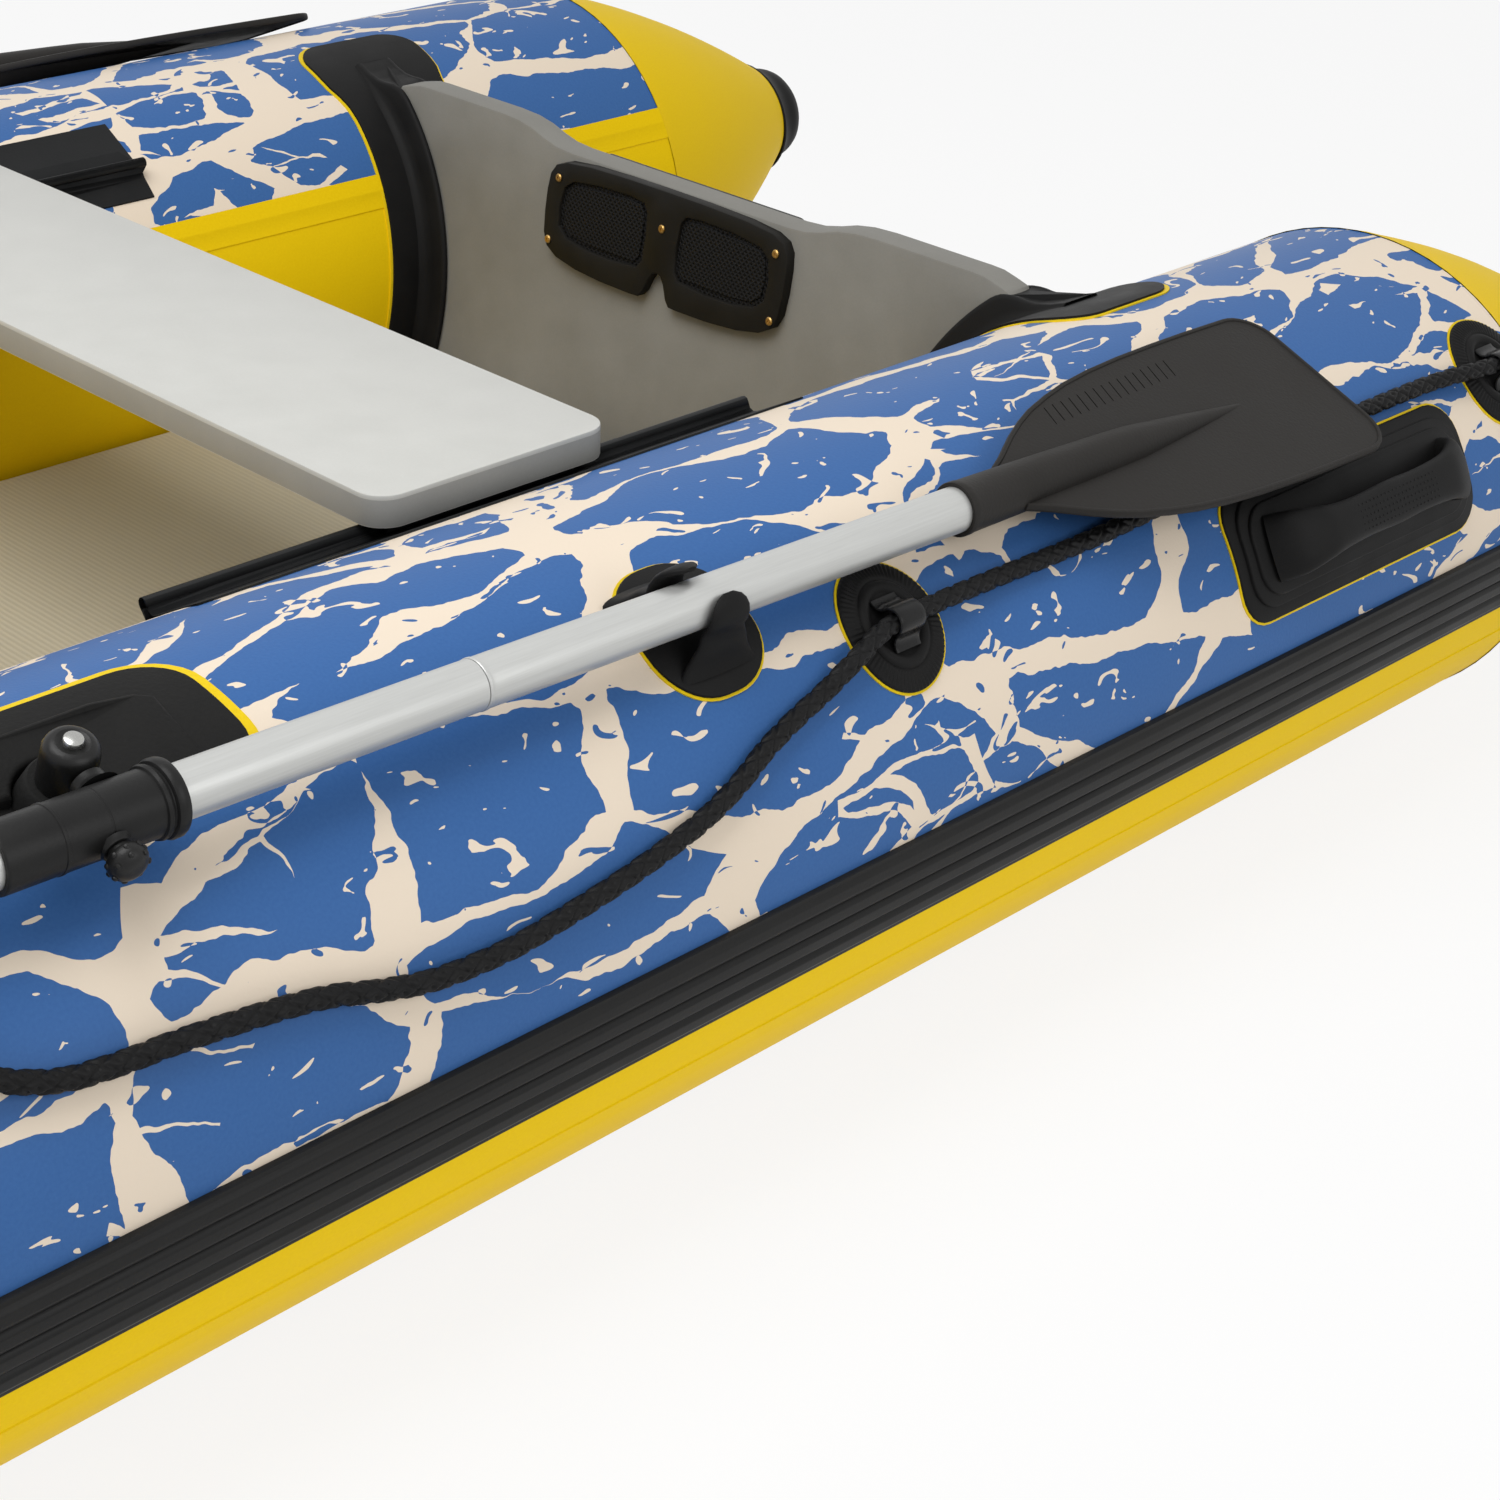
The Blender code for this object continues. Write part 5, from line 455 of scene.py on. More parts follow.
# Cone caps
# Moulded black rubber thimbles glued over the cones' ends, with a thin lip.
grainy, given, result = new_group("moulded_grain", [("Vector", "NodeSocketVector", None),
                                                    ("Fine", "NodeSocketFloat", 900.0),
                                                    ("Dark", "NodeSocketColor", (0.01, 0.01, 0.01, 1)),
                                                    ("Light", "NodeSocketColor", (0.02, 0.02, 0.02, 1)),
                                                    ("Smooth", "NodeSocketFloat", 0.4),
                                                    ("Rough", "NodeSocketFloat", 0.6)],
                                  [("Color", "NodeSocketColor"), ("Roughness", "NodeSocketFloat"),
                                   ("Height", "NodeSocketFloat")])
speck = noise(grainy, given.outputs[0], given.outputs[1], 3.0)
cloud = noise(grainy, given.outputs[0], 22.0, 4.0)
both = math_node(grainy, "MULTIPLY_ADD", cloud.outputs[0], 0.7,
                 math_node(grainy, "MULTIPLY", speck.outputs[0], 0.3))
tone = node(grainy, "ShaderNodeMapRange", {"Value": both, "From Min": 0.3, "From Max": 0.7})
hue = blend(grainy, tone.outputs[0], given.outputs[2], given.outputs[3])
gloss = node(grainy, "ShaderNodeMapRange", {"Value": cloud.outputs[0], "From Min": 0.3, "From Max": 0.7,
                                            "To Min": given.outputs[4], "To Max": given.outputs[5]})
grainy.links.new(hue, result.inputs[0])
grainy.links.new(gloss.outputs[0], result.inputs[1])
grainy.links.new(speck.outputs[0], result.inputs[2])


def moulded(name, dark, light, smooth, rough, fine=900.0, depth=0.0003, strength=0.35, specular=0.10,
            metallic=0.0):
    """A moulded or painted material with a fine grain, from one dark and one light tone."""
    made, tree, shader = new_material(name, specular)
    place = node(tree, "ShaderNodeTexCoord")
    grain = node(tree, "ShaderNodeGroup", {"Vector": place.outputs["Object"], "Fine": fine,
                                           "Dark": (*dark, 1), "Light": (*light, 1), "Smooth": smooth,
                                           "Rough": rough}, node_tree=grainy)
    tree.links.new(grain.outputs["Color"], shader.inputs["Base Color"])
    tree.links.new(grain.outputs["Roughness"], shader.inputs["Roughness"])
    set_bump(tree, shader, grain.outputs["Height"], strength, depth)
    shader.inputs["Metallic"].default_value = metallic
    return made


rubber = moulded("black_rubber", (0.0070, 0.0070, 0.0072), (0.0120, 0.0118, 0.0116), 0.46, 0.60)


def turned(profile, steps=48):
    """A solid of revolution about local X, closed where its (along, radius) points meet the axis."""
    bm = bmesh.new()
    chain = [bm.verts.new((along, radius, 0)) for along, radius in profile]
    edges = [bm.edges.new(pair) for pair in zip(chain, chain[1:])]
    bmesh.ops.spin(bm, geom=chain + edges, cent=(0, 0, 0), axis=(1, 0, 0), angle=2 * math.pi, steps=steps,
                   use_merge=True)
    bmesh.ops.remove_doubles(bm, verts=bm.verts[:], dist=1e-6)
    bmesh.ops.dissolve_degenerate(bm, edges=bm.edges[:], dist=1e-7)
    return face_outwards(bm)


def placed(bm, origin, along, across):
    """Turn a bmesh so that its local X and Y follow two directions, and move it to its place."""
    along = Vector(along).normalized()
    across = Vector(across)
    across = (across - along * across.dot(along)).normalized()
    third = along.cross(across)
    turn = Matrix((along, across, third)).transposed().to_4x4()
    bmesh.ops.transform(bm, matrix=Matrix.Translation(Vector(origin)) @ turn, verts=bm.verts[:])
    return bm


CAP_LIP = CONE_END_BEHIND - 0.020
cap_axis_foot = TUBE_RADIUS - CONE_RISE * CONE_SEAM_BEHIND
for name, side in SIDES.items():
    lip = cone_radius(CAP_LIP)
    profile = [(CAP_LIP, lip + 0.0004), (CAP_LIP, lip + 0.0026), (CAP_LIP + 0.002, lip + 0.0030),
               (CAP_LIP + 0.008, lip - 0.0022), (0.6615, 0.0558), (0.6670, 0.0536), (0.6720, 0.0528),
               (0.6770, 0.0522), (0.6822, 0.0505), (0.6875, 0.0477), (0.6920, 0.0436), (0.6954, 0.0382),
               (0.6980, 0.0305), (0.6994, 0.0190), (0.7000, 0.0)]
    foot = (side * TUBE_OFFSET, TRANSOM_Y, cap_axis_foot)
    bm = placed(turned(profile), foot, (0, -1, CONE_RISE), (0, 0, 1))
    piece(name + "_rubber_cap", bm, rubber, stands_for=[name + "_cone_cap"])

# Rubbing strake
# An extruded black rubber strip with four round ribs, glued along the tubes' widest line and round the
# bow, and tapered at its stern ends.
STRAKE_TOP = 5.0
STRAKE_BOTTOM = -12.0
STRAKE_ENDS = 0.610
STRAKE_RIBS = 4
STRAKE_TAPER = 0.035
strake_rubber = moulded("strake_rubber", (0.0085, 0.0085, 0.0086), (0.0140, 0.0138, 0.0134), 0.40, 0.52,
                        500.0, specular=0.16)


def strake_height(t):
    """Height of the strip's section at a share of its width: side walls, flat lips and ribs."""
    edge = min(t, 1 - t)
    if edge < 0.012:
        return edge / 0.012 * 0.0042
    if edge < 0.06:
        return 0.0042
    wave = abs(math.sin(math.pi * STRAKE_RIBS * (t - 0.06) / 0.88))
    return 0.0034 + 0.0031 * min(1.0, wave * 1.35) ** 0.6


shares = sorted(set([k / 120 for k in range(121)] + [0.006, 0.994]))
sweep = 2 * (STRAKE_ENDS + BOW_START_AHEAD + BOW_QUARTER)


def strake_place(s, t):
    """From the port stern round the bow to the starboard stern, and from the low edge to the high one."""
    ahead = -STRAKE_ENDS + sweep * s
    side = -1
    if ahead > BOW_START_AHEAD + 2 * BOW_QUARTER:
        side, ahead = 1, 2 * (BOW_START_AHEAD + BOW_QUARTER) - ahead
    share = shares[round(t * (len(shares) - 1))]
    from_end = min(s, 1 - s) * sweep
    taper = min(1.0, from_end / STRAKE_TAPER) ** 0.5
    angle = STRAKE_BOTTOM + (STRAKE_TOP - STRAKE_BOTTOM) * share
    return on_tube(side, ahead, angle, 0.0002 + strake_height(share) * taper)


bm = bent_grid(300, len(shares) - 1, strake_place, lambda s, t: (s * sweep, t * 0.06))
bmesh.ops.reverse_faces(face_outwards(bm), faces=bm.faces[:])
piece("ribbed_strake", bm, strake_rubber, stands_for=["rub_strake"], crease=60)

# Bottom
# A dark coated sheet slung between the tubes, with an inflated keel tube standing on it under the deck.
BOTTOM_LAP = 255.0
BOTTOM_EDGE = 240.0
BOTTOM_AFT = -0.027
BOTTOM_WALL = 0.0012
HANGING_SHARE = 0.8
bottom_cloth, tree, shader, place, weave = coated_fabric("bottom_fabric", 0.52, 0.6)
shade = blend(tree, weave.outputs["Tone"], (0.020, 0.021, 0.023), (0.034, 0.035, 0.037))
tree.links.new(shade, shader.inputs["Base Color"])


def bottom_place(s, t):
    """From the aft edge to the bow's tip, and from the port lap to the starboard one."""
    ahead = BOTTOM_AFT + (BOW_START_AHEAD + BOW_QUARTER * 0.995 - BOTTOM_AFT) * s
    side = -1 if t < 0.5 else 1
    across = abs(t - 0.5) * 2
    edge = on_tube(side, ahead, BOTTOM_EDGE, 0.0015)
    if across > HANGING_SHARE:
        share = (across - HANGING_SHARE) / 0.2
        return on_tube(side, ahead, BOTTOM_EDGE + (BOTTOM_LAP - BOTTOM_EDGE) * share, 0.0016)
    share = across / HANGING_SHARE
    risen = max(0.0, (edge.z - 0.0282) / BOW_RISE)
    middle = 0.0140 + BOW_RISE * risen
    flat = share ** 2.2
    return Vector((edge.x * share, edge.y, middle + (edge.z - middle) * flat))


bm = bent_grid(70, 50, bottom_place, lambda s, t: (s * 2.2, t * 1.2), closed=True)
face_outwards(bm)
thing = piece("bottom_sheet", bm, bottom_cloth, stands_for=["bottom_skin"])
wall = thing.modifiers.new("thickness", "SOLIDIFY")
wall.thickness = BOTTOM_WALL
wall.offset = 0.0
keel = [(0.10, 0.0), (0.10, 0.010), (0.115, 0.022), (0.15, 0.031), (0.19, 0.0328), (1.36, 0.0328),
        (1.40, 0.031), (1.435, 0.022), (1.45, 0.010), (1.45, 0.0)]
bm = placed(turned(keel, 32), (0, TRANSOM_Y, 0.0468), (0, 1, 0), (0, 0, 1))
piece("keel_air_tube", bm, bottom_cloth, slot="bottom_skin")

# Air deck
# A drop-stitch deck in pale sand fabric with a fine ribbed finish, wedged between the tubes, with round
# inflated edges.
DECK_TOP = 0.160
DECK_EDGE = 0.040
DECK_MIDDLE = DECK_TOP - DECK_EDGE
DECK_AFT_AHEAD = 0.074
sand, tree, shader = new_material("deck_fabric")
place = node(tree, "ShaderNodeTexCoord")
ribs = node(tree, "ShaderNodeTexWave", {"Vector": place.outputs["Object"], "Scale": 58.0,
                                        "Distortion": 0.25, "Detail": 1.0, "Detail Scale": 2.0},
            bands_direction="Y")
speck = noise(tree, place.outputs["Object"], 700.0)
cloud = noise(tree, place.outputs["Object"], 5.0, 3.0)
clouded = math_node(tree, "MULTIPLY", cloud.outputs[0], 0.45)
tone = math_node(tree, "MULTIPLY_ADD", ribs.outputs["Fac"], 0.55, clouded)
shade = blend(tree, tone, (0.43, 0.385, 0.285), (0.55, 0.495, 0.375))
tree.links.new(shade, shader.inputs["Base Color"])
speckled = math_node(tree, "MULTIPLY", speck.outputs[0], 0.3)
height = math_node(tree, "MULTIPLY_ADD", ribs.outputs["Fac"], 0.7, speckled)
set_bump(tree, shader, height, 0.5, 0.0008)
shader.inputs["Roughness"].default_value = 0.62

drop = TUBE_RADIUS - DECK_MIDDLE
inset = math.sqrt((TUBE_RADIUS + DECK_EDGE + 0.001) ** 2 - drop ** 2)
rim = [(TUBE_OFFSET - inset, TRANSOM_Y + DECK_AFT_AHEAD), (TUBE_OFFSET - inset, BOW_START_Y)]
for k in range(1, 17):
    centre, outward, _ = tube_frame(1, BOW_START_AHEAD + BOW_QUARTER * k / 16)
    spot = centre - outward * inset
    rim.append((max(0.0, spot.x), spot.y))


def deck_place(s, t):
    """Round the deck's edge from top to bottom: s runs round the outline, t over the edge."""
    whole = rim + [(-x, y) for x, y in reversed(rim[:-1])]
    count = len(whole) - 1
    k = round(s * count)
    x, y = whole[k]
    before, after = Vector(whole[max(0, k - 1)]), Vector(whole[min(count, k + 1)])
    if k in (0, count):
        out = Vector((math.copysign(0.7, x), -0.7))
    elif k in (1, count - 1):
        out = Vector((math.copysign(1.0, x), 0.0))
    else:
        way = (after - before).normalized()
        out = Vector((way.y, -way.x))
    turn = math.pi * (0.5 - t)
    reach = DECK_EDGE * math.cos(turn)
    return Vector((x + out.x * reach, y + out.y * reach, DECK_MIDDLE + DECK_EDGE * math.sin(turn)))


count = 2 * len(rim) - 2
bm = bent_grid(count, 14, deck_place, lambda s, t: (s, t))
loops = [edge for edge in bm.edges if edge.is_boundary]
ends = [edge for edge in loops if all(v.co.y < TRANSOM_Y + 0.08 for v in edge.verts)]
port_end = [edge for edge in ends if edge.verts[0].co.x < -0.2 and edge.verts[1].co.x < -0.2]
starboard_end = [edge for edge in ends if edge.verts[0].co.x > 0.2 and edge.verts[1].co.x > 0.2]
bmesh.ops.bridge_loops(bm, edges=port_end + starboard_end)
for level in (DECK_TOP, DECK_TOP - 2 * DECK_EDGE):
    open_edges = [edge for edge in bm.edges if edge.is_boundary
                  and all(abs(v.co.z - level) < 1e-4 for v in edge.verts)]
    bmesh.ops.contextual_create(bm, geom=open_edges)
face_outwards(bm)
piece("ribbed_deck", bm, sand, stands_for=["air_deck"])

# Transom
# A plywood board painted light grey, raked aft, recessed in the middle for an outboard motor, with its
# edges eased.
RAKE_SLOPE = math.tan(math.radians(9.1))
BOARD_THICKNESS = 0.028
BOARD_AHEAD = -0.0001
BOARD_Y = TRANSOM_Y + BOARD_AHEAD
BOARD_EDGE_RADIUS = 0.2136
grey_paint = moulded("grey_paint", (0.225, 0.219, 0.198), (0.260, 0.254, 0.232), 0.50, 0.60, 600.0, 0.0002,
                     0.3)


def plate(corners, thickness, radius=0.0, steps=6):
    """A flat plate: corners rounded alike, then extruded upwards."""
    bm = bmesh.new()
    bm.faces.new([bm.verts.new((u, v, 0)) for u, v in corners])
    if radius:
        bmesh.ops.bevel(bm, geom=bm.verts[:], offset=radius, offset_type="OFFSET", segments=steps,
                        profile=0.5, affect="VERTICES", material=-1)
    raise_faces(bm, bm.faces[:], thickness)
    return face_outwards(bm)


def raise_faces(bm, faces, height):
    """Extrude faces upwards, and return the moved ones."""
    made = bmesh.ops.extrude_face_region(bm, geom=faces)["geom"]
    bmesh.ops.translate(bm, verts=[v for v in made if isinstance(v, bmesh.types.BMVert)], vec=(0, 0, height))
    return [f for f in made if isinstance(f, bmesh.types.BMFace)]


def soften(bm, width, segments=2, least=40.0, where=lambda edge: True):
    """Bevel the edges whose faces meet at more than an angle."""
    sharp = [edge for edge in bm.edges if len(edge.link_faces) == 2 and where(edge)
             and edge.calc_face_angle(0) > math.radians(least)]
    bmesh.ops.bevel(bm, geom=sharp, offset=width, offset_type="OFFSET", segments=segments, profile=0.5,
                    affect="EDGES", material=-1, clamp_overlap=True)
    return bm


def above(height):
    """Chooses the edges that lie over a height."""
    return lambda edge: all(v.co.z > height for v in edge.verts)


def rake(bm):
    """Lean a transom piece aft with height."""
    for vertex in bm.verts:
        vertex.co.y -= (vertex.co.z - TUBE_RADIUS) * RAKE_SLOPE
    return bm


def arc(centre, radius, first, last, steps):
    """Points of an arc, for an outline's large curves."""
    turns = [math.radians(first + (last - first) * k / steps) for k in range(steps + 1)]
    return [(centre[0] + radius * math.cos(a), centre[1] + radius * math.sin(a)) for a in turns]


half = [(0.0, 0.394), (0.138, 0.394)]
half += [(0.160, 0.3955), (0.178, 0.3995), (0.195, 0.4045), (0.215, 0.4078), (0.240, 0.409)]
half += [(0.345, 0.409), (0.358, 0.4085), (0.372, 0.4055), (0.382, 0.4030), (0.3856, 0.4019)]
half += [(TUBE_OFFSET - BOARD_EDGE_RADIUS * math.cos(math.radians(180 - a)),
          TUBE_RADIUS + BOARD_EDGE_RADIUS * math.sin(math.radians(a))) for a in even_angles(126, 232, 5.0)]
half += [(0.060, 0.0165)]
outline = half + [(-u, v) for u, v in reversed(half[1:])]
bm = plate(outline, BOARD_THICKNESS)
soften(bm, 0.0022, 2, 60.0)
placed(bm, (0, BOARD_Y + BOARD_THICKNESS / 2, 0), (1, 0, 0), (0, 0, 1))
piece("painted_transom", rake(bm), grey_paint, stands_for=["transom_board"])

# Transom holders
# Moulded rubber channels glued to the tubes. Two cheeks grip the board's edge, a web joins them over its
# corner, and a round lobe spreads the load on the crown. A yellow layer shows round the glued edge.
HOLDER_HALF_WIDTH = 0.068
STRIP_HALF_WIDTH = 0.059
HOLDER_CORNER = 0.034
HOLDER_FOOT = 0.0024
trim_yellow, tree, shader = new_material("yellow_edge", 0.2)
place = node(tree, "ShaderNodeTexCoord")
speck = noise(tree, place.outputs["Object"], 300.0)
shade = blend(tree, speck.outputs[0], (0.78, 0.53, 0.003), (0.90, 0.66, 0.010))
tree.links.new(shade, shader.inputs["Base Color"])
shader.inputs["Roughness"].default_value = 0.5


def wrap(bm, side, lean=False, step=0.010):
    """Lay a flat piece on a tube: its x is ahead, its y the arc from outboard, its z the lift."""
    ys = [v.co.y for v in bm.verts]
    xs = [v.co.x for v in bm.verts]
    cuts = [((0, k * step, 0), (0, 1, 0))
            for k in range(math.floor(min(ys) / step) + 1, math.ceil(max(ys) / step))]
    if max(xs) > BOW_START_AHEAD:
        cuts += [((k * 0.02, 0, 0), (1, 0, 0))
                 for k in range(math.floor(min(xs) / 0.02) + 1, math.ceil(max(xs) / 0.02))]
    for point, normal in cuts:
        bmesh.ops.bisect_plane(bm, geom=bm.verts[:] + bm.edges[:] + bm.faces[:], dist=1e-6, plane_co=point,
                               plane_no=normal)
    for vertex in bm.verts:
        vertex.co = on_tube(side, vertex.co.x, math.degrees(vertex.co.y / TUBE_RADIUS), vertex.co.z)
    if side < 0:
        bmesh.ops.reverse_faces(bm, faces=bm.faces[:])
    return rake(bm) if lean else bm


def arc_length(angle):
    """Length round the tube from outboard to an angle."""
    return math.radians(angle) * TUBE_RADIUS


def grown(corners, by):
    """An outline pushed outwards from its middle."""
    middle = sum((Vector(c) for c in corners), Vector((0, 0))) / len(corners)
    return [tuple(middle + (Vector(c) - middle) * (1 + by / (Vector(c) - middle).length)) for c in corners]


def holder_outline(grow=0.0):
    """Outline of a holder's plate on the flat: a lobe on the crown and a strip down the inboard side."""
    top, lobe, bottom = arc_length(98) - grow, arc_length(114), arc_length(232)
    wide, narrow = HOLDER_HALF_WIDTH + grow, STRIP_HALF_WIDTH + grow
    right = arc((wide - HOLDER_CORNER, top + HOLDER_CORNER), HOLDER_CORNER, -90, 0, 8)
    right += [(wide, lobe - 0.004), (wide - 0.001, lobe + 0.010), (narrow + 0.004, lobe + 0.024),
              (narrow + 0.001, lobe + 0.038), (narrow, lobe + 0.055), (narrow, bottom)]
    return [(BOARD_AHEAD + u, v) for u, v in right + [(-u, v) for u, v in reversed(right)]]


CHEEK_TOP = 111.0
CHEEK_FULL = 129.0
CHEEK_BOTTOM = 232.0
CHEEK_HEIGHT = 0.0276
WEB_END = 125.9
CHEEK_FALL = ((0.0, 0.11), (0.25, 0.15), (0.45, 0.28), (0.58, 0.45), (0.72, 0.72), (0.87, 0.93), (1.0, 1.0))


def cheek_share(angle):
    """Share of the cheeks' full height at an angle, which falls in a hollow curve towards the crown."""
    way = min(1.0, max(0.0, (angle - CHEEK_TOP) / (CHEEK_FULL - CHEEK_TOP)))
    for (low, from_share), (high, to_share) in zip(CHEEK_FALL, CHEEK_FALL[1:]):
        if way <= high:
            return from_share + (to_share - from_share) * (way - low) / (high - low)
    return 1.0


def cheek_place(side, sense):
    """Maps shares to a cheek's surface: s runs down the tube, t over the section."""
    section = [(0.0144, 0.0020), (0.0144, 0.0276), (0.0152, 0.0294), (0.0172, 0.0300), (0.0191, 0.0291),
               (0.0201, 0.0258), (0.0207, 0.0150), (0.0221, 0.0078), (0.0250, 0.0044), (0.0290, 0.0028)]

    def place(s, t):
        angle = CHEEK_TOP + (CHEEK_BOTTOM - CHEEK_TOP) * s
        end = math.sin(min(1.0, (1 - s) / 0.03) * math.pi / 2)
        off, lift = section[round(t * (len(section) - 1))]
        height = HOLDER_FOOT + (lift - HOLDER_FOOT) * cheek_share(angle) * (0.2 + 0.8 * end)
        return on_tube(side, BOARD_AHEAD + sense * off, angle, height)

    return place, len(section) - 1


def web_place(side):
    """Maps shares to the web that joins the cheeks over the board's corner."""
    section = [(-0.0150, 0.05), (-0.0150, 0.96), (-0.0130, 0.925), (-0.0080, 0.90), (0.0, 0.89),
               (0.0080, 0.90), (0.0130, 0.925), (0.0150, 0.96), (0.0150, 0.05)]

    def place(s, t):
        angle = CHEEK_TOP + (WEB_END - CHEEK_TOP) * s
        off, level = section[round(t * (len(section) - 1))]
        height = HOLDER_FOOT + CHEEK_HEIGHT * cheek_share(angle) * level
        return on_tube(side, BOARD_AHEAD + off, angle, height)

    return place, len(section) - 1


for name, side in SIDES.items():
    bm = wrap(plate(holder_outline(), 0.003), side, True)
    piece(name + "_holder_plate", bm, rubber, stands_for=[name + "_transom_holder"])
    bm = wrap(plate(holder_outline(0.003), 0.0011), side, True)
    piece(name + "_holder_edge", bm, trim_yellow, slot=name + "_transom_holder")
    parts = [("cheek_fore", 90, *cheek_place(side, 1)), ("cheek_aft", 90, *cheek_place(side, -1)),
             ("web", 24, *web_place(side))]
    for label, count, place, rows in parts:
        piece("_".join((name, "holder", label)), rake(closed_strip(count, rows, place)), rubber,
              slot=name + "_transom_holder", crease=50)

# Motor pads
# Moulded black plastic. The inner one has two recessed windows with a raised grid and five brass screws,
# and the outer one stands a little over the recess.
PAD_DEPTH = 0.010
WINDOW_DEPTH = 0.0068
GRID_DEPTH = 0.0082
BOARD_GAP = 0.0003
pad_plastic = moulded("pad_plastic", (0.0090, 0.0084, 0.0072), (0.0140, 0.0130, 0.0110), 0.40, 0.55, 800.0)
window, tree, shader = new_material("window_grid", 0.06)
place = node(tree, "ShaderNodeTexCoord")
turn = node(tree, "ShaderNodeMapping", {"Vector": place.outputs["Object"],
                                        "Rotation": (0, math.radians(45), 0)})
lines_a = node(tree, "ShaderNodeTexWave", {"Vector": turn.outputs[0], "Scale": 78.0}, bands_direction="X")
lines_b = node(tree, "ShaderNodeTexWave", {"Vector": turn.outputs[0], "Scale": 78.0}, bands_direction="Z")
lines = math_node(tree, "MAXIMUM", lines_a.outputs["Fac"], lines_b.outputs["Fac"])
shade = blend(tree, lines, (0.004, 0.004, 0.004), (0.013, 0.013, 0.0135))
tree.links.new(shade, shader.inputs["Base Color"])
set_bump(tree, shader, lines, 0.8, 0.0012)
shader.inputs["Roughness"].default_value = 0.45
brass = moulded("brass", (0.30, 0.17, 0.05), (0.55, 0.36, 0.13), 0.28, 0.42, metallic=1.0)

PAD_HALF = [(0.0, 0.3195), (0.005, 0.3180), (0.010, 0.3110), (0.015, 0.2990), (0.020, 0.2935),
            (0.030, 0.2930), (0.070, 0.2935), (0.105, 0.2960), (0.132, 0.3010), (0.146, 0.3085),
            (0.152, 0.3200),
            (0.154, 0.3400), (0.154, 0.3600), (0.152, 0.3750), (0.146, 0.3835), (0.132, 0.3885),
            (0.100, 0.3915), (0.050, 0.3928), (0.0, 0.3930)]
WINDOW = [(0.027, 0.3190), (0.060, 0.3165), (0.095, 0.3170), (0.122, 0.3215), (0.133, 0.3300),
          (0.135, 0.3480), (0.131, 0.3660), (0.120, 0.3735), (0.085, 0.3775), (0.045, 0.3785),
          (0.027, 0.3765), (0.022, 0.3700), (0.020, 0.3480), (0.021, 0.3260)]


def on_board(bm, sense=1):
    """Stand a flat piece on the board's fore face, or on its aft face."""
    face = BOARD_Y + sense * BOARD_THICKNESS / 2 + sense * BOARD_GAP
    placed(bm, (0, face, 0), (1, 0, 0), (0, 0, 1))
    if sense > 0:
        for vertex in bm.verts:
            vertex.co.y = 2 * face - vertex.co.y
        face_outwards(bm)
    return rake(bm)


def filled(loops, thickness):
    """A plate with holes: outlines filled between, then given depth."""
    bm = bmesh.new()
    edges = []
    for points in loops:
        chain = [bm.verts.new((u, v, 0)) for u, v in points]
        edges += [bm.edges.new((a, b)) for a, b in zip(chain, chain[1:] + chain[:1])]
    bmesh.ops.triangle_fill(bm, edges=edges, use_beauty=True, use_dissolve=False)
    raise_faces(bm, bm.faces[:], thickness)
    return face_outwards(bm)


outline = PAD_HALF[:-1] + [(-u, v) for u, v in reversed(PAD_HALF[1:])]
bm = filled((outline, WINDOW, [(-u, v) for u, v in WINDOW]), PAD_DEPTH)
soften(bm, 0.0014, 2, 60.0, above(0.005))
piece("goggle_pad", on_board(bm), pad_plastic, stands_for=["inner_motor_pad"])
for name, sense in SIDES.items():
    mirrored = [(sense * u, v) for u, v in WINDOW]
    bm = plate(grown(mirrored, 0.002), WINDOW_DEPTH)
    piece(name + "_pad_window", on_board(bm), window, slot="inner_motor_pad")
    bm = soften(plate(grown(mirrored, -0.0055), GRID_DEPTH), 0.0006, 1, 60.0, above(0.005))
    piece(name + "_pad_grid", on_board(bm), window, slot="inner_motor_pad")

screw_places = [(0, 0.360), (-0.1395, 0.373), (0.1395, 0.373), (-0.1440, 0.315), (0.1440, 0.315)]
for k, (u, v) in enumerate(screw_places):
    head = turned([(0.0, 0.0), (0.0, 0.0038), (0.0012, 0.0038), (0.0020, 0.0028), (0.0020, 0.0010),
                   (0.0012, 0.0008), (0.0012, 0.0)], 20)
    spot = (u, BOARD_Y + BOARD_THICKNESS / 2 + (PAD_DEPTH + BOARD_GAP) - (v - TUBE_RADIUS) * RAKE_SLOPE, v)
    piece("pad_screw_%d" % (k + 1), placed(head, spot, (0, 1, RAKE_SLOPE), (1, 0, 0)), brass,
          slot="inner_motor_pad")

bm = plate([(-0.132, 0.221), (0.132, 0.221), (0.132, 0.391), (-0.132, 0.391)], 0.009, 0.012)
soften(bm, 0.0015, 2, 60.0)
piece("outer_plate", on_board(bm, -1), pad_plastic, stands_for=["outer_motor_pad"])

# Seat board
# A painted laminated board that lies across the tubes, with round corners, an eased edge and a fine line
# where the top sheet meets the core.
SEAT_AHEAD = 0.551
SEAT_TOP = 0.415
SEAT_THICKNESS = 0.024
SEAT_HALF_LENGTH = 0.4105
SEAT_HALF_WIDTH = 0.106
SEAT_CORNER = 0.022
CORE_TOP = SEAT_THICKNESS - 0.0035
seat_paint = moulded("seat_paint", (0.585, 0.585, 0.555), (0.635, 0.635, 0.605), 0.38, 0.50, 700.0, 0.0002,
                     0.3)
seat_edge = moulded("seat_edge", (0.40, 0.40, 0.385), (0.46, 0.46, 0.44), 0.45, 0.55, 700.0, 0.0002, 0.3)
corners = [(sx * SEAT_HALF_LENGTH, TRANSOM_Y + SEAT_AHEAD + sy * SEAT_HALF_WIDTH)
           for sx, sy in ((-1, -1), (1, -1), (1, 1), (-1, 1))]
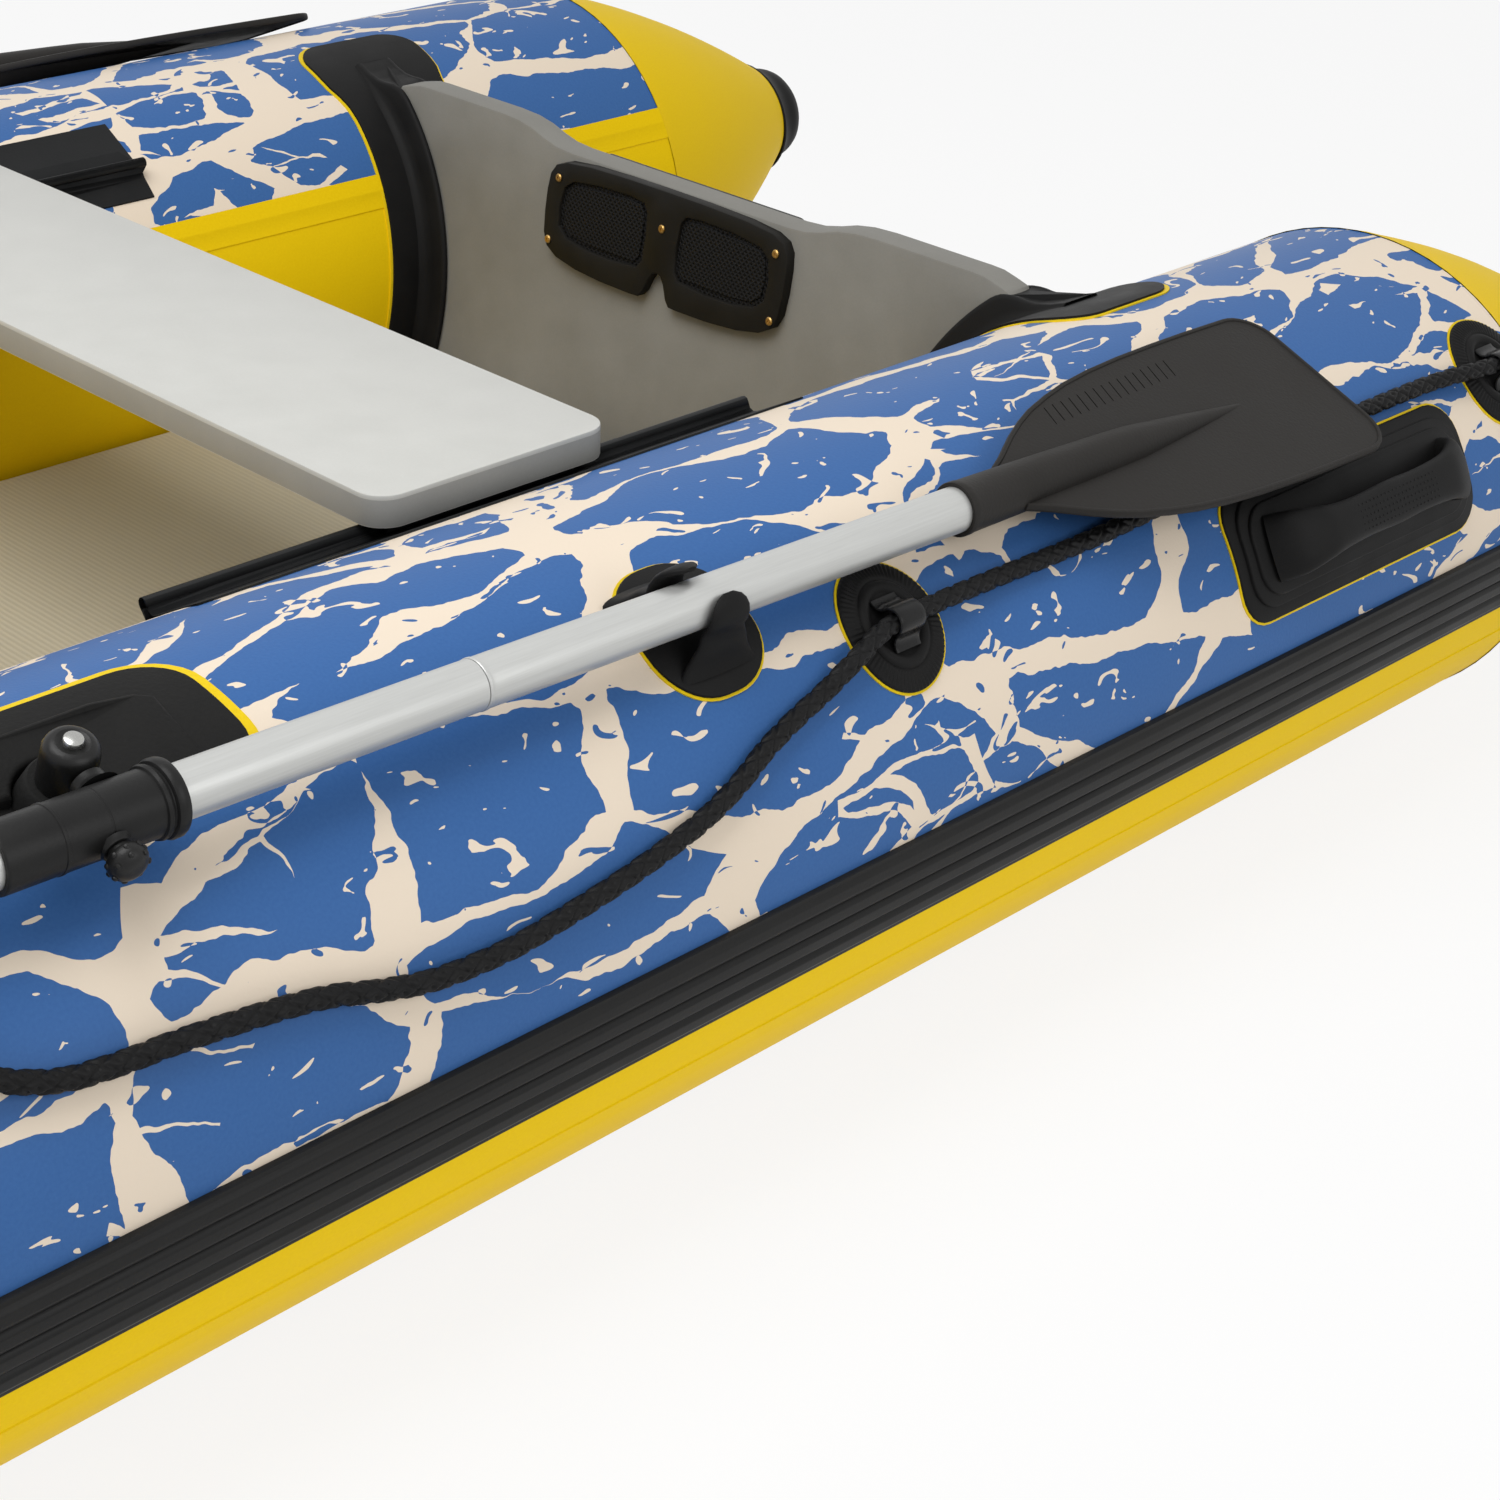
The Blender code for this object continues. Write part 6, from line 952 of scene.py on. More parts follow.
bm = plate(corners, SEAT_THICKNESS, SEAT_CORNER, 8)
bmesh.ops.bisect_plane(bm, geom=bm.verts[:] + bm.edges[:] + bm.faces[:], dist=1e-6,
                       plane_co=(0, 0, CORE_TOP), plane_no=(0, 0, 1))
soften(bm, 0.0012, 2, 60.0)
for face in bm.faces:
    if abs(face.normal.z) < 0.3 and face.calc_center_median().z < CORE_TOP:
        face.material_index = 1
bmesh.ops.translate(bm, verts=bm.verts[:], vec=(0, 0, SEAT_TOP - SEAT_THICKNESS))
piece("laminated_seat", bm, [seat_paint, seat_edge], "seat", stands_for=["seat_board"])

# Seat rails and slides
# Black extruded strips glued on the tubes' inboard shoulders, each with a thin standing fin and a round
# bead, and the plastic channels under the seat that run on them.
RAIL_AFT = 0.286
RAIL_LENGTH = 0.540
fin_rubber = moulded("fin_rubber", (0.0095, 0.0100, 0.0105), (0.0160, 0.0165, 0.0170), 0.40, 0.52, 600.0)
rail_section = [(112.5, 0.0002), (112.7, 0.0016), (126.6, 0.0020), (127.7, 0.0034), (128.2, 0.0070),
                (128.3, 0.0098), (127.9, 0.0118), (127.85, 0.0145), (128.3, 0.0168), (129.0, 0.0178),
                (129.7, 0.0168), (130.15, 0.0145), (130.1, 0.0118), (129.7, 0.0098), (129.8, 0.0070),
                (130.3, 0.0034), (131.4, 0.0020), (136.8, 0.0016), (137.0, 0.0002)]
for name, side in SIDES.items():
    rows = len(rail_section) - 1

    def rail_place(s, t):
        angle, lift = rail_section[round(t * rows)]
        return on_tube(side, RAIL_AFT + RAIL_LENGTH * s, angle, lift)

    piece(name + "_rail_strip", closed_strip(24, rows, rail_place), fin_rubber,
          stands_for=[name + "_seat_rail"])
slide_plastic = moulded("slide_plastic", (0.012, 0.012, 0.012), (0.020, 0.020, 0.020), 0.35, 0.5)
for name in SIDES:
    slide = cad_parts[name + "_seat_slide"]
    slide.data.materials.clear()
    slide.data.materials.append(slide_plastic)

# Oarlock bases
# Moulded rubber patches glued on the tubes' shoulders over a yellow layer. A soft-edged block rises from
# each and half surrounds the socket that the swivel turns in.
OARLOCK_Y = 0.3075
OARLOCK_AHEAD = 1.030
OAR_OUT = 0.655
OAR_HEIGHT = 0.4226
OAR_SLOPE = math.tan(math.radians(1.4))
SWING_TILT = math.radians(68.0)
PIVOT_REACH = 0.043
PATCH_ENDS = (0.905, 1.145)
PATCH_ANGLES = (61.5, 92.5)
PATCH_THICKNESS = 0.0025
SOCKET_RADIUS = 0.0265
BLOCK_DEPTH = 0.034
BLOCK_TOP = 0.0245
patch_rubber = moulded("pebbled_rubber", (0.0085, 0.0085, 0.0083), (0.0150, 0.0148, 0.0144), 0.58, 0.72,
                       340.0, 0.0006, 0.6)


def oar_frame(side):
    """Point on the oar's centre line beside the pivot, and its fore, outward and upward directions."""
    fore = Vector((0, 1, OAR_SLOPE)).normalized()
    out = Vector((side * math.sin(SWING_TILT), 0, -math.cos(SWING_TILT)))
    axis = Vector((side * math.cos(SWING_TILT), 0, math.sin(SWING_TILT)))
    up = (axis - fore * axis.dot(fore)).normalized()
    return Vector((side * OAR_OUT, OARLOCK_Y, OAR_HEIGHT)), fore, out, up


def pivot_frame(side):
    """Pivot of the swivel, its axis, and the direction across the tube."""
    origin, _, out, _ = oar_frame(side)
    return origin - out * PIVOT_REACH, Vector((side * math.cos(SWING_TILT), 0, math.sin(SWING_TILT))), out


def rounded_box(ahead, angles, grow=0.0):
    """Four corners of a patch that is rounded later, from its ends along the tube and round it."""
    low, high = arc_length(angles[0]) - grow, arc_length(angles[1]) + grow
    first, last = ahead[0] - grow, ahead[1] + grow
    return [(first, low), (last, low), (last, high), (first, high)]


block = [(-0.092, -0.046), (-0.092, 0.008), (-0.070, 0.0125), (-SOCKET_RADIUS, 0.0125)]
block += arc((0, 0), SOCKET_RADIUS, 158, 340, 18)
block += [(0.046, -0.013), (0.058, -0.024), (0.056, -0.042), (0.030, -0.051), (-0.050, -0.052),
          (-0.080, -0.051)]
for name, side in SIDES.items():
    bm = wrap(plate(rounded_box(PATCH_ENDS, PATCH_ANGLES), PATCH_THICKNESS, 0.035, 8), side)
    piece(name + "_oarlock_patch", bm, patch_rubber, stands_for=[name + "_oarlock_base"])
    bm = wrap(plate(rounded_box(PATCH_ENDS, PATCH_ANGLES, 0.007), 0.0012, 0.042, 8), side)
    piece(name + "_oarlock_edge", bm, trim_yellow, slot=name + "_oarlock_base")
    pivot, axis, across = pivot_frame(side)
    bm = soften(plate(block, BLOCK_DEPTH), 0.0045, 4, where=above(0.02))
    for vertex in bm.verts:
        if vertex.co.z > 0.02:
            vertex.co.z -= max(0.0, -0.045 - vertex.co.x) * 0.16 + max(0.0, vertex.co.x - 0.03) * 0.25
    for vertex in bm.verts:
        u, t, h = vertex.co
        vertex.co = pivot + Vector((0, u, 0)) + across * t + axis * (h - BLOCK_DEPTH - BLOCK_TOP)
    face_outwards(bm)
    piece(name + "_oarlock_block", bm, patch_rubber, slot=name + "_oarlock_base", crease=50)
    boss = [(-0.060, 0.0), (-0.060, 0.0285), (-0.030, 0.0255), (-0.022, 0.0230), (-0.0168, 0.0214),
            (-0.0156, 0.0200), (-0.0156, 0.0)]
    piece(name + "_oarlock_boss", placed(turned(boss), pivot, axis, across), patch_rubber,
          slot=name + "_oarlock_base")

# Oarlock swivels
# Moulded turrets that turn in the bases. A steel pin holds each down, and its bright head shows in the
# turret's top, and a bolt runs through it sideways.
hard_black = moulded("hard_black", (0.0060, 0.0060, 0.0060), (0.0100, 0.0100, 0.0099), 0.30, 0.42, 700.0,
                     specular=0.25)
steel = moulded("steel", (0.30, 0.30, 0.29), (0.50, 0.50, 0.48), 0.20, 0.32, 1200.0, 0.0001, 0.2,
                metallic=1.0)
for name, side in SIDES.items():
    pivot, axis, across = pivot_frame(side)
    turret = [(-0.0240, 0.0), (-0.0240, 0.0085), (-0.0150, 0.0085), (-0.0150, 0.0158), (-0.0144, 0.0160),
              (0.0070, 0.0160), (0.0105, 0.0153), (0.0130, 0.0138), (0.0147, 0.0115), (0.0150, 0.0095),
              (0.0141, 0.0080), (0.0140, 0.0)]
    piece(name + "_swivel_turret", placed(turned(turret), pivot, axis, across), hard_black, name + "_swivel",
          stands_for=[name + "_oarlock_swivel"])
    pin = [(0.0135, 0.0), (0.0135, 0.0060), (0.0160, 0.0062), (0.0176, 0.0054), (0.0184, 0.0034),
           (0.0186, 0.0)]
    piece(name + "_swivel_pin", placed(turned(pin, 32), pivot, axis, across), steel, name + "_swivel",
          slot=name + "_oarlock_swivel")
    bolt = [(-0.0181, 0.0), (-0.0181, 0.0045), (-0.0172, 0.0062), (-0.0160, 0.0070), (-0.0143, 0.0070),
            (-0.0143, 0.0040), (0.0257, 0.0040), (0.0261, 0.0036), (0.0261, 0.0)]
    piece(name + "_sleeve_bolt", placed(turned(bolt, 24), pivot, across, axis), steel, name + "_swivel",
          stands_for=[name + "_dip_bolt"])

# Oar sleeves
# Moulded collars that grip the shafts. Each has a double lip at its aft end, two faint rings where the
# mould parts, a lug for the bolt and a boss for the knob.
sleeve_plastic = moulded("sleeve_plastic", (0.0080, 0.0080, 0.0080), (0.0130, 0.0130, 0.0128), 0.36, 0.46,
                         500.0, specular=0.18)


def joined(parts):
    """Several meshes made one."""
    whole = bmesh.new()
    for part in parts:
        mesh = bpy.data.meshes.new("part")
        part.to_mesh(mesh)
        part.free()
        whole.from_mesh(mesh)
        bpy.data.meshes.remove(mesh)
    return whole


def ring(profile, steps=48):
    """A solid of revolution with a bore, from a closed (along, radius) outline."""
    return turned(profile + profile[:1], steps)


KNOB_FORE = 0.012
for name, side in SIDES.items():
    origin, fore, out, up = oar_frame(side)
    collar = [(0.0760, 0.0163), (0.0760, 0.0188), (0.0752, 0.0194), (0.0740, 0.0195), (0.0418, 0.0195),
              (0.0414, 0.0200), (0.0396, 0.0200), (0.0392, 0.0195), (0.0132, 0.0195), (0.0129, 0.0192),
              (0.0121, 0.0192), (0.0118, 0.0195), (-0.0196, 0.0195), (-0.0203, 0.0208), (-0.0222, 0.0214),
              (-0.0240, 0.0208), (-0.0246, 0.0200), (-0.0254, 0.0200), (-0.0262, 0.0218), (-0.0280, 0.0228),
              (-0.0318, 0.0227), (-0.0334, 0.0220), (-0.0340, 0.0208), (-0.0340, 0.0163)]
    parts = [placed(ring(collar, 64), origin, fore, up)]
    lug = [(0.0175, 0.0), (0.0175, 0.0150), (0.0188, 0.0128), (0.0205, 0.0114), (0.0225, 0.0106),
           (0.0264, 0.0104), (0.0267, 0.0100), (0.0267, 0.0)]
    parts.append(placed(turned(lug, 32), origin, -out, up))
    boss = [(0.0175, 0.0), (0.0175, 0.0105), (0.0192, 0.0092), (0.0212, 0.0086), (0.0214, 0.0082),
            (0.0214, 0.0)]
    parts.append(placed(turned(boss, 32), origin + fore * KNOB_FORE, out, up))
    piece(name + "_shaft_sleeve", joined(parts), sleeve_plastic, name + "_sleeve",
          stands_for=[name + "_oar_sleeve"])

# Clamp knobs
# Small round knobs with raised studs for the fingers, which screw down on the shafts. Each row of studs
# has its height, count, radius, first place and the lean of its studs.
KNOB_ROWS = ((0.0066, 9, 0.0116, 0, 0.12), (0.0122, 7, 0.0106, 0.5, 0.75))
for name, side in SIDES.items():
    origin, fore, out, up = oar_frame(side)
    place = origin + fore * KNOB_FORE + out * 0.0218
    ball = [(0.0, 0.0), (0.0, 0.0072), (0.0010, 0.0078), (0.0028, 0.0080), (0.0032, 0.0100), (0.0052, 0.0114),
            (0.0078, 0.0118), (0.0104, 0.0114), (0.0128, 0.0101), (0.0146, 0.0081), (0.0157, 0.0054),
            (0.0160, 0.0026), (0.0160, 0.0)]
    parts = [placed(turned(ball, 40), place, out, up)]
    for height, count, radius, shift, rise in KNOB_ROWS:
        for k in range(count):
            turn = 2 * math.pi * (k + shift) / count
            way = fore * math.cos(turn) + up * math.sin(turn)
            tilt = (way + out * rise).normalized()
            stud = turned([(-0.001, 0.0), (-0.001, 0.0018), (0.0005, 0.0017), (0.0010, 0.0011),
                           (0.0012, 0.0)], 12)
            parts.append(placed(stud, place + out * height + way * radius, tilt, out))
    piece(name + "_studded_knob", joined(parts), hard_black, name + "_knob",
          stands_for=[name + "_clamp_knob"])

# Oar shafts
# Drawn aluminium tubes with a satin anodised finish. The outer one plugs on the inner one, with a thin
# rolled ring at the joint.
alloy, tree, shader = new_material("satin_alloy")
place = node(tree, "ShaderNodeTexCoord")
drawn = node(tree, "ShaderNodeMapping", {"Vector": place.outputs["Object"], "Scale": (1.0, 0.02, 1.0)})
streak = noise(tree, drawn.outputs[0], 900.0)
cloud = noise(tree, place.outputs["Object"], 14.0, 3.0)
shade = blend(tree, streak.outputs[0], (0.50, 0.505, 0.49), (0.60, 0.605, 0.59))
rough = node(tree, "ShaderNodeMapRange", {"Value": cloud.outputs[0], "To Min": 0.34, "To Max": 0.46})
tree.links.new(shade, shader.inputs["Base Color"])
tree.links.new(rough.outputs[0], shader.inputs["Roughness"])
set_bump(tree, shader, streak.outputs[0], 0.10, 0.0002)
shader.inputs["Metallic"].default_value = 0.55
for name, side in SIDES.items():
    origin, fore, out, up = oar_frame(side)
    inner = [(0.3825, 0.0146), (0.3825, 0.0157), (0.3822, 0.0160), (-0.2447, 0.0160), (-0.2450, 0.0157),
             (-0.2450, 0.0143), (-0.3150, 0.0143), (-0.3150, 0.0129)]
    piece(name + "_inner_tube", placed(ring(inner), origin, fore, up), alloy, name + "_oar",
          stands_for=[name + "_oar_inner_shaft"])
    outer = [(-0.2453, 0.0146), (-0.2453, 0.0161), (-0.2458, 0.0165), (-0.2476, 0.0165), (-0.2482, 0.0160),
             (-0.2500, 0.0159), (-0.2510, 0.0160), (-0.7100, 0.0160), (-0.7100, 0.0146)]
    piece(name + "_outer_tube", placed(ring(outer), origin, fore, up), alloy, name + "_oar",
          stands_for=[name + "_oar_outer_shaft"])

# Oar blades
# Moulded nylon blades, matt near black. Each has a socket that runs out into a spine, a raised lip round
# its edge and a row of slots along its inboard edge.
BLADE_NECK = -0.728
BLADE_LENGTH = 0.370
BLADE_HALF_WIDTH = 0.079
BLADE_HALF_THICK = 0.0020
BLADE_CORNER = 0.030
blade_plastic = moulded("blade_plastic", (0.0215, 0.0200, 0.0185), (0.0285, 0.0266, 0.0248), 0.46, 0.58,
                        420.0, 0.0004, 0.5)


def blade_outline():
    """Half of the blade's outline as (along the shaft, half width), from the neck to the tip's middle."""
    shares = ((0, 0.24), (0.025, 0.285), (0.05, 0.34), (0.085, 0.43), (0.12, 0.52), (0.17, 0.63),
              (0.22, 0.72), (0.29, 0.81), (0.36, 0.88), (0.45, 0.935), (0.55, 0.97), (0.66, 0.99),
              (0.78, 1.0), (0.90, 1.0))
    points = [(BLADE_NECK - BLADE_LENGTH * a, BLADE_HALF_WIDTH * w) for a, w in shares]
    tip = BLADE_NECK - BLADE_LENGTH
    return points + arc((tip + BLADE_CORNER, BLADE_HALF_WIDTH - BLADE_CORNER), BLADE_CORNER, 90, 180, 9)


def slot_outline(along, across, length, width, slant):
    """A thin round-ended slot."""
    points = arc((0, length / 2), width / 2, 0, 180, 5) + arc((0, -length / 2), width / 2, 180, 360, 5)
    turn = math.radians(slant)
    c, d = math.cos(turn), math.sin(turn)
    return [(along + u * c - v * d, across + u * d + v * c) for u, v in points]


def in_frame(bm, origin, x_way, y_way, z_way):
    """Move a flat mesh into three directions."""
    flip = x_way.cross(y_way).dot(z_way) < 0
    for vertex in bm.verts:
        u, v, w = vertex.co
        vertex.co = origin + x_way * u + y_way * v + z_way * w
    if flip:
        bmesh.ops.reverse_faces(bm, faces=bm.faces[:])
    return bm


def swept(stations, sides, power=2.6):
    """A bar with a soft square section, through (centre, right, up, half width, half depth) stations."""
    count = len(stations) - 1

    def place(s, t):
        centre, right, up, half_width, half_depth = stations[round(s * count)]
        turn = 2 * math.pi * t
        c, d = math.cos(turn), math.sin(turn)
        x = math.copysign(abs(c) ** (2 / power), c) * half_width
        y = math.copysign(abs(d) ** (2 / power), d) * half_depth
        return centre + right * x + up * y

    return closed_strip(count, sides, place, closed=True)


half = blade_outline()
whole = half + [(u, -v) for u, v in reversed(half)]
slots = [slot_outline(-0.822 - 0.0098 * k, -0.047 - 0.0004 * k, 0.017, 0.0011, -14) for k in range(16)]
for name, side in SIDES.items():
    origin, fore, out, up = oar_frame(side)
    bm = filled([whole] + slots, 2 * BLADE_HALF_THICK)
    bmesh.ops.translate(bm, verts=bm.verts[:], vec=(0, 0, -BLADE_HALF_THICK))
    parts = [in_frame(bm, origin, fore, out, up)]
    rim = []
    for k, (u, v) in enumerate(whole + whole[:1]):
        before, after = whole[(k - 1) % len(whole)], whole[(k + 1) % len(whole)]
        way = Vector((after[0] - before[0], after[1] - before[1])).normalized()
        rim.append((origin + fore * u + out * v, fore * way.y - out * way.x, up, 0.0022, 0.0033))
    parts.append(swept(rim, 12))
    spine = [(-0.6700, 0.0164), (-0.6700, 0.0188), (-0.6708, 0.0192), (-0.6760, 0.0192), (-0.6772, 0.0187),
             (-0.7280, 0.0180), (-0.7800, 0.0171), (-0.8300, 0.0160), (-0.8620, 0.0150), (-0.8660, 0.0147),
             (-0.9300, 0.0088), (-0.9980, 0.0018), (-0.9990, 0.0), (-0.7110, 0.0), (-0.7110, 0.0164)]
    parts.append(placed(ring(spine, 40), origin, fore, up))
    piece(name + "_blade_moulding", joined(parts), blade_plastic, name + "_oar",
          stands_for=[name + "_oar_blade"])

# Oar grips
# Moulded handles over the inboard ends of the shafts, shaped for the fingers, with fine rings.
for name, side in SIDES.items():
    origin, fore, out, up = oar_frame(side)
    shape = [(0.3250, 0.0164), (0.3250, 0.0172), (0.3256, 0.0176), (0.3300, 0.0182)]
    for k in range(1, 45):
        share = k / 46
        swell = 0.93 + 0.07 * (0.5 + 0.5 * math.cos(4 * math.pi * (share - 0.06)))
        fine = 0.00025 * (k % 2)
        shape.append((0.3300 + 0.104 * share, 0.0185 * swell - fine))
    shape += [(0.4355, 0.0184), (0.4385, 0.0176), (0.4400, 0.0160), (0.4402, 0.0080), (0.4400, 0.0),
              (0.3835, 0.0), (0.3835, 0.0164)]
    piece(name + "_hand_grip", placed(ring(shape), origin, fore, up), sleeve_plastic, name + "_oar",
          stands_for=[name + "_oar_grip"])

# Oar clips
# Moulded rubber clips with an oval base, and two staggered tongues that bend over the stowed shaft from
# both sides.
CLIP_ENDS = (0.547, 0.637)
CLIP_ANGLES = (43.5, 71)
TONGUE_AHEADS = {1: 0.594, -1: 0.613}


def along_path(path):
    """Each point of an open path, with the path's direction there."""
    for k, point in enumerate(path):
        before, after = path[max(0, k - 1)], path[min(len(path) - 1, k + 1)]
        yield point, Vector((after[0] - before[0], after[1] - before[1])).normalized()


for name, side in SIDES.items():
    bm = plate(rounded_box(CLIP_ENDS, CLIP_ANGLES), 0.0035, 0.0405, 10)
    soften(bm, 0.0012, 2, 60.0, above(0.002))
    parts = [wrap(bm, side)]
    bm = plate(rounded_box(CLIP_ENDS, CLIP_ANGLES, 0.0018), 0.0011, 0.0418, 10)
    piece(name + "_clip_edge", wrap(bm, side), trim_yellow, slot=name + "_oar_clip")
    for sense, ahead in TONGUE_AHEADS.items():
        middle = Vector((side * TUBE_OFFSET, TRANSOM_Y + ahead, TUBE_RADIUS))
        shaft = Vector((side * OAR_OUT, TRANSOM_Y + ahead, OAR_HEIGHT + (ahead - OARLOCK_AHEAD) * OAR_SLOPE))
        radial = (shaft - middle).normalized()
        across = Vector((radial.z, 0, -radial.x)) * side * sense
        grow, lift = (1.34, 0.0) if sense > 0 else (1.12, 0.0012)
        path = [(0.0330, -0.0315, 0.0250 * grow, 0.0060), (0.0292, -0.0262, 0.0216 * grow, 0.0056),
                (0.0262, -0.0190, 0.0180 * grow, 0.0050), (0.0238, -0.0110, 0.0152 * grow, 0.0042)]
        for k, angle in enumerate((-14, 4, 20, 35, 48, 58, 66)):
            turn = math.radians(angle)
            wide = (0.0138, 0.0132, 0.0126, 0.0118, 0.0102, 0.0078, 0.0034)[k]
            thick = (0.0037, 0.0034, 0.0033, 0.0031, 0.0028, 0.0024, 0.0014)[k]
            reach = 0.0206 + lift * k
            path.append((reach * math.cos(turn), reach * math.sin(turn), wide * grow, thick))
        stations = []
        for (a, b, wide, thick), way in along_path(path):
            normal = across * way.y - radial * way.x
            stations.append((shaft + across * a + radial * b, Vector((0, 1, 0)), normal, wide, thick))
        parts.append(swept(stations, 24, 2.4))
    piece(name + "_clip_moulding", joined(parts), rubber, stands_for=[name + "_oar_clip"], crease=50)

# Rope holders
# Round moulded mounts glued on the tubes, with a fluted rim, a smooth ring inside it, and a strap in a
# recess that the rope runs under.
HOLDER_ANGLE = 43.5
HOLDER_AHEADS = {"aft": -0.290, "middle": 0.443, "fore": 1.205}
DISC_RADII = (0.041, 0.047)
DISC_FLUTES = 72
STRAP_HALF_WIDTH = 0.0120
STRAP_BEND = 0.0092
STRAP_MIDDLE = 0.0127
shiny_rubber = moulded("shiny_rubber", (0.0050, 0.0050, 0.0052), (0.0085, 0.0085, 0.0087), 0.20, 0.32, 500.0,
                       specular=0.22)


def skin_frame(side, ahead, angle):
    """A point on the skin with its fore, round and outward directions."""
    here = on_tube(side, ahead, angle)
    fore = (on_tube(side, ahead + 0.002, angle) - on_tube(side, ahead - 0.002, angle)).normalized()
    around = (on_tube(side, ahead, angle + 1) - on_tube(side, ahead, angle - 1)).normalized()
    outward = (on_tube(side, ahead, angle, 0.01) - here).normalized()
    return here, fore, around, outward


disc_profile = [(1.0, 0.0002), (1.0, 0.0018), (0.985, 0.0027), (0.955, 0.0033), (0.86, 0.0040),
                (0.76, 0.0046), (0.71, 0.0048), (0.695, 0.0042), (0.675, 0.0040), (0.655, 0.0050),
                (0.62, 0.0062), (0.57, 0.0066), (0.52, 0.0060), (0.48, 0.0044), (0.455, 0.0034),
                (0.30, 0.0030), (0.0, 0.0030)]
for name, side in SIDES.items():
    for label, ahead in HOLDER_AHEADS.items():
        rows = len(disc_profile) - 1

        def disc_place(s, t):
            share, height = disc_profile[round(t * rows)]
            turn = 2 * math.pi * s
            if 0.71 < share < 0.99:
                height += 0.00042 * math.cos(DISC_FLUTES * turn)
            u, v = DISC_RADII[0] * share * math.cos(turn), DISC_RADII[1] * share * math.sin(turn)
            return on_tube(side, ahead + u, HOLDER_ANGLE + math.degrees(v / TUBE_RADIUS), height)

        bm = bent_grid(288, rows, disc_place, lambda s, t: (s, t), closed=True)
        face_outwards(bm)
        node_name = "_".join((name, label, "rope_holder"))
        piece("_".join((name, label, "fluted_disc")), bm, rubber, stands_for=[node_name], crease=50)
        box = [(ahead + 0.0428 * math.cos(k * math.pi / 24),
                arc_length(HOLDER_ANGLE) + 0.0488 * math.sin(k * math.pi / 24)) for k in range(48)]
        piece("_".join((name, label, "disc_edge")), wrap(plate(box, 0.0010), side), trim_yellow,
              slot=node_name)
        here, fore, around, outward = skin_frame(side, ahead, HOLDER_ANGLE)
        path = [(-0.0190, 0.0040), (-0.0160, 0.0046), (-0.0130, 0.0062), (-0.0106, 0.0092)]
        path += arc((0, STRAP_MIDDLE), STRAP_BEND, 180, 0, 12)
        path += [(-a, b) for a, b in reversed(path[:4])]
        stations = []
        for (a, b), way in along_path(path):
            normal = outward * way.x - around * way.y
            stations.append((here + around * a + outward * b, fore, normal, STRAP_HALF_WIDTH, 0.0016))
        piece("_".join((name, label, "rope_strap")), swept(stations, 16, 4.0), shiny_rubber, slot=node_name,
              crease=50)

# Grab ropes
# Plaited black cord, 12 mm thick, threaded through the holders along each side from the stern to the bow.
# Its strands bulge between the crossings.
ROPE_RADIUS = 0.006
STRAND_PITCH = 0.0190
ROPE_END = 0.004
OVER_DISC = 0.0067
OVER_SKIN = 0.0006
ROPE_ROUTE = ((-0.325, 43.5, 1), (-0.290, 43.5, 1), (-0.242, 44.4, 1), (-0.205, 45.6, 0), (-0.120, 45.9, 0),
              (0.0, 45.7, 0), (0.120, 44.5, 0), (0.230, 43.5, 0), (0.340, 43.8, 0), (0.395, 43.7, 1),
              (0.429, 43.5, 1), (0.457, 43.2, 1), (0.489, 40.8, 1), (0.530, 37.2, 0), (0.580, 33.6, 0),
              (0.640, 27.4, 0), (0.710, 23.6, 0), (0.780, 21.4, 0), (0.830, 20.6, 0), (0.890, 21.9, 0),
              (0.950, 26.1, 0), (1.026, 28.7, 0), (1.086, 29.9, 0), (1.118, 31.6, 0), (1.150, 35.5, 1),
              (1.175, 40.0, 1), (1.193, 42.8, 1), (1.208, 43.6, 1), (1.225, 43.6, 1), (1.257, 43.0, 1),
              (1.320, 40.0, 0), (1.420, 34.0, 0), (1.540, 29.0, 0), (1.660, 28.0, 0), (1.790, 31.0, 0),
              (1.900, 37.0, 0), (1.980, 44.0, 0), (2.020, 48.0, 0))
cord_black, tree, shader = new_material("plaited_cord", 0.12)
place = node(tree, "ShaderNodeUVMap", uv_map="metres")
hairs = noise(tree, place.outputs[0], 1600.0)
wear = noise(tree, place.outputs[0], 60.0, 3.0)
shade = blend(tree, wear.outputs[0], (0.0042, 0.0042, 0.0044), (0.0105, 0.0105, 0.0108))
tree.links.new(shade, shader.inputs["Base Color"])
set_bump(tree, shader, hairs.outputs[0], 0.45, 0.0004)
shader.inputs["Roughness"].default_value = 0.42


def smooth_points(points, steps):
    """A smooth curve through points."""
    padded = [points[0]] + list(points) + [points[-1]]
    made = []
    for i in range(1, len(padded) - 2):
        a, b, c, d = (Vector(p) for p in padded[i - 1:i + 3])
        for k in range(steps):
            t = k / steps
            made.append(0.5 * (2 * b + (c - a) * t + (2 * a - 5 * b + 4 * c - d) * t ** 2
                               + (3 * b - a - 3 * c + d) * t ** 3))
    return made + [Vector(points[-1])]


def even_points(points, count):
    """Points at even steps along a curve."""
    total = sum((b - a).length for a, b in zip(points, points[1:]))
    step = total / count
    made, travelled, target = [points[0]], 0.0, step
    for a, b in zip(points, points[1:]):
        length = (b - a).length
        while travelled + length >= target and len(made) < count:
            made.append(a.lerp(b, (target - travelled) / length))
            target += step
        travelled += length
    return made + [points[-1]], total


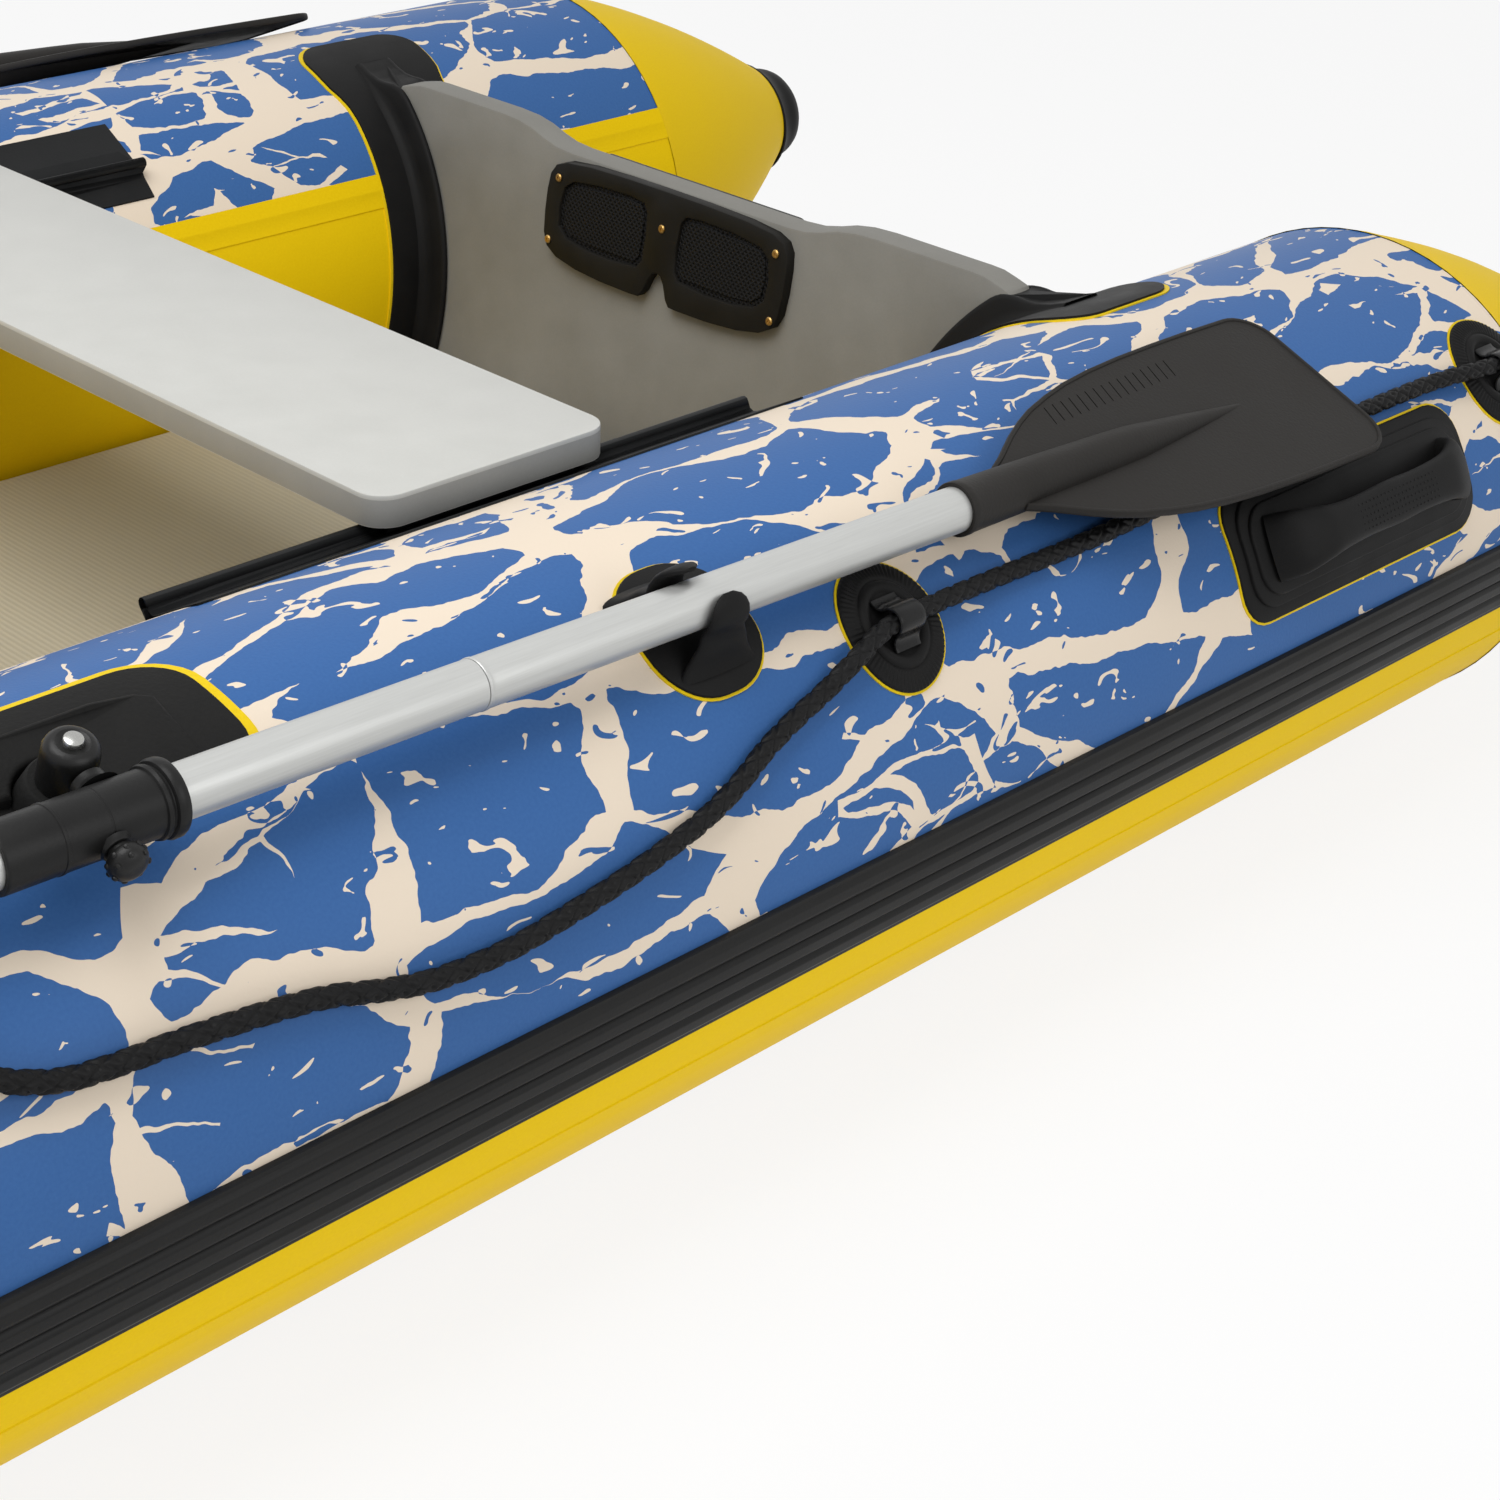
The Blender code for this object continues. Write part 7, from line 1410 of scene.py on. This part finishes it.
for name, side in SIDES.items():
    route = [on_tube(side, ahead, angle, ROPE_RADIUS + (OVER_DISC if on_disc else OVER_SKIN))
             for ahead, angle, on_disc in ROPE_ROUTE]
    path, length = even_points(smooth_points(route, 20), 80)
    fine, _ = even_points(smooth_points(path, 30), 2200)
    frames = []
    round_way = Vector((0, 0, 1))
    for k, spot in enumerate(fine):
        way = (fine[min(len(fine) - 1, k + 1)] - fine[max(0, k - 1)]).normalized()
        round_way = (round_way - way * round_way.dot(way)).normalized()
        frames.append((spot, round_way, way.cross(round_way)))
    columns = len(fine) - 1

    def strand_place(s, t):
        spot, right, up = frames[round(s * columns)]
        turn = 2 * math.pi * t
        run = s * length / STRAND_PITCH * 2 * math.pi
        left_hand, right_hand = math.sin(3 * turn + run), math.sin(3 * turn - run)
        over = math.cos(3 * turn) * math.cos(run)
        bulge = abs(left_hand) ** 0.7 if over > 0 else abs(right_hand) ** 0.7
        radius = ROPE_RADIUS * (0.80 + 0.35 * bulge)
        end = min(s, 1 - s) * length
        if end < ROPE_END:
            radius *= math.sqrt(max(0.0, 1 - (1 - end / ROPE_END) ** 2))
        return spot + right * radius * math.cos(turn) + up * radius * math.sin(turn)

    bm = bent_grid(columns, 36, strand_place, lambda s, t: (s * length, t * 0.038), closed=True)
    face_outwards(bm)
    rope = piece(name + "_plaited_rope", bm, cord_black, stands_for=[name + "_grab_rope"], crease=180)
    tuple(path[0])
    [tuple(point) for point in path]

# Carry handles
# Moulded rubber handles glued low on the tubes: a thin base, two raised ledges, and a bar that springs
# from scooped ends and has rows of dots for grip.
HANDLE_AHEAD = -0.055
HANDLE_ENDS = (HANDLE_AHEAD - 0.155, HANDLE_AHEAD + 0.155)
HANDLE_ANGLES = (13.5, 42)
BAR_FOOT = 0.0085
BAR_RISE = 0.0275
BAR_TOP = 0.0360
BAR_HALF_WIDTH = 0.0165
BAR_HALF_DEPTH = 0.0085
BAR_SHARES = ((-1.0, 0.0, 1.0), (-0.90, 0.62, 0.86), (-0.74, 0.93, 0.42), (-0.58, 1.0, 0.12),
              (-0.3, 1.0, 0.0), (0.0, 1.0, 0.10), (0.3, 1.0, 0.0), (0.58, 1.0, 0.12), (0.74, 0.93, 0.42),
              (0.90, 0.62, 0.86), (1.0, 0.0, 1.0))


def ledges(side, ends, angles, layers):
    """A handle's stepped base: thin rounded plates one on another."""
    made = []
    for grow, low, high, corner in layers:
        bm = plate(rounded_box(ends, angles, grow), high - low, corner)
        soften(bm, 0.0014, 2, 60.0, above(0.0015))
        bmesh.ops.translate(bm, verts=bm.verts[:], vec=(0, 0, low))
        made.append(wrap(bm, side))
    return made


def handle_bar(frame_at, half_length):
    """A raised bar with scooped ends that swell into the base."""
    stations = []
    for along, rise, swell in smooth_points(BAR_SHARES, 6):
        here, fore, around, outward = frame_at(along * half_length)
        height = BAR_FOOT + BAR_RISE * rise
        over = max(0.0, (abs(along) - 0.62) / 0.38)
        lean = math.copysign(math.radians(60) * over, along)
        normal = outward * math.cos(lean) + fore * math.sin(lean)
        width = BAR_HALF_WIDTH + 0.0095 * swell
        stations.append((here + outward * height, around, normal, width, BAR_HALF_DEPTH))
    return swept(stations, 28, 2.3)


def dotted(frame_at, length, rows, columns):
    """Rows of small round studs along the bar's top."""
    parts = []
    for i in range(columns):
        for j in range(rows):
            here, fore, around, outward = frame_at((i / (columns - 1) - 0.5) * length)
            across = (j / (rows - 1) - 0.5) * 0.019
            drop = BAR_HALF_DEPTH * (1 - (1 - (abs(across) / BAR_HALF_WIDTH) ** 2.3) ** (1 / 2.3))
            spot = here + outward * (BAR_TOP + 0.0084 - drop) + around * across
            stud = turned([(-0.0008, 0.0), (-0.0008, 0.0010), (0.0003, 0.0009), (0.0006, 0.0)], 8)
            parts.append(placed(stud, spot, outward, fore))
    return parts


for name, side in SIDES.items():
    parts = ledges(side, HANDLE_ENDS, HANDLE_ANGLES, ((0.0, 0.0, 0.0030, 0.028),
                                                      (-0.010, 0.0020, 0.0062, 0.026),
                                                      (-0.018, 0.0045, 0.0092, 0.024)))
    bm = plate(rounded_box(HANDLE_ENDS, HANDLE_ANGLES, 0.0018), 0.0011, 0.0298)
    piece(name + "_handle_edge", wrap(bm, side), trim_yellow, slot=name + "_carry_handle")

    def frame_at(offset):
        return skin_frame(side, HANDLE_AHEAD + offset, sum(HANDLE_ANGLES) / 2)

    parts.append(handle_bar(frame_at, 0.118))
    parts += dotted(frame_at, 0.100, 5, 21)
    piece(name + "_handle_moulding", joined(parts), rubber, stands_for=[name + "_carry_handle"], crease=50)

# Bow handle
# The same moulding in a shorter size, glued round the top of the bow.
BOW_TIP = BOW_START_AHEAD + BOW_QUARTER
BOW_HANDLE_REACH = BOW_QUARTER / 8


def bow_frame(offset):
    """Directions on the round of the bow at an offset from its tip."""
    return skin_frame(-1, BOW_TIP + offset, 62)


parts = ledges(-1, (BOW_TIP - BOW_HANDLE_REACH, BOW_TIP + BOW_HANDLE_REACH), (52, 72),
               ((0.0, 0.0006, 0.0040, 0.020), (-0.008, 0.0020, 0.0090, 0.016)))
parts.append(handle_bar(bow_frame, 0.092))
piece("bow_handle_moulding", joined(parts), rubber, stands_for=["bow_handle"], crease=50)

# Valves
# Moulded valves through the skin of each chamber, with bayonet caps that have a cross grip.
VALVE_AHEAD = 1.060
VALVE_ANGLE = 127.5
places = {name: (side, VALVE_AHEAD) for name, side in SIDES.items()}
places["bow"] = (1, BOW_START_AHEAD + BOW_QUARTER * 7.5 / 8)
for name, (side, ahead) in places.items():
    here, fore, around, outward = skin_frame(side, ahead, VALVE_ANGLE)
    body = [(0.0031, 0.0121), (0.0031, 0.0222), (0.0026, 0.0238), (0.0014, 0.0249), (0.0003, 0.0250),
            (0.0003, 0.0170), (-0.0240, 0.0170), (-0.0240, 0.0121)]
    piece(name + "_valve_ring", placed(ring(body), here, outward, fore), hard_black,
          stands_for=[name + "_valve_body"])
    lid = [(-0.0028, 0.0), (-0.0028, 0.0106), (0.0042, 0.0107), (0.0042, 0.0195), (0.0047, 0.0200),
           (0.0068, 0.0200), (0.0082, 0.0188), (0.0087, 0.0170), (0.0087, 0.0)]
    parts = [placed(turned(lid), here, outward, fore)]
    for turn in (0, 90):
        bar = plate([(-0.0160, -0.0018), (0.0160, -0.0018), (0.0160, 0.0018), (-0.0160, 0.0018)], 0.0026,
                    0.0016, 3)
        way = fore * math.cos(math.radians(turn)) + around * math.sin(math.radians(turn))
        parts.append(in_frame(bar, here + outward * 0.0086, way, outward.cross(way), outward))
    piece(name + "_valve_lid", joined(parts), sleeve_plastic, name + "_cap", stands_for=[name + "_valve_cap"])
